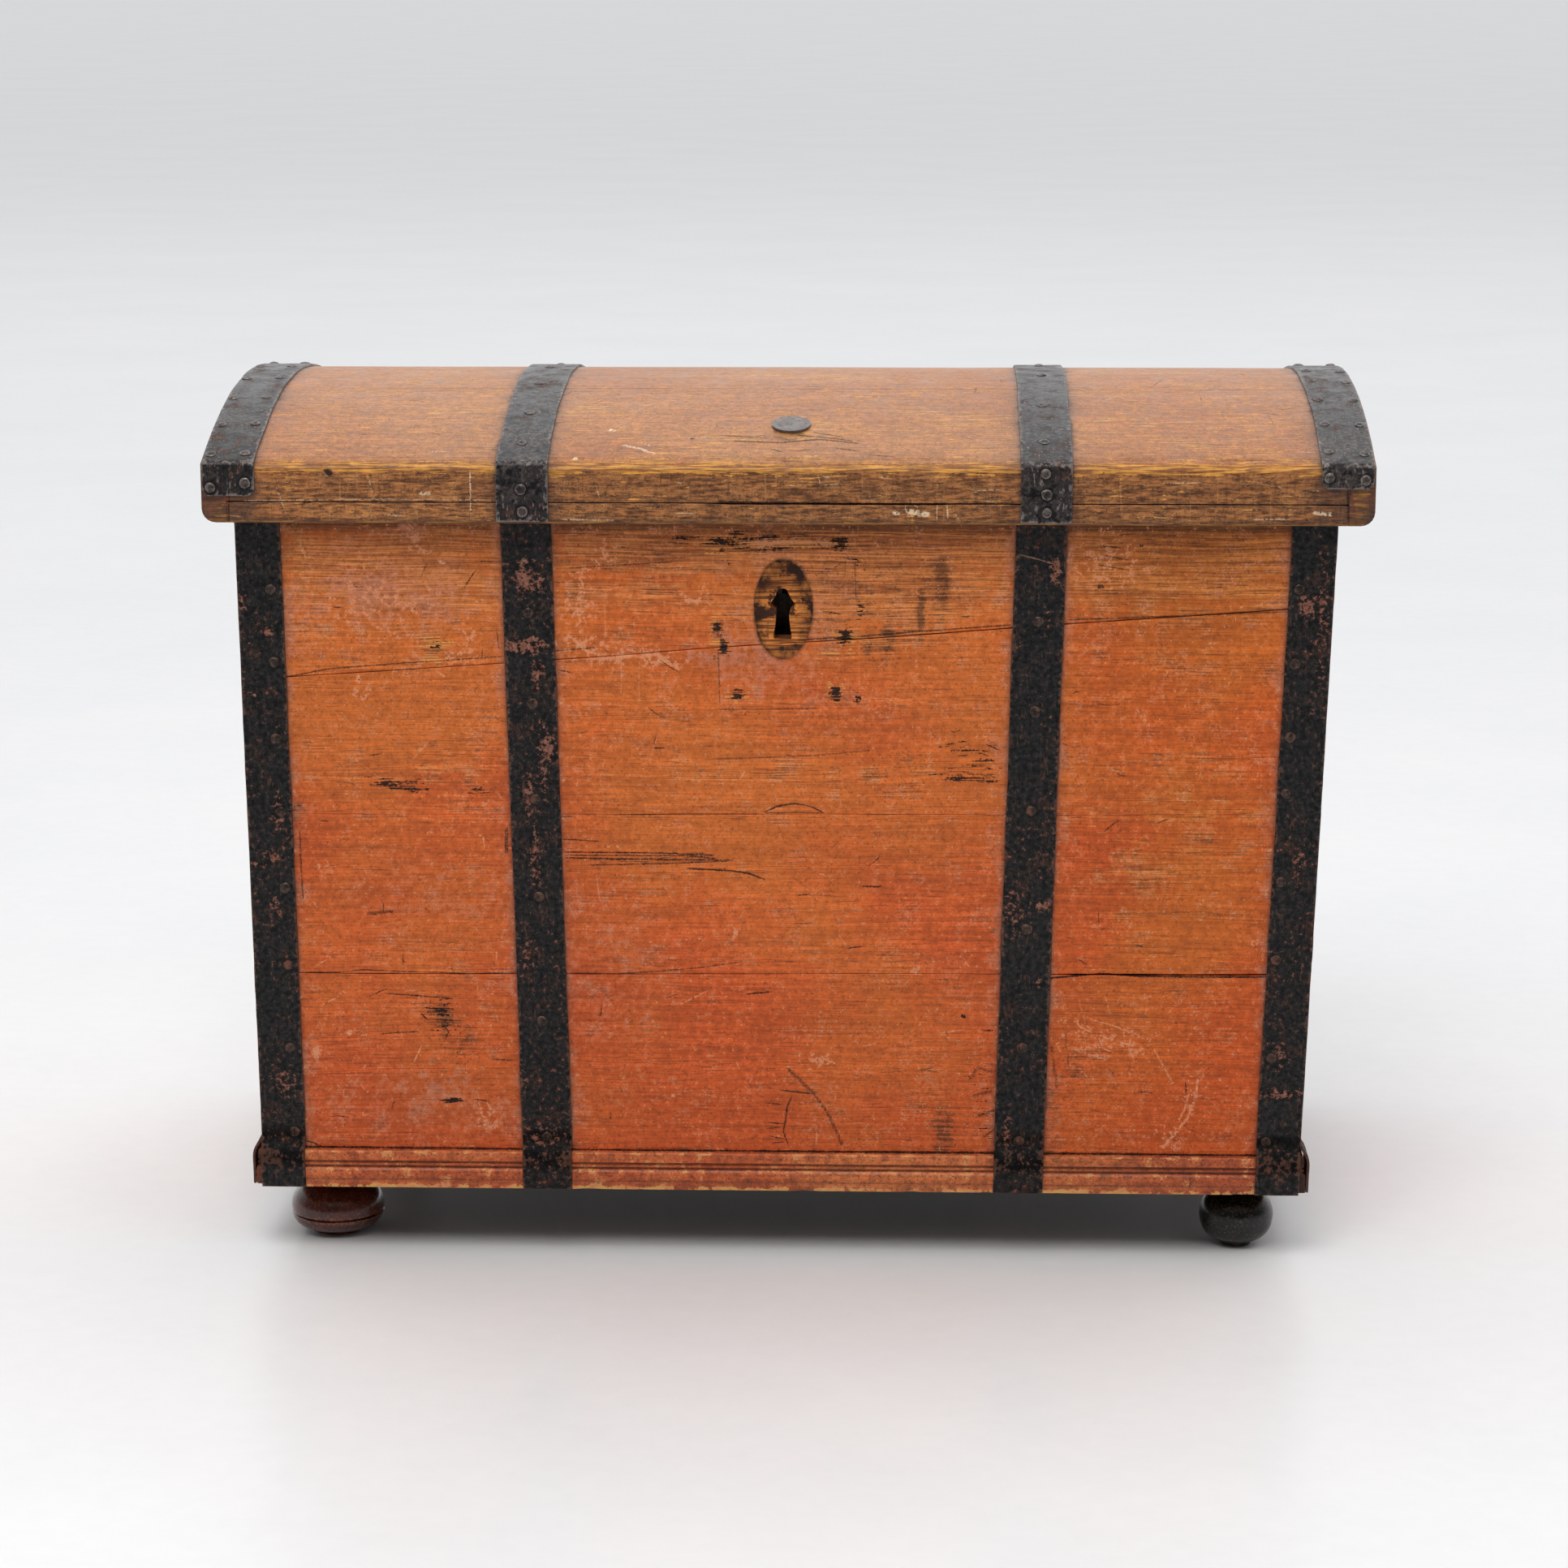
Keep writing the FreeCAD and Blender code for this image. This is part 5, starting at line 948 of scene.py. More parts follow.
def nail(p, normal, r=4.7, h=1.8):
    """A hand-hammered head: irregular rim, a few facets, slightly off centre."""
    nrm = np.array(normal, float)
    nrm /= np.linalg.norm(nrm)
    ref = np.array((1.0, 0, 0)) if abs(nrm[0]) < 0.7 else np.array((0, 1.0, 0))
    a = np.cross(nrm, ref)
    a /= np.linalg.norm(a)
    b = np.cross(nrm, a)
    k = 12
    ph = rng.uniform(0, 2 * math.pi)
    ang = ph + np.linspace(0, 2 * math.pi, k, endpoint=False) + rng.normal(0, 0.06, k)
    rr = r * (1 + rng.normal(0, 0.05, k)) * rng.uniform(0.9, 1.04)
    off = rng.normal(0, 0.35, 2)
    V = []
    for f, hh, o in ((0.97, -0.5, 0), (1.0, 0.25, 0), (0.93, 0.75, 0.2), (0.68, 1.35, 0.6), (0.34, 1.72, 1.0)):
        q = hh * h / 1.8 + (rng.normal(0, 0.07, k) if hh > 0.5 else 0)
        for t, rad, z in zip(ang, rr * f, q + 0 * ang):
            V.append(np.array(p) + a * (rad * math.cos(t) + off[0] * o) + b * (rad * math.sin(t) + off[1] * o) + nrm * z)
    return np.array(V).reshape(5, k, 3)


NAIL_POS = []


def nails(name, node, spots, body):
    NAIL_POS.extend([np.array(q[0], float) for q in spots])
    ob = merge(name, [nail(*s) for s in spots], 28)
    return piece(ob, body, "nail_iron", node)


FRONT_NAILS = [(-223.1, 577.6), (-220.7, 497.8), (-219.1, 412.9), (-217.5, 325.7), (-216.2, 213.2), (-213.2, 107),
    (216.2, 571.7), (214.3, 492.8), (211.7, 405.3), (209.3, 299.4), (206.2, 192.2), (204.6, 106.5),
    (-446.4, 597.2), (-444.7, 533.2), (-445.1, 465.7), (-442.6, 400.7), (-440.6, 332.2), (-439.5, 262.4), (-440.2, 186.9), (-438, 110),
    (439.3, 600.8), (437, 535.9), (434.6, 471.1), (432, 421.7), (429.3, 343.1), (426.7, 273.3), (424.6, 184.4), (421.8, 108)]
nails("looks_front_iron_nails", "front_iron_nails", [((x, -248.35, z), (0, -1, 0)) for x, z in FRONT_NAILS], "chest")
spots = []
for sx in (-1, 1):
    t = math.atan(LEAN[sx])
    e0 = float(EDGE[sx](648))
    out_v, up_v = np.array((sx * math.cos(t), 0, -math.sin(t))), np.array((sx * math.sin(t), 0, math.cos(t)))
    for y in (-216.15, 236.85):
        for z in (620, 530, 440, 350, 260, 170):
            spots.append((np.array((e0, y, 648.0)) + out_v * 2.2 + up_v * (z - 648.0), out_v))
nails("looks_side_iron_nails", "side_iron_nails", spots, "chest")
spots = [((x, 269.05, z), (0, 1, 0)) for x in (-224.7, 221.7) for z in (640, 560, 460, 355, 250, 140)]
spots += [((float(EDGE[sx](z)) - sx * 28, 269.05, z), (0, 1, 0)) for sx in (-1, 1) for z in (600, 500, 400, 300, 200, 120)]
nails("looks_back_iron_nails", "back_iron_nails", spots, "chest")
LID_NAILS = [(-492, -258), (-463, -256), (-492, -202.2), (-462.8, -198.4), (-492.4, -134.8), (-463.4, -132.2), (-492.2, -63.9), (-463, -59.8),
    (-492, 12), (-463, 14), (-492, 88), (-463, 90), (-492, 164), (-463, 166), (-492, 240), (-463, 238),
    (460.8, -248.7), (490.6, -252.8), (462, -194.3), (492.2, -195.9), (462, -132.3), (492.1, -134.4), (462, -64.7), (492.2, -71.6),
    (462, -8.7), (491.5, -14.3), (462, 70), (492, 72), (462, 150), (492, 152), (462, 236), (492, 238),
    (-226.2, -82.3), (-226.4, -172.3), (-226.8, -236.4), (-225.5, 12), (-224.5, 110), (-224.5, 205),
    (222.3, -38.8), (220.9, -150.3), (220.2, -232.3), (222, 40), (222, 130), (222, 215)]
spots = []
for x, yl in LID_NAILS:
    nv = np.array((0, yl, math.sqrt(R_DOME**2 - yl**2))) / R_DOME
    spots.append((np.array((x, DOME_Y, DOME_Z)) + nv * (R_STRAP - 0.1), nv))
for x, z in [(-491, 689), (-461.5, 693), (460, 700.1), (490.5, 698.2), (-225.7, 688.4), (-224.7, 669), (220.6, 703), (221.8, 684.9), (222, 669.5)]:
    spots.append(((x, -275.35, z), (0, -1, 0)))
for x, z in [(-491, 696), (-461.5, 696), (460, 699), (490.5, 699), (-224.7, 696), (221.7, 696)]:
    spots.append(((x, 269.05, z), (0, 1, 0)))
nails("looks_lid_strap_nails", "lid_strap_nails", spots, "lid")
spots = []
for sx in (-1, 1):
    t = math.atan(LEAN[sx])
    e0 = float(EDGE[sx](432))
    out_v, up_v = np.array((sx * math.cos(t), 0, -math.sin(t))), np.array((sx * math.sin(t), 0, math.cos(t)))
    for y in (10.35 - 57, 10.35 + 57):
        for dz in (-16.5, 16.5):
            spots.append((np.array((e0, y, 432.0)) + out_v * 2.2 + up_v * dz, out_v))
nails("looks_handle_nails", "handle_nails", spots, "chest")

# ---------------------------------------------------------------- mouldings and feet
PROFILE = [(0, 60.5), (9, 61.1), (9, 67.5), (8.1, 68.1), (8.7, 71.5), (8.1, 76), (6.6, 78.1), (4.8, 78.9), (4.8, 80.3), (6.5, 80.9),
    (6.5, 82.3), (4.8, 82.9), (4.8, 84.3), (6.4, 85.1), (5.8, 92.5), (4.6, 93.5), (0, 93.5)]
prof = np.array(resample(PROFILE, 1.1))


def worn_profile(n, length, seed):
    """Profile along the run, with rubbed arrises and small chips at the lower edge."""
    s = np.linspace(0, length, n)
    P = np.repeat(prof[None], n, 0)
    chip = np.maximum(0, n1(s, 16, seed) - 0.25) * 1.6 + np.maximum(0, n1(s, 5, seed + 1) - 0.45) * 0.9
    low = sstep(66, 61, prof[:, 1])
    P[..., 0] -= low[None] * chip[:, None] * (prof[:, 0] > 1)[None]
    P[..., 0] -= (0.25 + 0.25 * n1(s, 60, seed + 2))[:, None] * (prof[:, 0] > 1)[None] * 0.8
    P[..., 1] += (low * (prof[:, 0] > 1))[None] * (0.5 * chip)[:, None]
    return P


n = 330
P = worn_profile(n, 914, 301)
xs = np.linspace(-464.95, 448.82, n)
S = np.zeros((n, len(prof), 3))
S[..., 0] = xs[:, None]
S[..., 1] = FRONT_Y - P[..., 0]
S[..., 2] = P[..., 1]
piece(loft("looks_base_moulding_front", S, 30), "chest", "moulding_paint", "base_moulding_front")
for sx, s in ((-1, "left"), (1, "right")):
    n = 190
    P = worn_profile(n, 515, 311 + sx)
    t = math.atan(LEAN[sx])
    e0 = float(EDGE[sx](648))
    out_v, up_v = np.array((sx * math.cos(t), 0, -math.sin(t))), np.array((sx * math.sin(t), 0, math.cos(t)))
    S = np.array((e0, 0, 648.0)) + P[..., :1] * out_v + (P[..., 1:] - 648.0) * up_v
    S[..., 1] = np.linspace(-248.15, 266.85, n)[:, None]
    piece(loft("looks_base_moulding_" + s, S, 30), "chest", "moulding_paint", "base_moulding_" + s)


def bulge(p0, p1, rad, k):
    """Points on an outward arc of the given radius from p0 to p1, both (r, z)."""
    p0, p1 = np.array(p0, float), np.array(p1, float)
    m, d = (p0 + p1) / 2, p1 - p0
    c = np.linalg.norm(d) / 2
    nrm = np.array((-d[1], d[0])) / (2 * c)
    o = m + nrm * math.sqrt(max(rad * rad - c * c, 0))
    a0, a1 = math.atan2(*(p0 - o)[::-1]), math.atan2(*(p1 - o)[::-1])
    if a1 < a0:
        a1 += 2 * math.pi
    return [(float(o[0] + rad * math.cos(a)), float(o[1] + rad * math.sin(a))) for a in np.linspace(a0, a1, k)]


LEFT_FOOT = ([(0.3, 0), (12, 0), (20.6, 0), (21.5, 0.4), (21.8, 1.2), (21.8, 3.2), (22.3, 3.9), (24.2, 4.3), (26.3, 4.6)] + bulge((26.3, 4.6), (41.6, 17.6), 16.0, 16)[1:]
    + [(41.0, 18.2), (39.8, 18.8), (41.0, 19.4), (41.6, 20.0)] + bulge((41.6, 20.0), (27.8, 46.0), 24.0, 16)[1:] + [(26.0, 47.6), (24.9, 50), (24.8, 60.4), (12, 60.5), (12, 76.5), (0.3, 76.5)])
RIGHT_FOOT = ([(0.3, 0), (8, 0), (13.1, 0), (13.7, 0.35), (14.0, 1.0), (14.0, 3.5), (14.5, 4.2), (16.2, 4.6), (17.5, 4.8)] + bulge((17.5, 4.8), (32.6, 22.5), 20.0, 16)[1:]
    + bulge((32.6, 22.5), (24.5, 47.5), 26.0, 16)[1:] + [(22.6, 49.4), (20.8, 52), (20.5, 60.4), (12, 60.5), (12, 76.5), (0.3, 76.5)])
for s, x, pr, sl, yf in (("left", -410.5, LEFT_FOOT, "foot_red", -185.35), ("right", 400.5, RIGHT_FOOT, "foot_black", -201.55)):
    for f, y in (("front", yf), ("back", 204.85)):
        S = lathe(pr, (x, y), 72)
        q = S.reshape(-1, 3) / 16.0
        rad = S[..., :2] - np.array((x, y))
        ln = np.linalg.norm(rad, axis=-1, keepdims=True)
        bump = (0.22 * fbm(q, 3, 331) - 0.15).reshape(S.shape[:2])[..., None] * (ln > 13)
        S[..., :2] += rad / np.maximum(ln, 1e-6) * bump
        piece(loft("looks_foot_%s_%s" % (f, s), S, 32), "chest", sl, "foot_%s_%s" % (f, s))

# ---------------------------------------------------------------- where the marks lie on the meshes


def mark_channels(P, marks, nch=4, reach=10.0):
    """Each channel holds, per point, (signed distance to the nearest mark, its half width there, its tone).
    Marks that lie close together go to different channels."""
    samples = []
    for pts, w, t in marks:
        samples.append(np.array(resample([np.array(p) for p in pts], 4.0)))
    chan = []
    for i, a in enumerate(samples):
        near = [1e9] * nch
        for j in range(i):
            d = np.sqrt(((a[:, None] - samples[j][None]) ** 2).sum(-1)).min() - marks[i][1] - marks[j][1]
            near[chan[j]] = min(near[chan[j]], d)
        free = [c for c in range(nch) if near[c] > 9.0]
        chan.append(free[0] if free else int(np.argmax(near)))
    out = [np.tile(np.array((40.0, -5.0, 0.0)), (len(P), 1)) for _ in range(nch)]
    best = [np.full(len(P), 1e9) for _ in range(nch)]
    for (pts, w, tone), c in zip(marks, chan):
        q = np.array(pts, float)
        lo, hi = q.min(0) - reach - w, q.max(0) + reach + w
        sel = np.where(((P > lo) & (P < hi)).all(1))[0]
        if not len(sel):
            continue
        X = P[sel]
        dist, sgn, along = np.full(len(X), 1e9), np.ones(len(X)), np.zeros(len(X))
        over = np.zeros(len(X))
        seg = np.linalg.norm(np.diff(q, axis=0), axis=1)
        total, run = seg.sum(), 0.0
        for k in range(len(q) - 1):
            d = q[k + 1] - q[k]
            ln = max(seg[k], 1e-6)
            t = (X - q[k]) @ d / ln**2
            tc = np.clip(t, 0, 1)
            v = X - q[k] - tc[:, None] * d
            dd = np.linalg.norm(v, axis=1)
            cr = (d[0] * (X[:, 1] - q[k][1]) - d[1] * (X[:, 0] - q[k][0])) / ln
            m = dd < dist
            dist[m] = dd[m]
            sgn[m] = cr[m]
            along[m] = (run + t * ln)[m]
            run += seg[k]
        if w >= 1.0:
            s, ww = dist, np.full(len(X), w)
        else:
            inside = np.minimum(along, total - along)
            s = np.where(inside >= 0, np.where(np.abs(sgn) < dist + 0.5, np.sign(sgn) * dist, dist), np.sign(sgn) * dist)
            ww = w * sstep(-0.1, min(6.0, total * 0.35), inside) * 1.15 - np.maximum(0, -inside) * 0.6
            ww = ww * (0.75 + 0.35 * n1(along, 7.0, 77))
        m = np.abs(s) - ww < best[c][sel]
        idx = sel[m]
        best[c][idx] = (np.abs(s) - ww)[m]
        out[c][idx] = np.stack([s[m], ww[m], np.full(m.sum(), tone)], -1)
    return out


def blobs(P, rows):
    """Soft ellipses (centre, radii, strength) added up over points P."""
    v = np.zeros(len(P))
    for cx, cz, rx, rz, k in rows:
        d = np.sqrt(((P[:, 0] - cx) / rx) ** 2 + ((P[:, 1] - cz) / rz) ** 2)
        v += k * sstep(1.0, 0.25, d)
    return v


def cones(P, rows, gain=1.0):
    """Cone over each ellipse (centre, radii, strength); its edge lies near the value 0.5."""
    v = np.zeros(len(P))
    for cx, cz, rx, rz, k in rows:
        d = np.sqrt(((P[:, 0] - cx) / rx) ** 2 + ((P[:, 1] - cz) / rz) ** 2)
        v = np.maximum(v, k * gain * np.clip(1.2 - 0.6 * d, 0, None))
    return v


def strap_l(z):
    return -224.4 + math.tan(math.radians(1.17)) * (648 - z)


def strap_r(z):
    return 218.5 - math.tan(math.radians(1.47)) * (648 - z)


WORN = [(60, 600, 130, 60, 0.4), (-340, 600, 130, 60, 0.35), (340, 620, 130, 70, 0.35), (330, 400, 130, 80, 0.32), (-340, 430, 130, 45, 0.3), (0, 432, 200, 40, 0.28),
    (330, 320, 130, 70, 0.3), (80.9, 543, 24, 26, 0.5), (133, 595, 12, 40, 0.4)]
DIRT = [(115.7, 580, 6, 30, 0.85), (133.7, 600, 9, 34, 0.85), (128, 606, 18, 26, 0.45), (80.9, 548, 26, 30, 0.7), (72, 575, 8, 30, 0.6), (-304.8, 549.1, 10, 8, 0.7), (-290, 195, 26, 30, 0.5), (-308, 214, 22, 24, 0.5),
    (140, 120, 20, 40, 0.5), (-150, 625, 70, 22, 0.25), (-10, 650, 90, 14, 0.45), (60, 610, 90, 40, 0.3), (340, 640, 100, 20, 0.3), (-430, 380, 12, 60, 0.3), (90, 440, 60, 30, 0.25),
    (212, 130, 40, 60, 0.35), (250, 170, 20, 50, 0.3)]
PALE = [(-340, 590, 110, 50, 0.5), (-320, 130, 110, 60, 0.35), (-60, 540, 120, 40, 0.3), (-3, 545, 66, 70, 0.1), (-370, 640, 60, 20, 0.3), (-150, 250, 60, 120, 0.25), (-330, 320, 100, 60, 0.18),
    (-26, 655, 22, 8, 0.7), (-324, 650, 16, 14, 0.6), (-300, 540, 22, 10, 0.6), (-130, 545, 40, 10, 0.5), (-60, 538, 40, 10, 0.4)]


def small_marks(seed, count, lo, hi, along=0.5, long=(5, 20)):
    """Fine scratches and nicks scattered over a face."""
    rg = np.random.default_rng(seed)
    rows = []
    for k in range(count):
        a = np.array((rg.uniform(lo[0], hi[0]), rg.uniform(lo[1], hi[1])))
        an = rg.normal(0, 0.16) if rg.random() < along else rg.uniform(-1.6, 1.6)
        b = a + rg.uniform(*long) * np.array((math.cos(an), math.sin(an)))
        rows.append(((tuple(a), tuple((a + b) / 2 + rg.normal(0, 0.6, 2)), tuple(b)), rg.uniform(0.2, 0.45), float(rg.choice([-0.8, -0.6, -0.5, 0.45, 0.65]))))
    return rows


def splits(seed, groups):
    """Short cracks along the grain, bunched in groups; arch bends them upward."""
    rg = np.random.default_rng(seed)
    rows = []
    for x, z, rx, rz, count, arch in groups:
        for k in range(int(count)):
            u, v = rg.uniform(-1, 1), rg.uniform(-1, 1)
            ln = rg.uniform(0.14, 0.42) * rx
            pts = []
            for e in (-0.5, -0.15, 0.2, 0.5):
                px = x + u * rx * 0.8 + e * ln
                pts.append((px, z + v * rz + arch * (0.6 - ((px - x) / rx) ** 2) + rg.normal(0, 0.35)))
            rows.append((tuple(pts), rg.uniform(0.22, 0.55), float(rg.uniform(-1.0, -0.6))))
    return rows


# the shadow line where the moulding meets the wall, and fine scratches
FRONT_ALL = MARKS_FRONT + [(((-434, 94.9), (-120, 94.5), (150, 94.8), (430, 94.5)), 0.8, -0.95)] + small_marks(9173, 120, (-438, 104), (424, 664)) + splits(9203, SPLITS)
# patches where the wall's colour is made lighter, mostly on the left and in the middle, and darker, mostly on the right
SHADE = [(-340, 600, 150, 80, 0.10), (-340, 270, 150, 60, 0.06), (0, 432, 200, 50, 0.07), (0, 290, 200, 80, 0.08), (0, 190, 200, 60, 0.05),
    (330, 555, 140, 70, -0.10), (330, 585, 150, 50, -0.07), (340, 380, 160, 330, -0.05), (330, 640, 140, 40, -0.05), (330, 140, 140, 60, -0.04), (-120, 625, 60, 30, -0.05)]
for ob in (fb_top, fb_upper, fb_lower, fb_bottom):
    V = coords(ob)
    P = V[:, [0, 2]]
    depth = V[:, 1] - FRONT_Y
    chans = mark_channels(P, FRONT_ALL)
    sunk = np.zeros(len(V))
    for k, c in enumerate(chans):
        attr(ob, "mark_" + "abcd"[k], c)
        sunk = np.maximum(sunk, sstep(c[:, 1] + 0.8, c[:, 1] - 0.2, np.abs(c[:, 0])) * np.clip(-c[:, 2], 0, 1) * np.clip(c[:, 1] / 1.2, 0.25, 1))
    oval = np.sqrt(((V[:, 0] - OVAL_C[0]) / OVAL_R[0]) ** 2 + ((V[:, 2] - OVAL_C[1]) / OVAL_R[1]) ** 2)
    bed = (depth > 1.1) & (depth < 20) & (oval < 1.06)
    attr(ob, "bare", np.maximum(sstep(5.5, 8.0, depth), bed))
    # painted shadow: the wall is darkened just under the lid's lip, less so higher up where the lip covers it
    lip = 0.62 * sstep(643.0, 653.0, V[:, 2]) * (1 - 0.45 * sstep(660.0, 668.0, V[:, 2]))
    attr(ob, "shade", blobs(P, SHADE) * (1 + 0.5 * fbm(np.stack([V[:, 0] / 60, 0 * V[:, 2], V[:, 2] / 35], -1), 3, 401)) - lip)
    attr(ob, "oval", bed.astype(float))
    attr(ob, "flake", cones(P, FLAKES, 0.92))
    attr(ob, "fleck", cones(P, FLECKS, 0.8))
    attr(ob, "gouge", cones(P, GOUGES, 0.9))
    attr(ob, "rim", sstep(0.86, 0.99, oval) * sstep(1.08, 1.0, oval))
    z = V[:, 2]
    q = np.stack([V[:, 0] / 60, 0 * z, z / 35], -1)
    nz = fbm(q, 3, 401)
    attr(ob, "worn", np.clip(sstep(500, 668, z + 25 * nz) * 0.75 + blobs(P, WORN) * (1 + 0.6 * nz), 0, 1))
    # stains, and darkening in the crease above the moulding and under the lid's lip: painted shade
    attr(ob, "dirt", np.clip(blobs(P, DIRT) * (1 + 0.8 * nz) + 0.5 * sstep(664, 676, z) + 0.35 * sstep(104, 92, z), 0, 1))
    sd = np.minimum(np.abs(V[:, 0] - strap_l(z)), np.abs(V[:, 0] - strap_r(z))) - 22
    sd = np.minimum(sd, np.minimum(V[:, 0] - left_x(z) - 37, right_x(z) - 37 - V[:, 0]))
    halo = np.exp(-np.maximum(sd, 0) / 8.0) * (0.65 + 0.5 * nz)
    plate = sstep(-63.0, -61.5, V[:, 0]) * sstep(61.5, 60.0, V[:, 0]) * sstep(495.5, 497.0, z) * sstep(643.0, 640.0, z)
    attr(ob, "pale", np.clip(blobs(P, PALE) * (1 + 0.9 * nz) + halo + 0.22 * plate, 0, 1))
    # painted shadow: a dark line along the edges of the irons
    attr(ob, "grime", np.clip(np.exp(-np.maximum(sd, 0) / 2.2), 0, 1))
    V[:, 1] += np.where(depth < 1.0, 0.55 * sunk, 0)
    set_coords(ob, V)

RAIL_ALL = MARKS_RAIL + small_marks(9181, 46, (-490, 663), (490, 704), 0.4, (4, 12))
DOME_ALL = MARKS_DOME + small_marks(9187, 130, (-450, -258), (450, 250), 0.6, (6, 26))
for ob in list(PIECES):
    nm = ob.name
    if nm.startswith(("looks_front_strap", "looks_corner_iron_front")):
        V = coords(ob)
        ok = V[:, 1] < FRONT_Y - 0.9
        for k, c in enumerate(mark_channels(np.where(ok[:, None], V[:, [0, 2]], 9e3), MARKS_IRON)):
            attr(ob, "mark_" + "abcd"[k], c)
        attr(ob, "fleck", cones(V[:, [0, 2]], IRON_FLECKS, 0.85) * ok)
    elif nm.startswith("looks_end_board") or nm.startswith("looks_back_board"):
        V = coords(ob)
        z = V[:, 2]
        if "end" in nm:
            sx = -1 if "left" in nm else 1
            depth = np.abs(EDGE[sx](z) - V[:, 0])
            P = V[:, [1, 2]]
            edge_d = np.minimum(V[:, 1] + 209.15, 229.85 - V[:, 1])
        else:
            depth = BACK_Y - V[:, 1]
            P = V[:, [0, 2]]
            edge_d = np.minimum(np.minimum(np.abs(V[:, 0] + 224.7), np.abs(V[:, 0] - 221.7)) - 22, np.minimum(V[:, 0] - left_x(z) - 37, right_x(z) - 37 - V[:, 0]))
        seed = sum(map(ord, nm))
        rg = np.random.default_rng(seed)
        rows = []
        for k in range(26):
            a = np.array((rg.uniform(P[:, 0].min(), P[:, 0].max()), rg.uniform(z.min() + 4, z.max() - 4)))
            an = rg.normal(0, 0.12) if rg.random() < 0.65 else rg.uniform(-1.6, 1.6)
            ln = rg.uniform(6, 45)
            b = a + ln * np.array((math.cos(an), math.sin(an)))
            rows.append(((tuple(a), tuple((a + b) / 2 + rg.normal(0, 0.5, 2)), tuple(b)), rg.uniform(0.3, 0.7), rg.choice([-0.8, -0.5, 0.6, 0.8])))
        for k, c in enumerate(mark_channels(P, rows)):
            attr(ob, "mark_" + "abcd"[k], c)
        q = np.stack([P[:, 0] / 60, 0 * z + seed, z / 35], -1)
        nz = fbm(q, 3, 411)
        attr(ob, "bare", sstep(5.5, 8.0, depth))
        attr(ob, "rim", np.zeros(len(V)))
        attr(ob, "worn", np.clip(sstep(480, 668, z + 40 * nz) * 0.6 + 0.35 * np.maximum(0, nz), 0, 1))
        # darker in patches, and towards the moulding and under the lid: painted shade
        attr(ob, "dirt", np.clip(0.3 * np.maximum(0, -nz) + 0.4 * sstep(110, 80, z) + 0.3 * sstep(655, 676, z), 0, 1))
        halo = np.exp(-np.maximum(edge_d, 0) / 8.0) * (0.6 + 0.5 * nz)
        attr(ob, "pale", np.clip(halo + 0.2 * np.maximum(0, nz), 0, 1))
        # painted shadow: a dark line along the edges of the irons
        attr(ob, "grime", np.clip(np.exp(-np.maximum(edge_d, 0) / 2.5), 0, 1))
    elif nm.startswith("looks_lid_") and "strap" not in nm:
        V = coords(ob)
        z = V[:, 2]
        yl = V[:, 1] + 3.15
        rail = sstep(-268.2, -269.4, yl)
        if "lip" in nm:
            rail = np.ones(len(V))
        if "cleat" in nm:
            rail = np.maximum(rail, 0.8 * sstep(2.5, 4.0, dome_z(np.clip(np.abs(yl), 0, 270)) - z))
        attr(ob, "rail", rail)
        rr = np.sqrt((yl) ** 2 + (z - DOME_Z) ** 2)
        inner = (rr < R_DOME - 6) & (np.abs(yl) < 264) & (np.abs(V[:, 0]) < 499) & (z > 660)
        if "cleat" in nm or "lip" in nm:
            inner = np.zeros(len(V), bool)
        attr(ob, "bare", inner.astype(float))
        edge = 1.15 * np.exp(-(((yl + 268.0) / 4.4) ** 2 + ((z - 707.0) / 5.0) ** 2)) * (np.abs(yl + 270) < 20)
        edge = np.maximum(edge, 0.8 * sstep(661.8, 659.2, z) * (yl < -262))
        attr(ob, "edge", edge)
        joint_l = np.exp(-(((np.abs(V[:, 0]) - 477.5) / 1.1) ** 2))
        attr(ob, "seam", joint_l * (rail > 0.4))
        attr(ob, "shade", 0.16 * sstep(-180, -330, V[:, 0]) * (rail > 0.4))
        attr(ob, "ends", sstep(477.0, 478.0, np.abs(V[:, 0])))
        m1 = mark_channels(np.where(rail[:, None] > 0.4, V[:, [0, 2]], np.array((0.0, -9e3))), RAIL_ALL)
        m2 = mark_channels(np.where(rail[:, None] <= 0.4, np.stack([V[:, 0], yl], -1), np.array((0.0, 9e3))), DOME_ALL)
        for k in range(4):
            attr(ob, "mark_" + "abcd"[k], np.where(rail[:, None] > 0.4, m1[k], m2[k]))
        sd = np.minimum(np.abs(V[:, 0] + 224.7), np.abs(V[:, 0] - 221.7)) - 22
        sd = np.minimum(sd, 453.7 - np.abs(V[:, 0]))
        q = np.stack([V[:, 0] / 50, yl / 30, z / 30], -1)
        nz = fbm(q, 3, 421)
        attr(ob, "pale", np.clip(np.exp(-np.maximum(sd, 0) / 9.0) * (0.3 + 0.4 * nz), 0, 1))
        # painted shade on the lip's rounded lower edge, a painted shadow line along the straps, and smudges of grime
        # beside them
        low = 1.0 * sstep(664.5, 660.0, z) * (rail > 0.4)
        attr(ob, "grime", np.clip(low + np.exp(-np.maximum(sd, 0) / 2.2) + np.exp(-np.maximum(sd, 0) / 11.0) * np.clip(0.45 + 1.2 * nz, 0, 0.8), 0, 1))
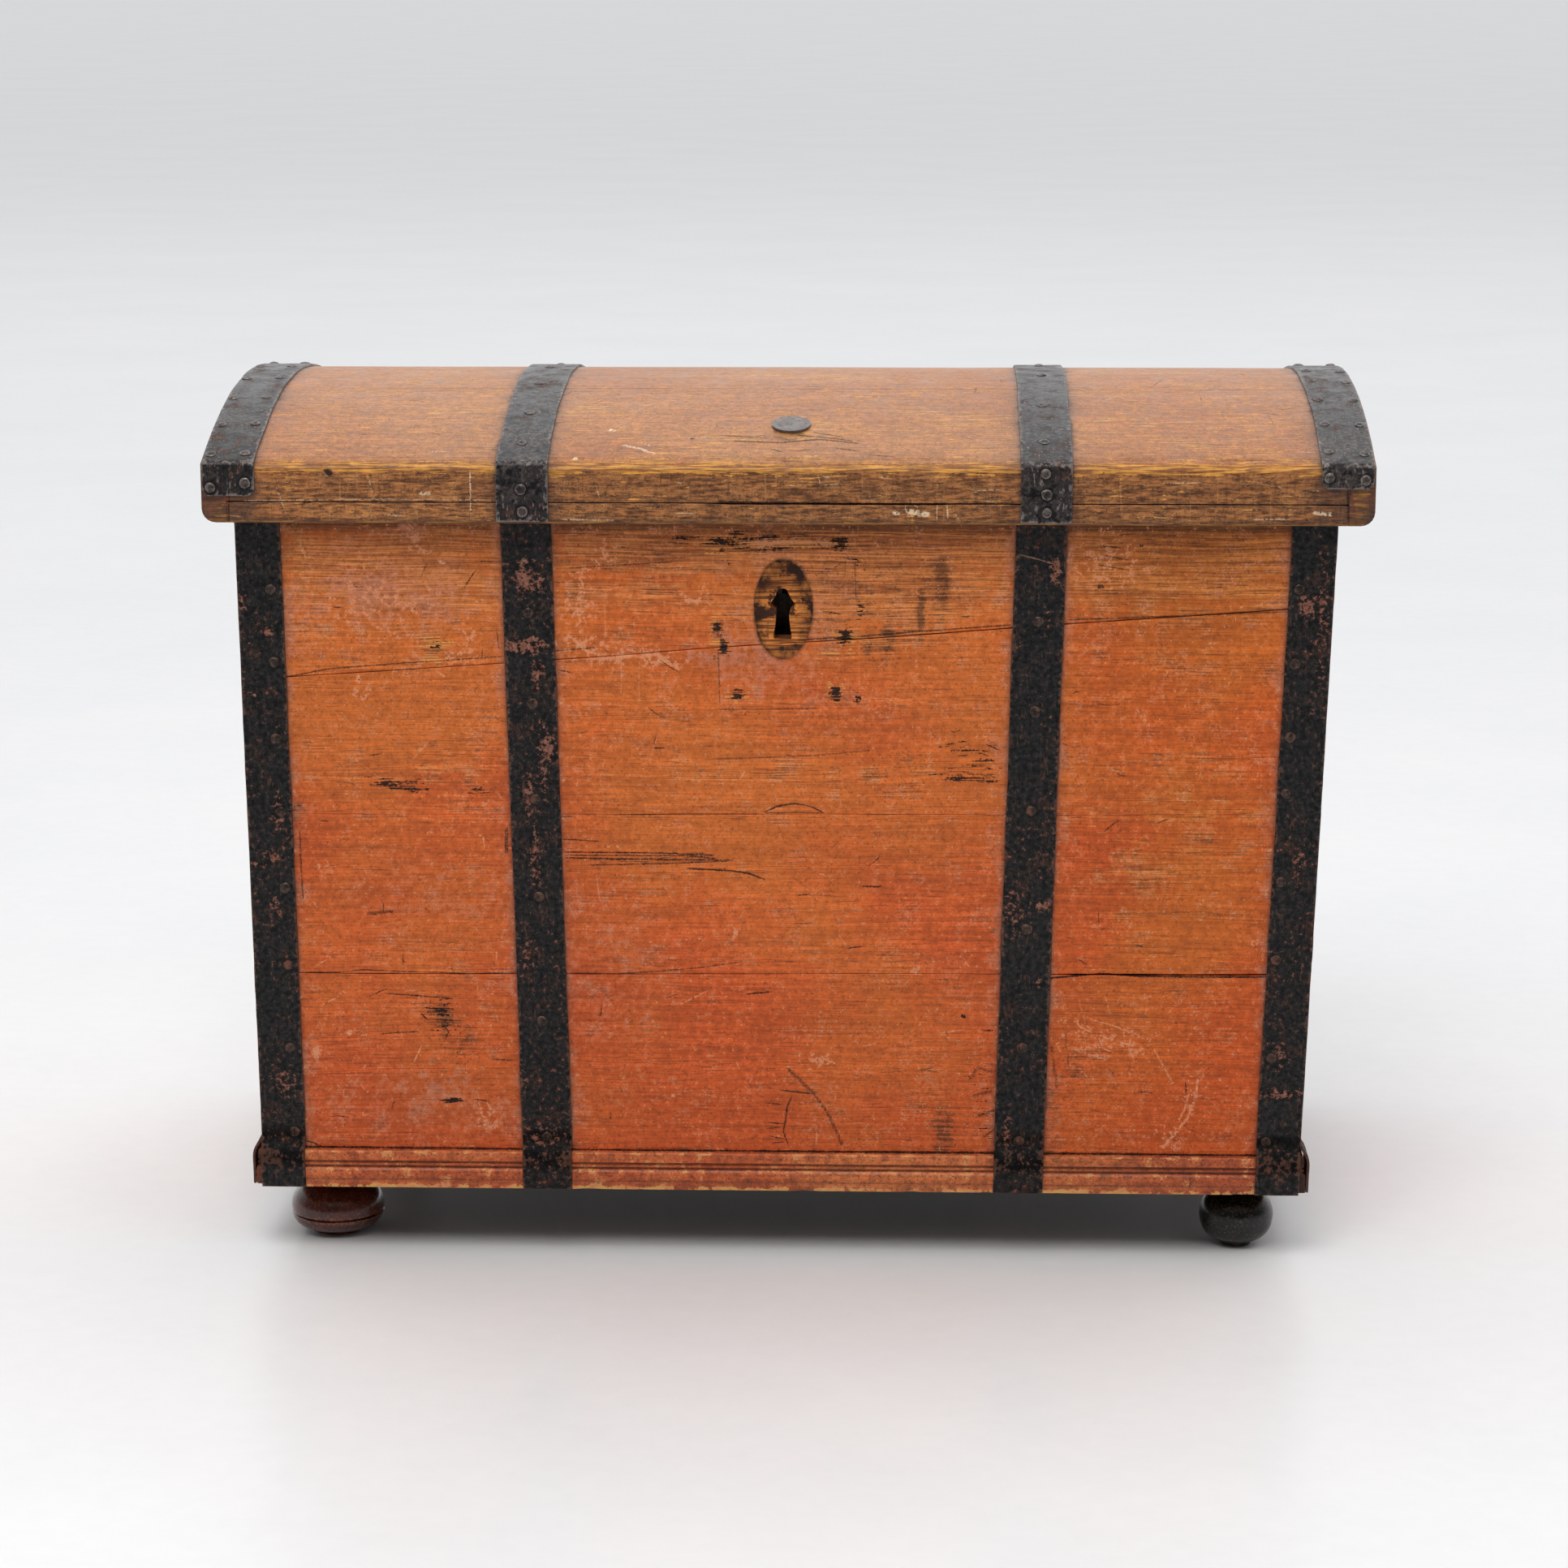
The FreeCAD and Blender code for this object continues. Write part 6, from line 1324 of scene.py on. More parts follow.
        # dark smudge round the iron disc, and darkening beside the straps: dirt and painted shade
        disc = np.sqrt((V[:, 0] - 10) ** 2 / 60**2 + (yl + 222) ** 2 / 26**2)
        attr(ob, "dirt", np.clip(0.75 * sstep(1.0, 0.2, disc) * (0.5 + nz) + 0.5 * np.exp(-np.maximum(sd, 0) / 3.0), 0, 1))
    elif nm.startswith("looks_base_moulding"):
        V = coords(ob)
        z = V[:, 2]
        nx = fbm(np.stack([V[:, 0] / 45, V[:, 1] / 45, 0 * z], -1), 3, 431)
        attr(ob, "edge", np.clip(sstep(66.4, 62.2, z) * (0.85 + 1.1 * nx) + 0.25 * np.exp(-(((z - 77.4) / 1.0) ** 2)) + 0.3 * np.exp(-(((z - 92.5) / 0.9) ** 2)), 0, 1))
        # dark lines in the grooves: painted shade and dirt
        g = np.exp(-(((z - 79.6) / 0.9) ** 2)) + np.exp(-(((z - 83.6) / 0.9) ** 2)) + 0.6 * np.exp(-(((z - 68.0) / 0.7) ** 2))
        if "front" not in nm:
            # the sawn front ends are dark with dirt
            g = g + 1.5 * sstep(-246.0, -247.6, V[:, 1])
        attr(ob, "dirt", np.clip(g, 0, 1))

# rubbed edges of the irons with painted highlights on the edges and bends, and how far each point is from a nail
NP = np.array(NAIL_POS)
for ob in list(PIECES):
    nm = ob.name
    if not nm.startswith(("looks_lid_strap", "looks_lid_end_strap", "looks_front_strap", "looks_corner_iron", "looks_back_hinge_strap")) or "nails" in nm:
        continue
    V = coords(ob)
    d = np.full(len(V), 30.0)
    for q in NP:
        near = np.where((np.abs(V - q) < 12).all(1))[0]
        d[near] = np.minimum(d[near], np.linalg.norm(V[near] - q, axis=1))
    attr(ob, "nail_d", d)
    if "lid" in nm:
        cx = 475.95 * np.sign(V[:, 0].mean()) if "end" in nm else (-224.7 if "left" in nm else 221.7)
        e = 22.2 - np.abs(V[:, 0] - cx)
        # painted highlight along the round bend over the arris
        bend_highlight = np.exp(-(((np.abs(V[:, 1] + 3.15) - 270.0) / 3.2) ** 2 + ((V[:, 2] - 710.6) / 3.0) ** 2)) * 0.4
        low = np.exp(-np.maximum(V[:, 2] - V[:, 2].min(), 0) / 1.0) * (V[:, 1] < 0)
    else:
        zc = V[:, 2]
        if "front_strap" in nm:
            c0 = np.array([strap_l(q) if "left" in nm else strap_r(q) for q in zc])
        elif "hinge" in nm:
            c0 = np.full(len(V), -224.7 if "left" in nm else 221.7)
        else:
            sx = -1 if "left" in nm else 1
            c0 = EDGE[sx](zc) - sx * 17.5
        e = 21.8 - np.abs(V[:, 0] - c0)
        if "corner" in nm:
            e = np.minimum(19.4 - np.abs(V[:, 0] - c0), 40.0)
            e = np.where((V[:, 1] > FRONT_Y - 0.9) & (V[:, 1] < BACK_Y + 0.9), 40.0, e)
        # painted highlight on the kick over the moulding
        bend_highlight = 0.5 * np.exp(-(((V[:, 2] - 90.0) / 14.0) ** 2)) * (V[:, 1] < FRONT_Y - 0.9)
        low = 0.0
    attr(ob, "rub", np.clip(np.exp(-np.maximum(e, 0) / 1.1) + bend_highlight + low, 0, 1))

# ---------------------------------------------------------------- materials


def C(r, g, b):
    """Colour from display values 0-255 to scene linear."""
    f = lambda v: ((v / 255 + 0.055) / 1.055) ** 2.4 if v > 10 else v / 255 / 12.92
    return (f(r), f(g), f(b), 1.0)


class Sh:
    def __init__(self, name):
        self.m = bpy.data.materials.new(name)
        self.m.use_nodes = True
        self.t = self.m.node_tree
        self.t.nodes.clear()
        self.o = self.t.nodes.new("ShaderNodeOutputMaterial")
        self.b = self.t.nodes.new("ShaderNodeBsdfPrincipled")
        self.t.links.new(self.b.outputs[0], self.o.inputs[0])
        tc = self.t.nodes.new("ShaderNodeTexCoord")
        self.P = tc.outputs["Object"]

    def put(self, sock, v):
        if isinstance(v, bpy.types.NodeSocket):
            self.t.links.new(v, sock)
        elif v is not None:
            sock.default_value = v

    def node(self, kind, ins, out=0, **props):
        n = self.t.nodes.new(kind)
        for k, v in props.items():
            setattr(n, k, v)
        for k, v in ins.items():
            self.put(n.inputs[k], v)
        return n.outputs[out]

    def math(self, op, a, b=None, c=None, clamp=False):
        return self.node("ShaderNodeMath", {0: a, 1: b, 2: c}, operation=op, use_clamp=clamp)

    def add(self, *v):
        r = v[0]
        for x in v[1:]:
            r = self.math("ADD", r, x)
        return r

    def mul(self, *v):
        r = v[0]
        for x in v[1:]:
            r = self.math("MULTIPLY", r, x)
        return r

    def mx(self, *v):
        r = v[0]
        for x in v[1:]:
            r = self.math("MAXIMUM", r, x)
        return r

    def step(self, v, a, b, c=0.0, d=1.0):
        return self.node("ShaderNodeMapRange", {0: v, 1: a, 2: b, 3: c, 4: d}, interpolation_type="SMOOTHSTEP")

    def lin(self, v, a, b, c=0.0, d=1.0):
        return self.node("ShaderNodeMapRange", {0: v, 1: a, 2: b, 3: c, 4: d})

    def mix(self, f, a, b):
        n = self.t.nodes.new("ShaderNodeMix")
        n.data_type = "RGBA"
        self.put(n.inputs[0], f)
        self.put(n.inputs[6], a)
        self.put(n.inputs[7], b)
        return n.outputs[2]

    def dim(self, col, f):
        return self.node("ShaderNodeVectorMath", {0: col, 3: f}, operation="SCALE")

    def vmul(self, v, k):
        return self.node("ShaderNodeVectorMath", {0: v, 1: k}, operation="MULTIPLY")

    def vadd(self, a, b):
        return self.node("ShaderNodeVectorMath", {0: a, 1: b}, operation="ADD")

    def noise(self, v, scale, detail=2.0, rough=0.5, out=0, w=None):
        return self.node("ShaderNodeTexNoise", {"Vector": v, "Scale": scale, "Detail": detail, "Roughness": rough}, out)

    def cells(self, v, scale, out="Distance", **kw):
        return self.node("ShaderNodeTexVoronoi", {"Vector": v, "Scale": scale}, out, **kw)

    def at(self, name, out="Fac"):
        n = self.t.nodes.new("ShaderNodeAttribute")
        n.attribute_name = name
        return n.outputs[out]

    def xyz(self, v):
        n = self.t.nodes.new("ShaderNodeSeparateXYZ")
        self.put(n.inputs[0], v)
        return n.outputs

    def warp(self, v, scale, amount):
        """Moves a coordinate by a little noise."""
        n = self.noise(v, scale, 2.0, 0.5, 1)
        n = self.vadd(n, (-0.5, -0.5, -0.5))
        return self.vadd(v, self.vmul(n, amount))

    def pointy(self):
        n = self.t.nodes.new("ShaderNodeNewGeometry")
        return n.outputs["Pointiness"]

    def done(self, col, rough, height, distance=0.0006, strength=0.7, spec=0.4, metal=0.0, coat=0.0):
        self.put(self.b.inputs["Base Color"], col)
        self.put(self.b.inputs["Roughness"], rough)
        self.put(self.b.inputs["Metallic"], metal)
        self.put(self.b.inputs["Specular IOR Level"], spec)
        if coat:
            self.put(self.b.inputs["Coat Weight"], coat)
            self.put(self.b.inputs["Coat Roughness"], 0.25)
        n = self.node("ShaderNodeBump", {"Height": height, "Distance": distance, "Strength": strength})
        self.put(self.b.inputs["Normal"], n)
        return self.m


def marks(s, col, dark, light, edge_noise, broken, soft=0.8):
    """Lays the cracks, stains and scratches over a colour; returns colour, dark and light masks."""
    D = L = None
    for ch in "abcd":
        v = s.xyz(s.at("mark_" + ch, "Vector"))
        d = s.math("ABSOLUTE", v[0])
        d = s.add(d, s.mul(edge_noise, 1.1))
        w = s.math("SUBTRACT", v[1], d)
        m = s.step(w, -0.42, 0.28)
        dk = s.mul(m, s.math("MAXIMUM", s.mul(v[2], -1.0), 0.0))
        lt = s.mul(m, s.math("MAXIMUM", v[2], 0.0))
        D = dk if D is None else s.mx(D, dk)
        L = lt if L is None else s.mx(L, lt)
    L = s.mul(L, s.step(broken, 0.72, 0.42), soft)
    D = s.mul(D, s.lin(broken, 0.22, 0.5, 0.5, 1.0))
    col = s.mix(L, col, light)
    col = s.mix(D, col, dark)
    return col, D, L


def wood_fields(s, grain, bands, warp=(0.0, 0.0, 0.012)):
    Pw = s.warp(s.P, 4.0, warp)
    f = {}

    def wide(n, k):
        """Spreads a noise field out to the full range."""
        return s.math("MULTIPLY_ADD", n, k, 0.5 - 0.5 * k)

    f["g"] = wide(s.noise(s.vmul(Pw, grain), 1.0, 3.0, 0.6), 1.9)
    f["b"] = wide(s.noise(s.vmul(Pw, bands), 1.0, 2.0, 0.5), 1.8)
    f["L"] = wide(s.noise(s.P, 5.0, 3.0, 0.55), 1.8)
    f["m"] = wide(s.noise(s.P, 55.0, 5.0, 0.68), 1.9)
    f["s"] = wide(s.noise(s.P, 420.0, 2.0, 0.6), 1.45)
    f["t"] = wide(s.noise(s.P, 1150.0, 1.0, 0.5), 1.3)
    return f


def bare_wood(s, f, light, dark):
    c = s.mix(s.mul(s.step(f["g"], 0.3, 0.8), 0.8), light, dark)
    c = s.mix(s.mul(s.step(f["L"], 0.35, 0.75), 0.3), c, s.dim(dark[:3], 1.15))
    c = s.dim(c, s.lin(f["b"], 0.25, 0.75, 0.8, 1.14))
    return s.dim(c, s.lin(f["m"], 0.3, 0.7, 0.9, 1.08))


def wall(name, top, low, worn_l, worn_d, pale_c, thin=0.0):
    s = Sh(name)
    f = wood_fields(s, (15, 15, 640), (2.4, 2.4, 90))
    m2 = s.math("MULTIPLY_ADD", s.noise(s.P, 150.0, 4.0, 0.66), 1.9, -0.45)
    z = s.xyz(s.P)[2]
    t = s.add(s.lin(z, 0.12, 0.60), s.mul(s.lin(f["L"], 0.25, 0.75, -0.5, 0.5), 0.8))
    paint = s.mix(s.step(t, 0.0, 1.0), low, top)
    worn = s.at("worn")
    wf = s.step(s.add(s.mul(worn, 1.25), s.lin(f["m"], 0.3, 0.7, -0.3, 0.3), s.lin(f["b"], 0.3, 0.7, -0.2, 0.2)), 0.25, 1.0)
    wf = s.mx(wf, thin)
    wc = s.mix(s.step(f["g"], 0.2, 0.82), worn_l, worn_d)
    c = s.mix(s.mul(wf, 0.62), paint, wc)
    # grain and mottle show through the thin paint
    gk = s.lin(f["g"], 0.25, 0.75, 1.14, 0.74)
    c = s.mix(s.add(0.5, s.mul(wf, 0.25)), c, s.dim(c, gk))
    st = s.math("MULTIPLY_ADD", s.noise(s.vmul(s.warp(s.P, 4.0, (0.0, 0.0, 0.012)), (6.5, 6.5, 250)), 1.0, 2.0, 0.6), 1.9, -0.45)
    c = s.dim(c, s.lin(st, 0.25, 0.75, 0.9, 1.1))
    c = s.mix(s.mul(s.step(st, 0.72, 0.9), s.add(0.22, s.mul(wf, 0.3))), c, C(104, 60, 34))
    c = s.dim(c, s.lin(f["b"], 0.25, 0.75, 0.955, 1.05))
    c = s.dim(c, s.lin(f["m"], 0.3, 0.7, 0.88, 1.12))
    c = s.dim(c, s.lin(m2, 0.3, 0.7, 0.87, 1.12))
    c = s.mix(s.mul(s.step(m2, 0.60, 0.84), s.step(f["L"], 0.3, 0.75), 0.42), c, C(98, 54, 32))
    # lighter and darker patches of the colour, and the painted shadow under the lid's lip
    c = s.dim(c, s.add(1.0, s.at("shade")))
    c = s.vmul(c, s.node("ShaderNodeCombineXYZ", {0: 1.0, 1: s.step(s.xyz(s.P)[0], 0.12, 0.36, 1.0, 0.96), 2: s.step(s.xyz(s.P)[0], 0.12, 0.36, 1.0, 0.72)}))
    # open pores: short dark hairlines along the grain
    po = s.noise(s.vmul(s.P, (38, 38, 820)), 1.0, 1.0, 0.5)
    pm = s.mul(s.step(po, 0.60, 0.67), s.lin(f["b"], 0.3, 0.7, 0.25, 1.0))
    c = s.mix(s.mul(pm, s.add(0.42, s.mul(wf, 0.25))), c, C(78, 42, 26))
    # rubbed pinkish film
    pale = s.at("pale")
    pf = s.mul(s.step(s.add(pale, s.lin(f["m"], 0.3, 0.7, -0.35, 0.35), s.lin(m2, 0.3, 0.7, -0.2, 0.2)), 0.1, 1.05), 0.8)
    c = s.mix(pf, c, s.dim(pale_c[:3], s.lin(m2, 0.3, 0.7, 0.9, 1.08)))
    # bright nicks down to the first coat
    nk = s.noise(s.vmul(s.P, (200, 200, 480)), 1.0, 2.0, 0.6)
    c = s.mix(s.mul(s.step(nk, 0.66, 0.71), s.step(f["L"], 0.35, 0.7), 0.6), c, C(230, 138, 70))
    # specks everywhere, heavier where the dirt and the painted shade lie
    dirt = s.at("dirt")
    sp = s.step(f["s"], 0.60, 0.72)
    sp2 = s.mul(s.step(f["t"], 0.62, 0.72), s.step(f["m"], 0.42, 0.6))
    c = s.mix(s.mul(s.mx(sp, sp2), s.add(0.34, s.mul(dirt, 0.5))), c, C(60, 33, 24))
    ps = s.mul(s.step(f["s"], 0.36, 0.27), s.step(f["m"], 0.5, 0.66))
    c = s.mix(s.mul(ps, 0.5), c, C(226, 160, 118))
    # stains, and painted shade in the crease above the moulding and under the lid
    df = s.mul(s.step(s.add(dirt, s.lin(f["m"], 0.3, 0.7, -0.4, 0.4), s.lin(f["g"], 0.3, 0.7, -0.2, 0.2)), 0.2, 1.1), 0.8)
    c = s.mix(df, c, s.mix(s.step(f["g"], 0.3, 0.7), C(112, 66, 30), C(62, 36, 20)))
    # painted shadow: a dark line along the edges of the irons
    edge_shadow = s.at("grime")
    c = s.mix(s.mul(edge_shadow, 0.55), c, C(70, 44, 38))
    en = s.lin(f["t"], 0.2, 0.8, -0.5, 0.5)
    c, D, L = marks(s, c, C(40, 22, 15), C(236, 172, 126), en, f["s"], 0.95)
    # flaked patches: pink ground, and ochre wood around holes and chips
    fp = s.step(s.add(s.at("fleck"), s.lin(m2, 0.3, 0.7, -0.5, 0.5), s.lin(f["s"], 0.3, 0.7, -0.3, 0.3)), 0.62, 0.69)
    c = s.mix(s.mul(fp, 0.8), c, C(222, 148, 108))
    fo = s.step(s.add(s.at("flake"), s.lin(m2, 0.3, 0.7, -0.34, 0.34), s.lin(f["s"], 0.3, 0.7, -0.18, 0.18)), 0.46, 0.54)
    c = s.mix(s.mul(fo, 0.9), c, s.mix(s.step(f["g"], 0.3, 0.7), C(230, 150, 76), C(132, 70, 36)))
    gn = s.noise(s.vmul(s.P, (36, 36, 500)), 1.0, 3.0, 0.62)
    gd = s.step(s.add(s.at("gouge"), s.lin(gn, 0.3, 0.7, -0.5, 0.5), s.lin(f["s"], 0.3, 0.7, -0.15, 0.15)), 0.58, 0.68)
    c = s.mix(s.mul(gd, 0.9), c, C(46, 26, 17))
    D = s.mx(D, gd)
    c = s.mix(s.mul(D, 0.85), c, C(36, 20, 14))
    bw = bare_wood(s, f, C(176, 122, 72), C(96, 58, 32))
    bare = s.at("bare")
    c = s.mix(bare, c, bw)
    # scraped bed of the oval recess
    ov = s.mix(s.step(f["g"], 0.34, 0.74), C(226, 140, 64), C(112, 58, 28))
    ov = s.mix(s.step(f["m"], 0.56, 0.74), ov, C(66, 36, 24))
    c = s.mix(s.at("oval"), c, s.dim(ov, s.lin(m2, 0.3, 0.7, 0.86, 1.16)))
    rim = s.at("rim")
    c = s.mix(s.mul(rim, s.lin(f["m"], 0.3, 0.7, 0.35, 1.0)), c, C(46, 26, 18))
    h = s.add(s.mul(f["g"], s.add(0.12, s.mul(wf, 0.25))), s.mul(f["m"], 0.3), s.mul(m2, 0.16), s.mul(f["s"], 0.1), s.mul(D, -1.4), s.mul(L, -0.25), s.mul(pm, -0.2))
    r = s.add(s.lin(f["m"], 0.3, 0.7, 0.40, 0.54), s.mul(wf, 0.08), s.mul(s.mx(D, bare), 0.25))
    return s.done(c, r, h, 0.0007, 0.55, 0.26)


def lid_paint(name):
    s = Sh(name)
    f = wood_fields(s, (14, 640, 640), (2.4, 80, 80), (0.0, 0.012, 0.012))
    m2 = s.math("MULTIPLY_ADD", s.noise(s.P, 150.0, 4.0, 0.66), 1.9, -0.45)
    # dusty pink-brown top
    c = s.mix(s.step(f["L"], 0.3, 0.72), C(168, 103, 54), C(174, 115, 68))
    c = s.dim(c, s.lin(f["b"], 0.25, 0.75, 0.93, 1.06))
    c = s.mix(0.75, c, s.dim(c, s.lin(f["g"], 0.3, 0.7, 1.14, 0.76)))
    fl = s.noise(s.vmul(s.P, (30, 380, 380)), 1.0, 2.0, 0.6)
    cl = s.noise(s.vmul(s.P, (4.5, 16, 16)), 1.0, 3.0, 0.6)
    ff = s.mul(s.step(fl, 0.55, 0.62), s.step(cl, 0.52, 0.63))
    c = s.mix(s.mul(ff, 0.85), c, C(206, 148, 54))
    fd = s.mul(s.step(fl, 0.42, 0.34), s.step(cl, 0.56, 0.44))
    c = s.mix(s.mul(fd, 0.5), c, C(104, 62, 42))
    c = s.dim(c, s.lin(f["m"], 0.3, 0.7, 0.92, 1.07))
    c = s.dim(c, s.lin(m2, 0.3, 0.7, 0.83, 1.15))
    # brown speckled rail
    rail = s.at("rail")
    r2 = s.math("MULTIPLY_ADD", s.noise(s.vmul(s.P, (70, 460, 460)), 1.0, 4.0, 0.7), 2.1, -0.55)
    k = s.step(s.add(s.mul(r2, 0.6), s.mul(m2, 0.2), s.mul(f["m"], 0.12), s.mul(f["g"], 0.12)), 0.28, 0.8)
    rc = s.mix(k, C(80, 46, 25), C(182, 118, 66))
    rc = s.mix(s.mul(s.at("ends"), 0.6), rc, s.mix(k, C(84, 44, 28), C(136, 76, 46)))
    dr = s.noise(s.vmul(s.P, (330, 40, 14)), 1.0, 3.0, 0.6)
    rc = s.mix(s.mul(s.step(dr, 0.60, 0.72), 0.35), rc, C(190, 140, 90))
    rc = s.mix(s.mul(s.step(dr, 0.40, 0.30), 0.35), rc, C(66, 44, 30))
    rc = s.mix(s.mul(s.at("seam"), 0.8), rc, C(176, 84, 44))
    c = s.mix(rail, c, s.dim(rc, s.add(1.0, s.at("shade"))))
    pf = s.mul(s.step(s.add(s.at("pale"), s.lin(f["m"], 0.3, 0.7, -0.35, 0.35)), 0.1, 1.05), s.lin(rail, 0.0, 1.0, 0.6, 0.15))
    c = s.mix(pf, c, C(176, 140, 122))
    sp = s.step(f["s"], 0.59, 0.70)
    c = s.mix(s.mul(sp, s.lin(rail, 0.0, 1.0, 0.4, 0.55)), c, C(60, 40, 28))
    ps = s.mul(s.step(f["t"], 0.36, 0.27), s.step(f["m"], 0.46, 0.62))
    c = s.mix(s.mul(ps, 0.5), c, C(222, 176, 128))
    # ochre ground laid bare along the arris and the lower edge
    fb = s.noise(s.vmul(s.P, (34, 560, 560)), 1.0, 3.0, 0.62)
    ef = s.step(s.add(s.at("edge"), s.lin(fb, 0.3, 0.7, -0.5, 0.5), s.lin(f["m"], 0.3, 0.7, -0.24, 0.24), s.lin(dr, 0.3, 0.7, -0.12, 0.12)), 0.42, 0.54)
    ec = s.mix(s.step(fb, 0.62, 0.40), C(226, 158, 62), C(128, 74, 30))
    c = s.mix(s.mul(ef, 0.85), c, s.dim(ec, s.lin(m2, 0.3, 0.7, 0.86, 1.1)))
    # dark smudge round the disc, and painted shade with dirt beside the straps
    df = s.mul(s.step(s.add(s.at("dirt"), s.lin(f["m"], 0.3, 0.7, -0.45, 0.45), s.lin(fl, 0.3, 0.7, -0.25, 0.25)), 0.3, 1.0), 0.75)
    c = s.mix(df, c, C(66, 48, 40))
    # painted shade on the lip's lower edge and along the straps, and grime beside them
    c = s.mix(s.mul(s.at("grime"), 0.55), c, C(62, 42, 36))
    en = s.lin(f["t"], 0.2, 0.8, -0.5, 0.5)
    c, D, L = marks(s, c, C(34, 24, 18), C(232, 204, 170), en, f["s"], 0.9)
    bare = s.at("bare")
    c = s.mix(bare, c, bare_wood(s, f, C(170, 120, 74), C(102, 64, 38)))
    h = s.add(s.mul(f["g"], 0.3), s.mul(f["m"], 0.4), s.mul(m2, 0.15), s.mul(f["s"], 0.14), s.mul(D, -1.4), s.mul(ef, -0.3))
    r = s.add(s.lin(f["m"], 0.3, 0.7, 0.36, 0.5), s.mul(s.mx(D, bare), 0.25), s.mul(rail, 0.06))
    return s.done(c, r, h, 0.0007, 0.6, 0.3)


def moulding(name):
    s = Sh(name)
    f = wood_fields(s, (14, 14, 640), (2.4, 2.4, 90))
    m2 = s.math("MULTIPLY_ADD", s.noise(s.P, 150.0, 4.0, 0.66), 1.9, -0.45)
    c = s.mix(s.step(f["L"], 0.3, 0.7), C(188, 85, 41), C(204, 112, 60))
    # redder and darker towards the right end
    c = s.mix(s.step(s.xyz(s.P)[0], 0.16, 0.40, 0.0, 0.7), c, C(164, 66, 34))
    c = s.dim(c, s.lin(f["m"], 0.3, 0.7, 0.78, 1.18))
    c = s.dim(c, s.lin(m2, 0.3, 0.7, 0.74, 1.22))
    c = s.mix(0.5, c, s.dim(c, s.lin(f["g"], 0.3, 0.7, 1.12, 0.74)))
    sp = s.step(f["s"], 0.58, 0.70)
    c = s.mix(s.mul(sp, 0.55), c, C(56, 30, 22))
    ps = s.mul(s.step(f["s"], 0.38, 0.28), s.step(f["m"], 0.45, 0.62))
    c = s.mix(s.mul(ps, 0.5), c, C(222, 150, 98))
    # dark grooves and sawn ends: painted shade and dirt in the grooves, dirt on the ends
    df = s.mul(s.at("dirt"), s.lin(f["m"], 0.3, 0.7, 0.6, 1.0))
    c = s.mix(df, c, C(44, 24, 17))
    ef = s.step(s.add(s.at("edge"), s.lin(f["m"], 0.3, 0.7, -0.5, 0.5), s.lin(m2, 0.3, 0.7, -0.2, 0.2), s.lin(f["s"], 0.3, 0.7, -0.15, 0.15)), 0.45, 0.62)
    c = s.mix(s.mul(s.step(s.add(s.mul(m2, 0.5), s.mul(f["m"], 0.5)), 0.60, 0.67), 0.55), c, C(64, 34, 24))
    ef = s.mul(ef, s.math("SUBTRACT", 1.0, s.at("dirt")))
    c = s.mix(s.mul(ef, 0.85), c, s.mix(s.step(m2, 0.4, 0.62), C(222, 170, 92), C(218, 146, 92)))
    h = s.add(s.mul(f["g"], 0.25), s.mul(f["m"], 0.4), s.mul(m2, 0.15), s.mul(f["s"], 0.12), s.mul(ef, -0.35))
    return s.done(c, s.lin(f["m"], 0.3, 0.7, 0.38, 0.55), h, 0.0006, 0.6, 0.4)


def plain_wood(name, light, dark, grain, bands, warp):
    s = Sh(name)
    f = wood_fields(s, grain, bands, warp)
    c = bare_wood(s, f, light, dark)
    c = s.mix(s.mul(s.step(f["s"], 0.6, 0.72), 0.35), c, C(58, 40, 28))
    # painted shade: the underside of the bottom boards is darkened nearly to black
    under = s.step(s.xyz(s.P)[2], 0.066, 0.0615)
    c = s.mix(s.mul(under, 0.93), c, s.dim(C(44, 32, 25)[:3], s.lin(f["m"], 0.3, 0.7, 0.7, 1.2)))
    h = s.add(s.mul(f["g"], 0.4), s.mul(f["m"], 0.3), s.mul(f["s"], 0.1))
    return s.done(c, s.lin(f["m"], 0.3, 0.7, 0.58, 0.75), h, 0.0006, 0.6, 0.3)


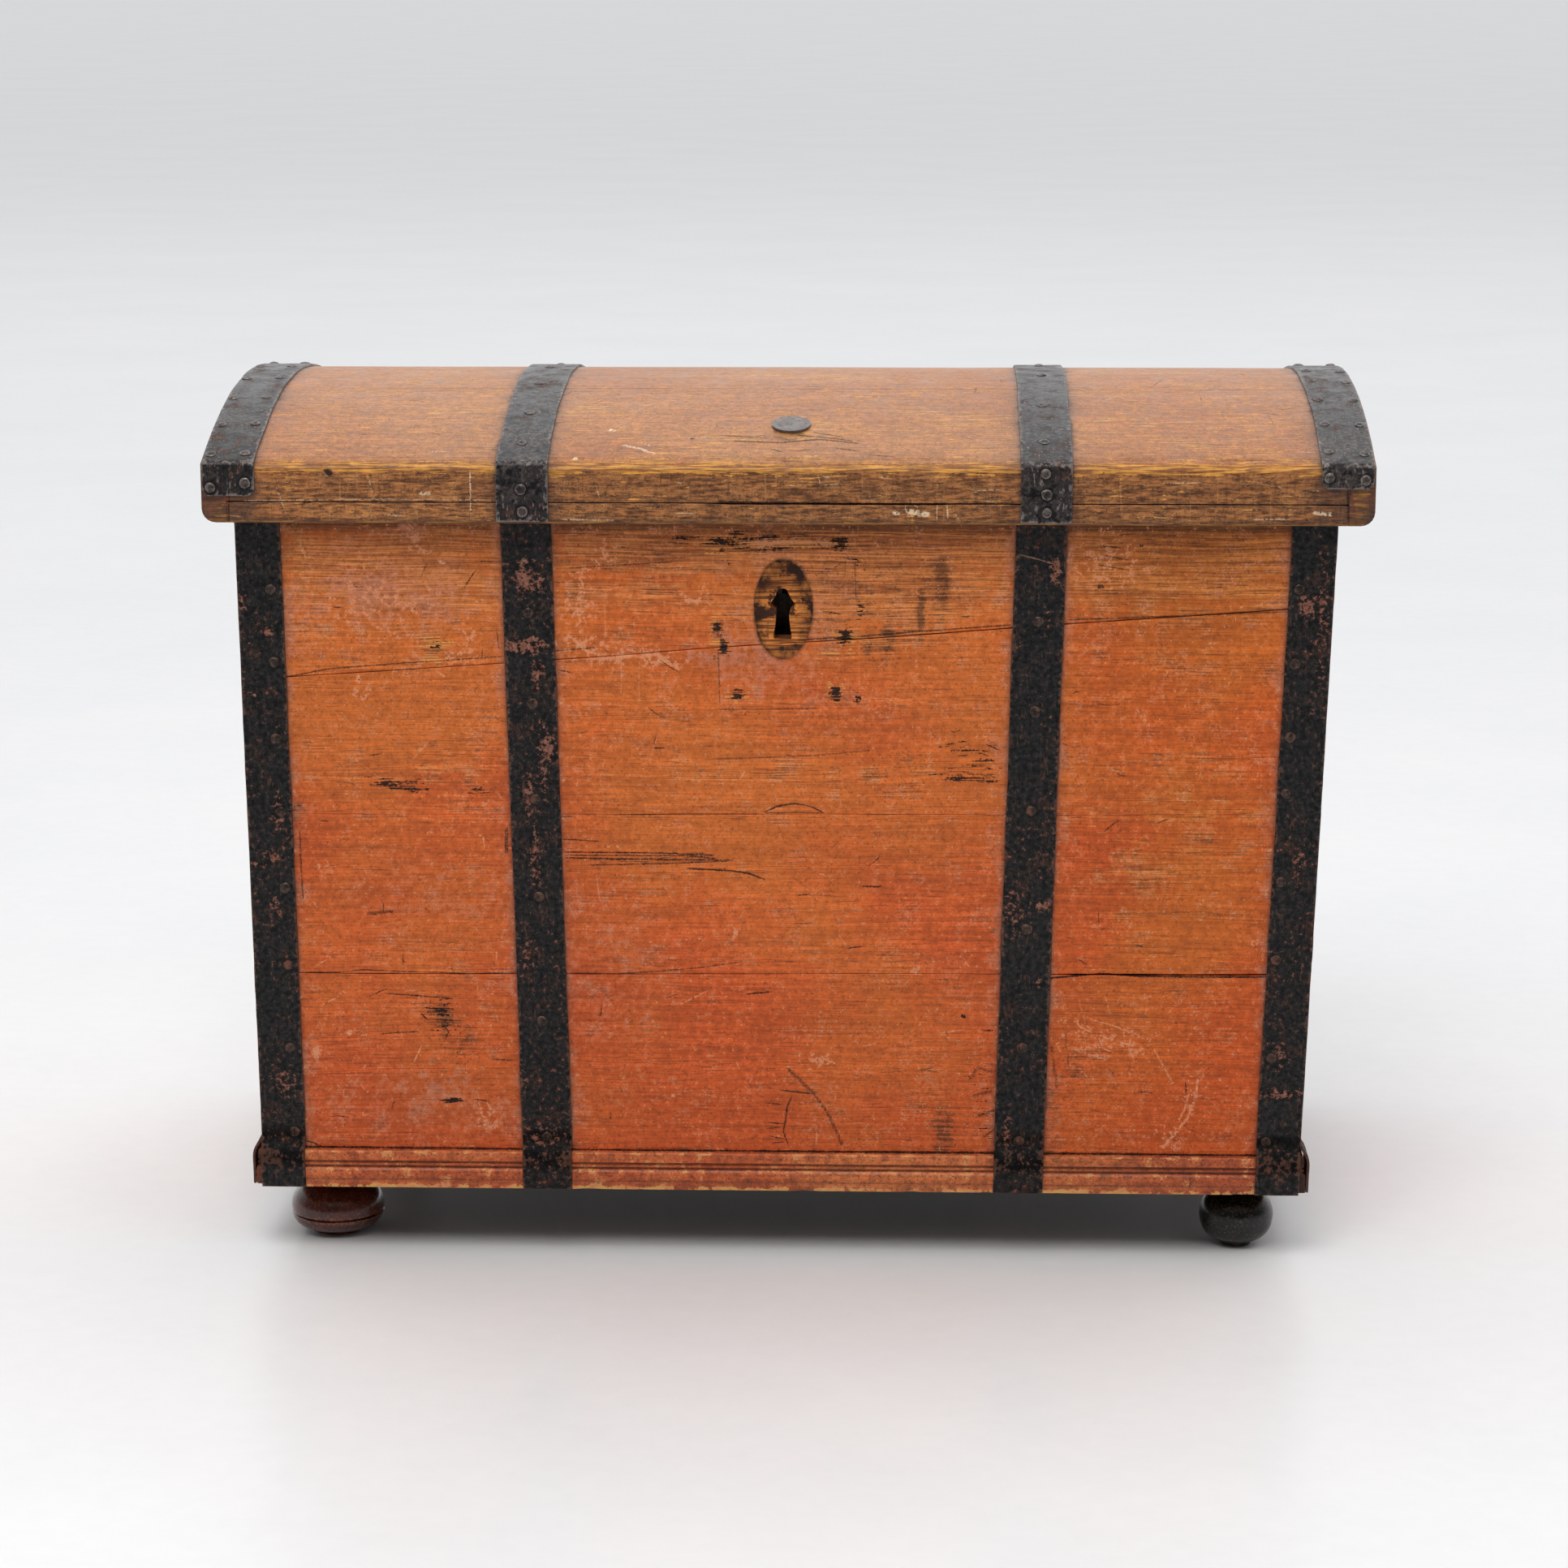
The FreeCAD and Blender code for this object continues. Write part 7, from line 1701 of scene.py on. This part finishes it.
def iron(name, base, second, rust, bright, amount, rough, metal, chip, nail_shadow_col=(0.004, 0.0035, 0.003, 1.0), patch=0.0):
    """Painted or bare forged iron: mottled ground, rust bloom, chips, rubbed edges with painted highlights, and a
    painted shadow ring round the nails.
    """
    s = Sh(name)
    m = s.math("MULTIPLY_ADD", s.noise(s.P, 60.0, 5.0, 0.66), 1.8, -0.4)
    L = s.math("MULTIPLY_ADD", s.noise(s.P, 12.0, 3.0, 0.55), 1.8, -0.4)
    k = s.math("MULTIPLY_ADD", s.noise(s.P, 230.0, 4.0, 0.68), 1.6, -0.3)
    t = s.math("MULTIPLY_ADD", s.noise(s.P, 900.0, 2.0, 0.6), 1.4, -0.2)
    ham = s.noise(s.P, 85.0, 1.0, 0.4)
    c = s.mix(s.step(s.add(s.mul(m, 0.6), s.mul(k, 0.4)), 0.34, 0.68), base, second)
    c = s.dim(c, s.lin(t, 0.3, 0.7, 0.7, 1.4))
    if patch:
        pt = s.step(s.add(s.mul(m, 0.55), s.mul(L, 0.25), s.mul(k, 0.2)), 0.48, 0.54)
        c = s.mix(s.mul(pt, patch), c, base)
    br = s.noise(s.vmul(s.P, (520, 520, 26)), 1.0, 2.0, 0.6)
    c = s.dim(c, s.lin(br, 0.3, 0.7, 0.84, 1.18) if patch else s.lin(br, 0.3, 0.7, 0.62, 1.45))
    rf = s.mul(s.step(s.add(s.mul(m, 0.6), s.mul(k, 0.5)), 0.60, 0.72), s.step(L, 0.40, 0.62))
    c = s.mix(s.mul(rf, amount), c, rust)
    cf = s.mul(s.step(k, 0.70, 0.74), s.step(L, 0.45, 0.63))
    c = s.mix(s.mul(cf, chip), c, C(164, 84, 50))
    cf2 = s.mul(s.step(t, 0.755, 0.80), s.step(L, 0.42, 0.62))
    c = s.mix(s.mul(cf2, chip, 0.6), c, C(176, 92, 58))
    fp = s.step(s.add(s.at("fleck"), s.lin(k, 0.3, 0.7, -0.42, 0.42), s.lin(t, 0.3, 0.7, -0.2, 0.2)), 0.56, 0.62)
    c = s.mix(s.mul(fp, 0.85), c, s.mix(s.step(t, 0.4, 0.6), C(158, 110, 94), C(128, 72, 50)))
    ck = s.noise(s.vmul(s.P, (420, 420, 130)), 1.0, 2.0, 0.6)
    c = s.mix(s.mul(s.step(ck, 0.60, 0.66), s.step(m, 0.42, 0.6), amount, 0.7), c, bright)
    c, D, Lt = marks(s, c, C(158, 84, 50), C(178, 132, 112), s.lin(k, 0.2, 0.8, -0.5, 0.5), t, 0.95)
    # lighter sharp edges: rubbed paint and a painted edge highlight
    ed = s.step(s.add(s.pointy(), s.lin(k, 0.3, 0.7, -0.02, 0.02)), 0.52, 0.60)
    c = s.mix(s.mul(ed, 0.55), c, bright)
    # painted shadow: a dark ring on the strap round each nail head
    nd = s.at("nail_d")
    ring = s.mul(s.step(nd, 4.2, 5.0), s.step(nd, 7.6, 5.6))
    c = s.mix(s.mul(ring, s.lin(k, 0.3, 0.7, 0.4, 0.85)), c, nail_shadow_col)
    # rubbed edges, and painted highlights along the edges and on the bends
    rb = s.step(s.add(s.at("rub"), s.lin(k, 0.3, 0.7, -0.4, 0.4), s.lin(m, 0.3, 0.7, -0.25, 0.25)), 0.45, 0.8)
    c = s.mix(s.mul(rb, 0.5), c, bright)
    h = s.add(s.mul(ham, 0.5), s.mul(m, 0.3), s.mul(k, 0.25), s.mul(s.mx(cf, cf2, D, Lt), -0.3))
    r = s.add(s.lin(m, 0.3, 0.7, rough - 0.08, rough + 0.1), s.mul(rf, 0.25))
    # dust lies dull on the low bend over the moulding
    z = s.xyz(s.P)[2]
    dull = s.mul(s.step(z, 0.076, 0.086), s.step(z, 0.118, 0.108))
    r = s.add(r, s.mul(dull, 0.2))
    return s.done(c, r, h, 0.0009, 0.6, s.mul(s.lin(dull, 0.0, 1.0, 0.3, 0.12), s.lin(k, 0.3, 0.7, 0.5, 1.3)), s.mul(s.lin(m, 0.3, 0.7, 1.0, 0.55), metal) if metal else 0.0)


def turned(name, base, second, edge, rough, coat):
    s = Sh(name)
    f = wood_fields(s, (150, 150, 20), (60, 60, 12))
    c = s.mix(s.step(f["m"], 0.34, 0.7), base, second)
    c = s.dim(c, s.lin(f["g"], 0.3, 0.7, 1.07, 0.9))
    ed = s.step(s.add(s.pointy(), s.lin(f["s"], 0.3, 0.7, -0.03, 0.03)), 0.515, 0.57)
    c = s.mix(s.mul(ed, 0.75), c, edge)
    c = s.mix(s.mul(s.step(f["s"], 0.64, 0.72), s.step(f["L"], 0.4, 0.7), 0.06), c, edge)
    low = s.step(s.xyz(s.P)[2], 0.0065, 0.001)
    c = s.mix(s.mul(low, s.lin(f["m"], 0.3, 0.7, 0.1, 0.8)), c, edge)
    h = s.add(s.mul(f["g"], 0.2), s.mul(f["m"], 0.3), s.mul(f["s"], 0.06))
    return s.done(c, s.lin(f["m"], 0.3, 0.7, rough - 0.05, rough + 0.1), h, 0.0004, 0.4, 0.4, 0.0, coat)


MAT = {
    "painted_wall": wall("paint_wall", C(213, 111, 46), C(207, 91, 40), C(214, 142, 80), C(160, 92, 50), C(196, 122, 92)),
    "back_wood": wall("paint_back", C(150, 88, 50), C(132, 68, 40), C(160, 112, 68), C(96, 60, 36), C(150, 112, 92), 0.45),
    "painted_lid": lid_paint("paint_lid"),
    "moulding_paint": moulding("paint_moulding"),
    "bare_wood": plain_wood("wood_bare", C(172, 122, 76), C(108, 70, 42), (9, 430, 430), (2.4, 80, 80), (0, 0.012, 0.012)),
    "body_iron": iron("iron_body", C(8, 8, 9), C(26, 23, 22), C(62, 38, 29), C(104, 70, 56), 0.6, 0.38, 0.0, 0.72),
    "lid_iron": iron("iron_lid", C(24, 23, 25), C(84, 75, 72), C(80, 50, 38), C(140, 132, 128), 0.9, 0.38, 0.4, 0.12, patch=0.8),
    "forged_iron": iron("iron_forged", C(44, 42, 42), C(66, 60, 57), C(74, 48, 36), C(120, 114, 110), 0.7, 0.45, 0.4, 0.1),
    "nail_iron": iron("iron_nail", C(46, 40, 38), C(76, 67, 63), C(72, 46, 36), C(160, 150, 146), 0.7, 0.36, 0.4, 0.1),
    "lock_iron": iron("iron_lock", C(70, 62, 58), C(98, 88, 80), C(92, 58, 40), C(140, 132, 126), 0.85, 0.5, 0.45, 0.1),
    "foot_red": turned("foot_red_varnish", C(62, 21, 14), C(88, 33, 21), C(136, 86, 58), 0.16, 0.5),
    "foot_black": turned("foot_black_paint", C(6, 6, 6), C(13, 13, 12), C(104, 84, 60), 0.2, 0.12),
}
NAIL_DARK = iron("iron_nail_dark", C(36, 28, 25), C(68, 50, 42), C(104, 60, 42), C(104, 76, 62), 0.9, 0.38, 0.0, 0.4)
IRON_INSIDE = iron("iron_inside", C(15, 13, 12), C(24, 20, 18), C(44, 26, 18), C(52, 46, 42), 0.6, 0.6, 0.0, 0.0)
slot_of = {p["node"]: p["material_slot"] for p in frame["record"]["subparts"]}
for ob in PIECES:
    ob.data.materials.clear()
    dark = ob.name.endswith("nails") and "lid" not in ob.name
    ob.data.materials.append(NAIL_DARK if dark else MAT[ob["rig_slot"]])
shown = [n for n, o in NODES.items() if not o.hide_render]
for n in shown:
    o = NODES[n]
    o.data.materials.clear()
    o.data.materials.append(IRON_INSIDE if n in ("lock_key_post", "lock_bridge") else MAT[slot_of[n]])
    thick = min(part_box(n)[1][k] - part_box(n)[0][k] for k in range(3))
    bev = o.modifiers.new("worn_edges", "BEVEL")
    bev.width = min(0.0008, thick * 0.12)
    bev.segments = 2
    bev.limit_method = "ANGLE"
    bev.angle_limit = math.radians(40)

# ---------------------------------------------------------------- floor, light, camera
fl = bpy.data.meshes.new("floor")
e = 150.0
fl.from_pydata([(-e, -e, 0), (e, -e, 0), (e, e, 0), (-e, e, 0)], [], [(0, 1, 2, 3)])
floor = bpy.data.objects.new("floor", fl)
bpy.context.scene.collection.objects.link(floor)
s = Sh("floor_paint")
n0 = s.noise(s.P, 1.6, 4.0, 0.6)
n2 = s.noise(s.P, 40.0, 4.0, 0.65)
c = s.mix(s.lin(n0, 0.3, 0.7), C(224, 225, 227), C(231, 231, 232))
c = s.dim(c, s.lin(n2, 0.3, 0.7, 0.985, 1.012))
r = s.lin(n0, 0.3, 0.7, 0.29, 0.31)
fl.materials.append(s.done(c, r, n0, 0.001, 0.01, 0.1))

world = bpy.data.worlds.new("studio")
world.use_nodes = True
wt = world.node_tree
bg = wt.nodes["Background"]
wc = wt.nodes.new("ShaderNodeTexCoord")
ws = wt.nodes.new("ShaderNodeSeparateXYZ")
wt.links.new(wc.outputs["Generated"], ws.inputs[0])


def wmap(v, a, b, c, d):
    n = wt.nodes.new("ShaderNodeMapRange")
    n.interpolation_type = "SMOOTHSTEP"
    wt.links.new(v, n.inputs[0])
    for i, x in enumerate((a, b, c, d)):
        n.inputs[i + 1].default_value = x
    return n.outputs[0]


# bright towards the back of the studio and overhead, dim on the viewer's side
wy = wmap(ws.outputs[1], -0.35, 0.85, 0.07, 1.08)
wz = wmap(ws.outputs[2], 0.15, 0.9, 0.0, 0.3)
wa = wt.nodes.new("ShaderNodeMath")
wa.operation = "ADD"
wt.links.new(wy, wa.inputs[0])
wt.links.new(wz, wa.inputs[1])
wt.links.new(wa.outputs[0], bg.inputs[1])
bg.inputs[0].default_value = (0.985, 0.99, 1.0, 1.0)
bpy.context.scene.world = world


def softbox(name, loc, aim, size, power, colour=(1, 1, 1), size_y=None):
    li = bpy.data.lights.new(name, "AREA")
    li.shape = "RECTANGLE"
    li.size = size
    li.size_y = size_y or size
    li.energy = power
    li.color = colour
    ob = bpy.data.objects.new(name, li)
    bpy.context.scene.collection.objects.link(ob)
    ob.location = loc
    d = Vector(aim) - Vector(loc)
    ob.rotation_euler = d.to_track_quat("-Z", "Y").to_euler()
    return ob


softbox("light_over", (0.0, 3.5, 7.0), (0, 3.5, 0.0), 15.0, 380, (1.0, 0.995, 0.985))
softbox("light_key", (-0.6, -2.7, 4.1), (0, -0.1, 0.4), 2.2, 96, (1.0, 0.985, 0.96))
softbox("light_fill", (2.4, -3.0, 3.5), (0, -0.1, 0.4), 1.8, 15, (0.99, 0.995, 1.0))

cam = bpy.data.cameras.new("camera")
cam.sensor_fit = "HORIZONTAL"
cam.sensor_width = 36.0
cam.lens = 5000.0 / 1932.0 * 36.0
cam.clip_start, cam.clip_end = 0.05, 1000.0
co = bpy.data.objects.new("camera", cam)
bpy.context.scene.collection.objects.link(co)
pitch, yaw, roll = 0.20668347576, -0.03606656462, -0.00175783579
fw = Vector((math.sin(yaw) * math.cos(pitch), math.cos(yaw) * math.cos(pitch), -math.sin(pitch)))
rt = fw.cross(Vector((0, 0, 1))).normalized()
up = rt.cross(fw)
rt2 = rt * math.cos(roll) + up * math.sin(roll)
up2 = up * math.cos(roll) - rt * math.sin(roll)
mw = Matrix((rt2, up2, -fw)).transposed().to_4x4()
mw.translation = Vector((0.121862, -3.696425, 1.151272))
co.matrix_world = mw
bpy.context.scene.camera = co
bpy.context.scene.view_settings.view_transform = "Standard"
bpy.context.scene.view_settings.look = "None"

bpy.context.view_layer.update()
